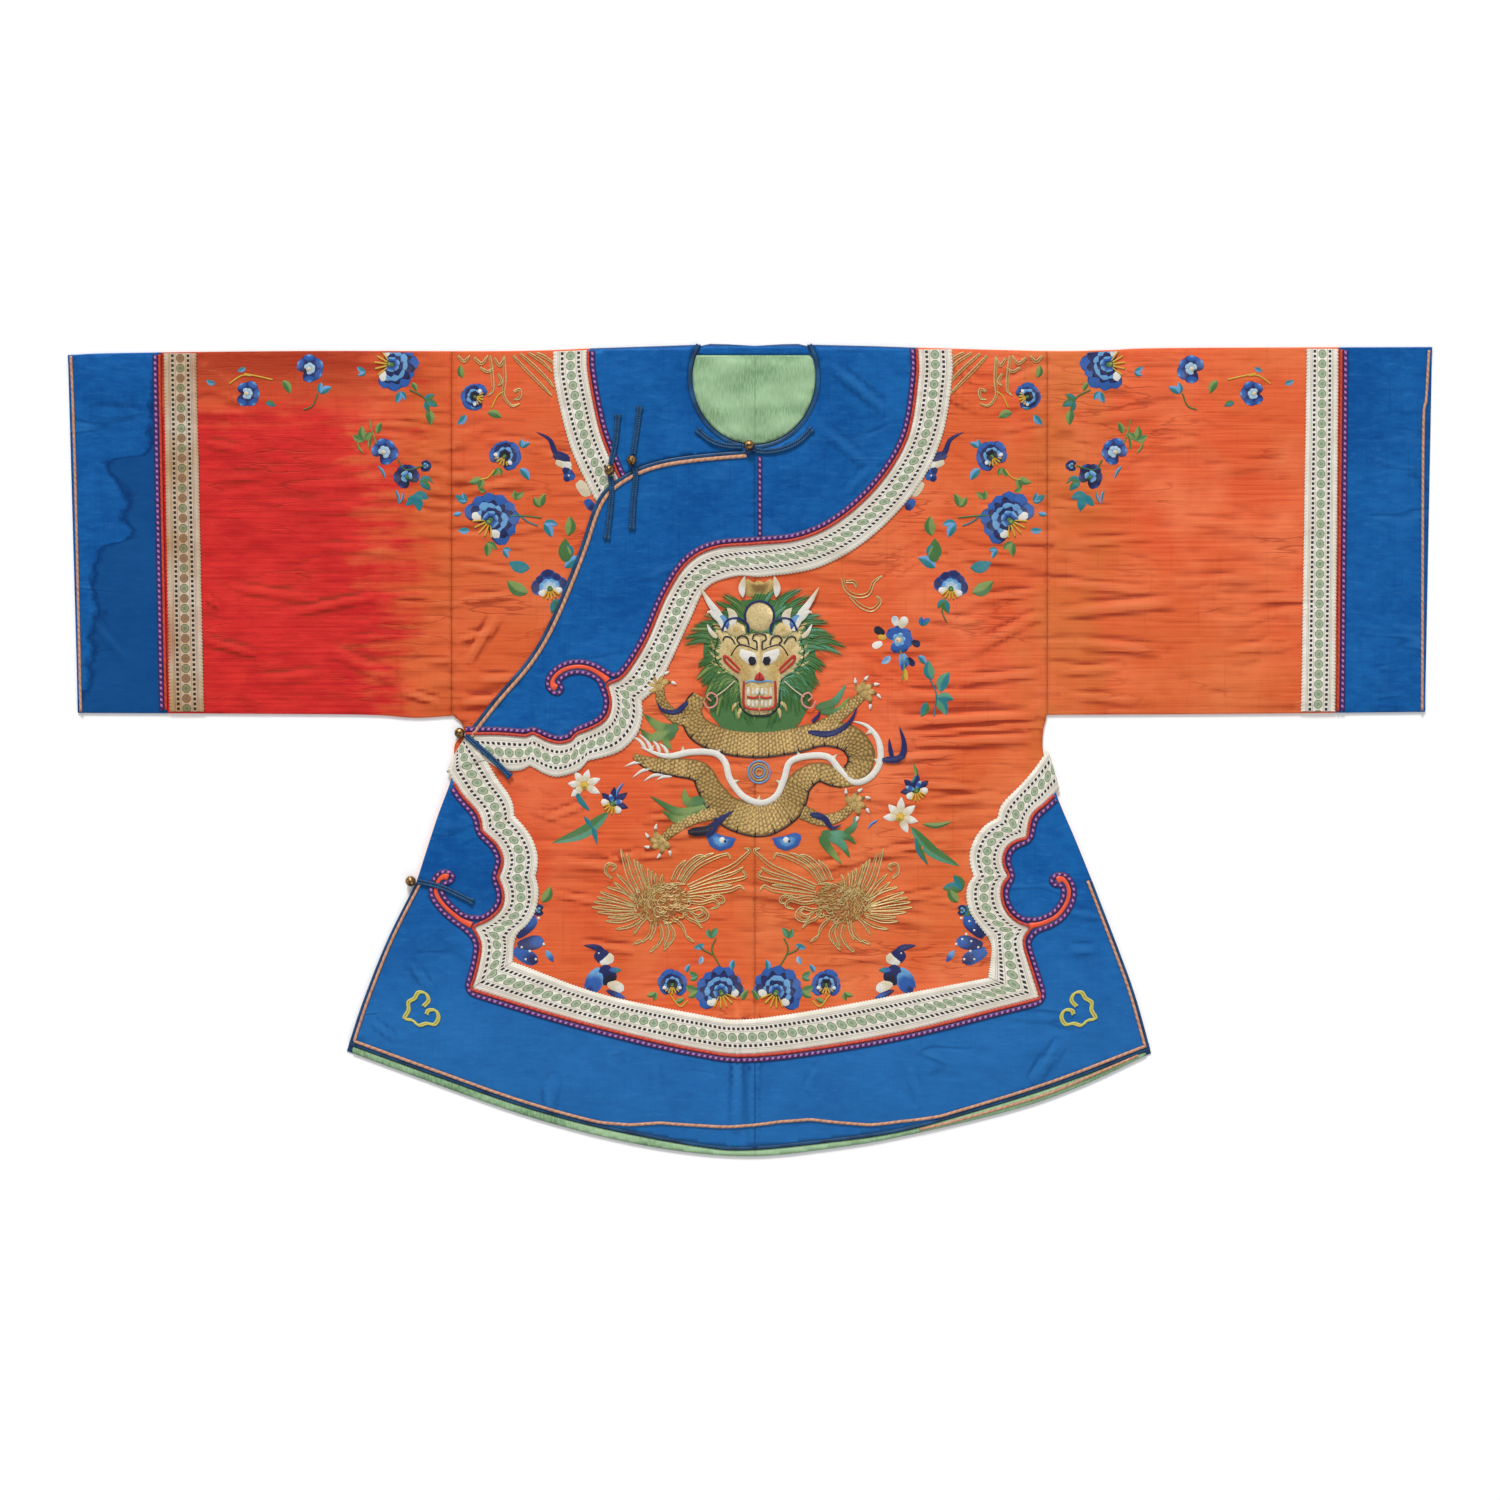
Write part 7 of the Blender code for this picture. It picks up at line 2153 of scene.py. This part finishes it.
# Birds, rocks and small work of the wearer's right side: kind, shades, width, places
BIRDS = [
    (LOCK, "NN", 9, (-146, 604), (-152, 598), (-166, 595)), (PETAL, "NN", 15, (-144, 600), (-152, 612)),
    (PETAL, "NK", 18, (-148, 616), (-138, 634)), (PETAL, "WC", 11, (-150, 612), (-136, 606)),
    (PETAL, "SBN", 15, (-146, 622), (-162, 642)), (LOCK, "SB", 7, (-150, 618), (-160, 626), (-166, 638)),
    (LEAF, "BT", 6, (-142, 620), (-128, 620)), (PETAL, "CW", 11, (-142, 632), (-126, 640)),
    (LEAF, "NB", 6, (-144, 640), (-124, 648)), ("dot", "W", 1.1, (-151, 603)),
    (PETAL, "NB", 15, (-234, 586), (-214, 566)), (PETAL, "NB", 14, (-232, 596), (-206, 590)),
    (PETAL, "BN", 14, (-236, 600), (-212, 612)), (PETAL, "NN", 11, (-230, 580), (-224, 562)),
    ("dot", "W", 1.5, (-226, 572), (-219, 571), (-224, 580), (-212, 589), (-221, 591), (-216, 584)),
    ("dot", "W", 1.5, (-228, 597), (-220, 601), (-214, 609), (-224, 609), (-206, 594), (-211, 568)),
    (LEAF, "SB", 6, (-204, 600), (-196, 612)), (LEAF, "GT", 6, (-222, 560), (-230, 548)),
    (LOCK, "NN", 7, (-186, 112), (-195, 102), (-200, 90), (-214, 82)),
    (PETAL, "NN", 11, (-196, 104), (-180, 112)), (PETAL, "CW", 9, (-194, 112), (-178, 116)),
    (PETAL, "NB", 9, (-186, 118), (-176, 130)), (PETAL, "BN", 8, (-180, 120), (-184, 132)),
    ("dot", "W", 1.3, (-181, 126), (-179, 119)), (PETAL, "CC", 12, (-172, 132), (-160, 146)),
    (PETAL, "BN", 9, (-164, 150), (-156, 160)), (PETAL, "KK", 8, (-134, 284), (-124, 278)),
    (PETAL, "WW", 7, (-132, 293), (-122, 297)), (PETAL, "YY", 6, (-136, 288), (-128, 286)),
    (PETAL, "CW", 9, (-150, 278), (-156, 267)), (PETAL, "WP", 7, (-146, 276), (-144, 266)),
    (PETAL, "SB", 10, (-152, 304), (-155, 318)), (PETAL, "KN", 6, (-158, 308), (-164, 316)),
    (LEAF, "YY", 5, (-154, 318), (-157, 332)), (PETAL, "KN", 7, (-162, 292), (-170, 295)),
]
# Cloud hearts on the blue borders, and the scrolls of orange silk at the corners of the ribbons
HEART = [
    (-326, 656), (-321, 650), (-324, 643), (-331, 642), (-335, 648), (-341, 652), (-341, 660),
    (-345, 668), (-337, 670), (-331, 675), (-323, 673), (-315, 674), (-311, 667), (-314, 660),
    (-321, 660), (-323, 664),
]
SCROLLS = {
    "yoke": [
        (-142, 331), (-146, 327), (-155, 321), (-165, 317.5), (-175, 317), (-185, 319.5), (-193, 325),
        (-197, 331), (-196.5, 336), (-193, 338.5),
    ],
    "right": [
        (-278, 575), (-289, 569.5), (-301, 560), (-309, 551), (-313.5, 543), (-312.5, 534), (-309, 528),
        (-304, 526), (-301, 527),
    ],
    "left": [
        (279, 576), (292, 573), (306, 566), (315, 555), (318.5, 544), (317, 535), (312, 529), (306, 530),
    ],
}
# The braid's distance from a scroll's middle and round its end, and from the corner it leaves
SCROLL_BRAID_OFF, SCROLL_CAP, CORNER_CLEAR = 5.2, 5.6, 9.5
SCROLL_CORNERS = {"yoke": (-142, 335), "right": (-276, 577), "left": (280, 577)}


def pairs(needle, rows):
    """Couched gold laid in pairs that meet at their ends."""
    for half, *places in rows:
        middle = np.array([(x, SHOULDER_Y - drop) for x, drop in curve(places, 1.6)])
        t = np.linspace(0, 1, len(middle))[:, None]
        side = left_of(middle) * half * np.sin(np.pi * (0.12 + 0.88 * t)) ** 0.5
        for sign, letter in ((1, "A"), (-1, "H")):
            line = [tuple(p) for p in (middle + sign * side)[::2]] + [tuple(middle[-1])]
            thread(needle, line, 1.25, letter, 0.3)


# The stitches that fill a phoenix's body: their count, its middle and its half width and height
BODY_STITCHES, BODY_MIDDLE, BODY_REACH = 190, (-86, 552), (29, 21)


def make_phoenixes():
    """Gold phoenixes in outline below the dragon, and tail plumes over both shoulders."""
    for mirrored in (False, True):
        chance = random.Random(41 + mirrored)
        gold = Needle(mirrored)
        shift = -6.0 if mirrored else -2.0
        pairs(gold, [(half, *[(x + shift, drop) for x, drop in places]) for half, *places in PHOENIX])
        patch(gold, [(x + shift, drop) for x, drop in PHOENIX_BODY], "QQ", 0.3, 0.3, rings=8)
        for _ in range(BODY_STITCHES):
            angle, far = chance.uniform(0, 360), chance.uniform(0.0, 1.0) ** 0.6
            x = BODY_MIDDLE[0] + shift + BODY_REACH[0] * far * math.cos(math.radians(angle))
            drop = BODY_MIDDLE[1] + BODY_REACH[1] * far * math.sin(math.radians(angle))
            lean = 150 + 60 * math.cos(math.radians(angle)) + chance.uniform(-35, 35)
            ends = [towards(x, drop, lean + a, reach) for a, reach in ((0, 3.4), (95, 1.6), (180, 2.6))]
            thread(gold, ends, 1.15, chance.choice("AAHQ"), 0.9)
        pairs(gold, TAILS)
        if mirrored:
            pairs(gold, [(half, *[(-x, drop) for x, drop in places]) for half, *places in CLOUD])
        gold.lay("phoenix_" + ("left" if mirrored else "right"), "couched_gold")


def make_birds():
    """Magpies, spotted rocks and the cloud hearts."""
    for mirrored in (False, True):
        side = "left" if mirrored else "right"
        floss = Needle(mirrored)
        embroider(floss, [row for row in BIRDS if shown(*row[3], mirrored)], 0.2)
        floss.lay("birds_" + side, "silk_floss")
        heart = Needle(mirrored)
        for shift in (-1.0, 1.0):
            thread(heart, [(x + shift, drop + shift * 0.6) for x, drop in HEART], 2.1, "EE", ON_TOP + 0.2)
        heart.lay("heart_" + side, "silk_floss")


def around(line, corner, scroll, side):
    """A braid's line that leaves a corner to run out round a scroll and back."""
    middle = np.array(curve(scroll, 2.0))
    ends = [np.array(offset(middle, sign * SCROLL_BRAID_OFF)) for sign in (side, -side)]
    ahead = middle[-1] - middle[-3]
    turn = math.atan2(ahead[1], ahead[0])
    turns = turn + np.linspace(side * 1.2, -side * 1.2, 7)
    cap = [middle[-1] + SCROLL_CAP * np.array([math.cos(a), math.sin(a)]) for a in turns]
    line = np.array(line)
    away = np.linalg.norm(line - np.array(at(*corner)), axis=1)
    nearest = int(np.argmin(away))
    before = line[:nearest][away[:nearest] > CORNER_CLEAR]
    after = line[nearest:][away[nearest:] > CORNER_CLEAR]
    path = even(np.concatenate([before, ends[0][4:-1], cap, ends[1][4:-1][::-1], after]), 2.0)
    for _ in range(3):
        path[1:-1] = (path[:-2] + 2 * path[1:-1] + path[2:]) / 4
    return path


def make_scrolls():
    """Strips of orange silk that curl out over the blue from the corners of the ribbons."""
    weave = Weave()
    for rows in SCROLLS.values():
        line = even(curve(rows, 2.0), 1.2)
        t = np.linspace(0.0, 1.0, len(line))
        radii = 2.1 + 1.6 * np.exp(-t / 0.10) + 1.9 * np.exp(-(((t - 0.97) / 0.06) ** 2))
        lay_flat(weave, line, radii, over_satin(top_of), 10)
    weave.piece("scrolls_orange", "scroll_silk")


def make_stage():
    """A pale table, soft studio light and the camera straight above."""
    scene = bpy.context.scene
    mesh = bpy.data.meshes.new("table")
    corners = [(TABLE_REACH * i, TABLE_REACH * j, 0) for i, j in ((-1, -1), (1, -1), (1, 1), (-1, 1))]
    mesh.from_pydata(corners, [], [(0, 1, 2, 3)])
    table = bpy.data.objects.new("table", mesh)
    mesh.materials.append(share("pale_table"))
    scene.collection.objects.link(table)
    for name, about_x, about_y, spread, power in LAMPS:
        lamp = bpy.data.lights.new(name, 'SUN')
        lamp.energy, lamp.angle = power, math.radians(spread)
        light = bpy.data.objects.new(name, lamp)
        light.rotation_euler = (math.radians(about_x), math.radians(about_y), 0.0)
        scene.collection.objects.link(light)
    world = bpy.data.worlds.new("studio")
    world.use_nodes = True
    sky = world.node_tree.nodes["Background"].inputs
    sky["Color"].default_value = (1.0, 1.0, 1.0, 1.0)
    sky["Strength"].default_value = SKY_STRENGTH
    scene.world = world
    scene.view_settings.view_transform = 'Standard'
    lens = bpy.data.cameras.new("camera")
    lens.sensor_width, lens.lens = SENSOR_WIDTH, LENS
    camera = bpy.data.objects.new("camera", lens)
    camera.location = (0.0, 0.0, CAMERA_HEIGHT)
    scene.collection.objects.link(camera)
    scene.camera = camera


def dye(label, red, green, blue):
    """A colour property, from its shares out of 255."""
    return bpy.props.FloatVectorProperty(
        name=label, description=label + " of the jacket", subtype='COLOR', size=4,
        min=0.0, max=1.0, default=tone(red, green, blue),
    )


class JacketSizes(bpy.types.PropertyGroup):
    """Sizes that a user may change."""

    wrinkle_depth: bpy.props.FloatProperty(
        name="Wrinkle depth", description="How deep the fine creases of the cloth are",
        default=1.0, min=0.0, max=1.4,
    )


class JacketColours(bpy.types.PropertyGroup):
    """Dyes, metals and painted shades and highlights that a user may change."""

    orange: dye("Orange silk", 230, 104, 62)
    orange_shade: dye("Orange silk in the hollows", 208, 78, 44)
    # Paler orange at random, also painted as highlight on the ridges of the folds
    orange_light: dye("Orange silk where it is rubbed", 242, 136, 90)
    ochre: dye("Aged silk near the armholes", 196, 112, 50)
    # Painted shade in the silk's hollows and along its pucker lines, also the colour of its darker warp
    # streaks
    crease: dye("Silk in the creases", 134, 34, 22)
    dulled: dye("Dulled silk along the right shoulder", 156, 44, 26)
    silk_gloss: dye("Gloss of the silk", 255, 150, 110)
    satin_gloss: dye("Gloss of the satin", 90, 160, 235)
    crimson: dye("Crimson silk", 214, 42, 44)
    crimson_shade: dye("Crimson silk in the hollows", 186, 26, 34)
    # Paler crimson at random, also painted as highlight on the ridges of the folds
    crimson_light: dye("Crimson silk where it is rubbed", 224, 62, 50)
    blue: dye("Blue satin", 26, 96, 162)
    blue_shade: dye("Blue satin in the hollows", 14, 74, 140)
    # Paler satin where it is rubbed and towards the hem, also painted as highlight on crests and ridges
    blue_light: dye("Blue satin where it is rubbed", 56, 122, 184)
    stain: dye("Stained satin", 18, 66, 120)
    # Also the satin's darker warp streaks and the painted shade in its creases and hollows
    tide: dye("Edge of the stain", 8, 42, 92)
    cream: dye("Ribbon ground", 238, 233, 220)
    cream_shade: dye("Ribbon ground, yellowed", 222, 214, 196)
    ribbon_grey: dye("Ribbon lines", 158, 152, 148)
    ribbon_black: dye("Ribbon squares", 36, 32, 44)
    medallion: dye("Ribbon medallions", 158, 172, 142)
    medallion_edge: dye("Medallion edges", 104, 122, 98)
    medallion_rust: dye("Rusted medallions", 140, 84, 56)
    ribbon_aged: dye("Aged ribbon", 190, 146, 92)
    ribbon_pink: dye("Ribbon where the dye ran", 232, 150, 150)
    braid: dye("Braid", 76, 40, 110)
    braid_shade: dye("Braid in the hollows", 48, 28, 78)
    braid_pink: dye("Braid dashes", 176, 116, 170)
    binding: dye("Dark binding", 26, 82, 128)
    # Mottles the binding, and is painted as shade in the hollows of the frog cords' twist
    binding_shade: dye("Dark binding in the hollows", 12, 48, 82)
    lining: dye("Green lining", 146, 181, 138)
    # Painted shade along the lining's creases
    lining_shade: dye("Green lining in the hollows", 98, 138, 94)
    lining_light: dye("Green lining where it is rubbed", 176, 204, 168)
    lining_seam: dye("Seam of the lining", 84, 118, 82)
    brass: dye("Gilt brass", 176, 136, 84)
    brass_shade: dye("Gilt brass in the hollows", 58, 42, 32)
    peach: dye("Peach piping", 214, 164, 130)
    # Mottles the peach piping, and is painted as shade in the hollows of its twist
    peach_shade: dye("Peach piping in the hollows", 164, 112, 88)
    scroll: dye("Orange scrolls", 236, 92, 54)
    # The two below mottle cords and are painted as shade in the hollows of their twist: red piping for the
    # scrolls, its shade for the red piping
    piping: dye("Red piping", 206, 74, 52)
    piping_shade: dye("Red piping in the hollows", 168, 48, 38)


class JACKET_OT_body(bpy.types.Operator):
    """Cuts both halves of the body and the overlap"""

    bl_idname = "jacket.body"
    bl_label = "Body"

    def execute(self, context):
        make_body()
        return {'FINISHED'}


class JACKET_OT_sleeves(bpy.types.Operator):
    """Cuts the sleeves and the cuffs"""

    bl_idname = "jacket.sleeves"
    bl_label = "Sleeves and cuffs"

    def execute(self, context):
        make_sleeves()
        return {'FINISHED'}


class JACKET_OT_satin(bpy.types.Operator):
    """Lays the blue yokes and borders"""

    bl_idname = "jacket.satin"
    bl_label = "Yokes and borders"

    def execute(self, context):
        make_yokes()
        make_borders()
        return {'FINISHED'}


class JACKET_OT_ribbons(bpy.types.Operator):
    """Lays the woven ribbons"""

    bl_idname = "jacket.ribbons"
    bl_label = "Ribbons"

    def execute(self, context):
        make_ribbons()
        return {'FINISHED'}


class JACKET_OT_bindings(bpy.types.Operator):
    """Binds the neck, the overlap and the hem"""

    bl_idname = "jacket.bindings"
    bl_label = "Bindings"

    def execute(self, context):
        make_bindings()
        return {'FINISHED'}


class JACKET_OT_linings(bpy.types.Operator):
    """Lays the lining inside the neck and along the hem"""

    bl_idname = "jacket.linings"
    bl_label = "Linings"

    def execute(self, context):
        make_linings()
        return {'FINISHED'}


class JACKET_OT_edging(bpy.types.Operator):
    """Lays pipings and braids"""

    bl_idname = "jacket.edging"
    bl_label = "Pipings and braids"

    def execute(self, context):
        make_edging()
        return {'FINISHED'}


class JACKET_OT_frogs(bpy.types.Operator):
    """Ties the frog straps and their buttons"""

    bl_idname = "jacket.frogs"
    bl_label = "Frogs and buttons"

    def execute(self, context):
        make_frogs()
        return {'FINISHED'}


class JACKET_OT_flowers(bpy.types.Operator):
    """Embroiders the flowers and leaves"""

    bl_idname = "jacket.flowers"
    bl_label = "Flowers"

    def execute(self, context):
        make_flowers()
        return {'FINISHED'}


class JACKET_OT_dragon(bpy.types.Operator):
    """Embroiders the dragon"""

    bl_idname = "jacket.dragon"
    bl_label = "Dragon"

    def execute(self, context):
        make_dragon()
        return {'FINISHED'}


class JACKET_OT_phoenixes(bpy.types.Operator):
    """Couches the gold phoenixes"""

    bl_idname = "jacket.phoenixes"
    bl_label = "Phoenixes"

    def execute(self, context):
        make_phoenixes()
        return {'FINISHED'}


class JACKET_OT_birds(bpy.types.Operator):
    """Embroiders the magpies, the rocks and the cloud hearts"""

    bl_idname = "jacket.birds"
    bl_label = "Magpies, rocks and hearts"

    def execute(self, context):
        make_birds()
        return {'FINISHED'}


class JACKET_OT_scrolls(bpy.types.Operator):
    """Lays the orange scrolls on the blue satin"""

    bl_idname = "jacket.scrolls"
    bl_label = "Scrolls"

    def execute(self, context):
        make_scrolls()
        return {'FINISHED'}


class JACKET_OT_stage(bpy.types.Operator):
    """Sets the table, the lights and the camera"""

    bl_idname = "jacket.stage"
    bl_label = "Stage"

    def execute(self, context):
        make_stage()
        return {'FINISHED'}


OPERATORS = (
    JACKET_OT_body, JACKET_OT_sleeves, JACKET_OT_satin, JACKET_OT_ribbons, JACKET_OT_bindings,
    JACKET_OT_linings, JACKET_OT_edging, JACKET_OT_scrolls, JACKET_OT_frogs, JACKET_OT_flowers,
    JACKET_OT_dragon, JACKET_OT_phoenixes, JACKET_OT_birds, JACKET_OT_stage,
)


class JACKET_PT_panel(bpy.types.Panel):
    """The jacket's pieces, sizes and colours"""

    bl_label = "Embroidered silk jacket"
    bl_idname = "JACKET_PT_panel"
    bl_space_type = 'VIEW_3D'
    bl_region_type = 'UI'
    bl_category = "Jacket"

    def draw(self, context):
        for operator in OPERATORS:
            self.layout.operator(operator.bl_idname)
        for group in (context.scene.jacket_sizes, context.scene.jacket_colours):
            for name in group.__annotations__:
                self.layout.prop(group, name)


CLASSES = (JacketSizes, JacketColours) + OPERATORS + (JACKET_PT_panel,)


def register():
    for item in CLASSES:
        bpy.utils.register_class(item)
    bpy.types.Scene.jacket_sizes = bpy.props.PointerProperty(type=JacketSizes)
    bpy.types.Scene.jacket_colours = bpy.props.PointerProperty(type=JacketColours)


def unregister():
    del bpy.types.Scene.jacket_colours
    del bpy.types.Scene.jacket_sizes
    for item in reversed(CLASSES):
        bpy.utils.unregister_class(item)


def main():
    """Registers the add-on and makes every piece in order."""
    register()
    for operator in OPERATORS:
        group, name = operator.bl_idname.split(".")
        getattr(getattr(bpy.ops, group), name)()


if __name__ == "__main__":
    main()
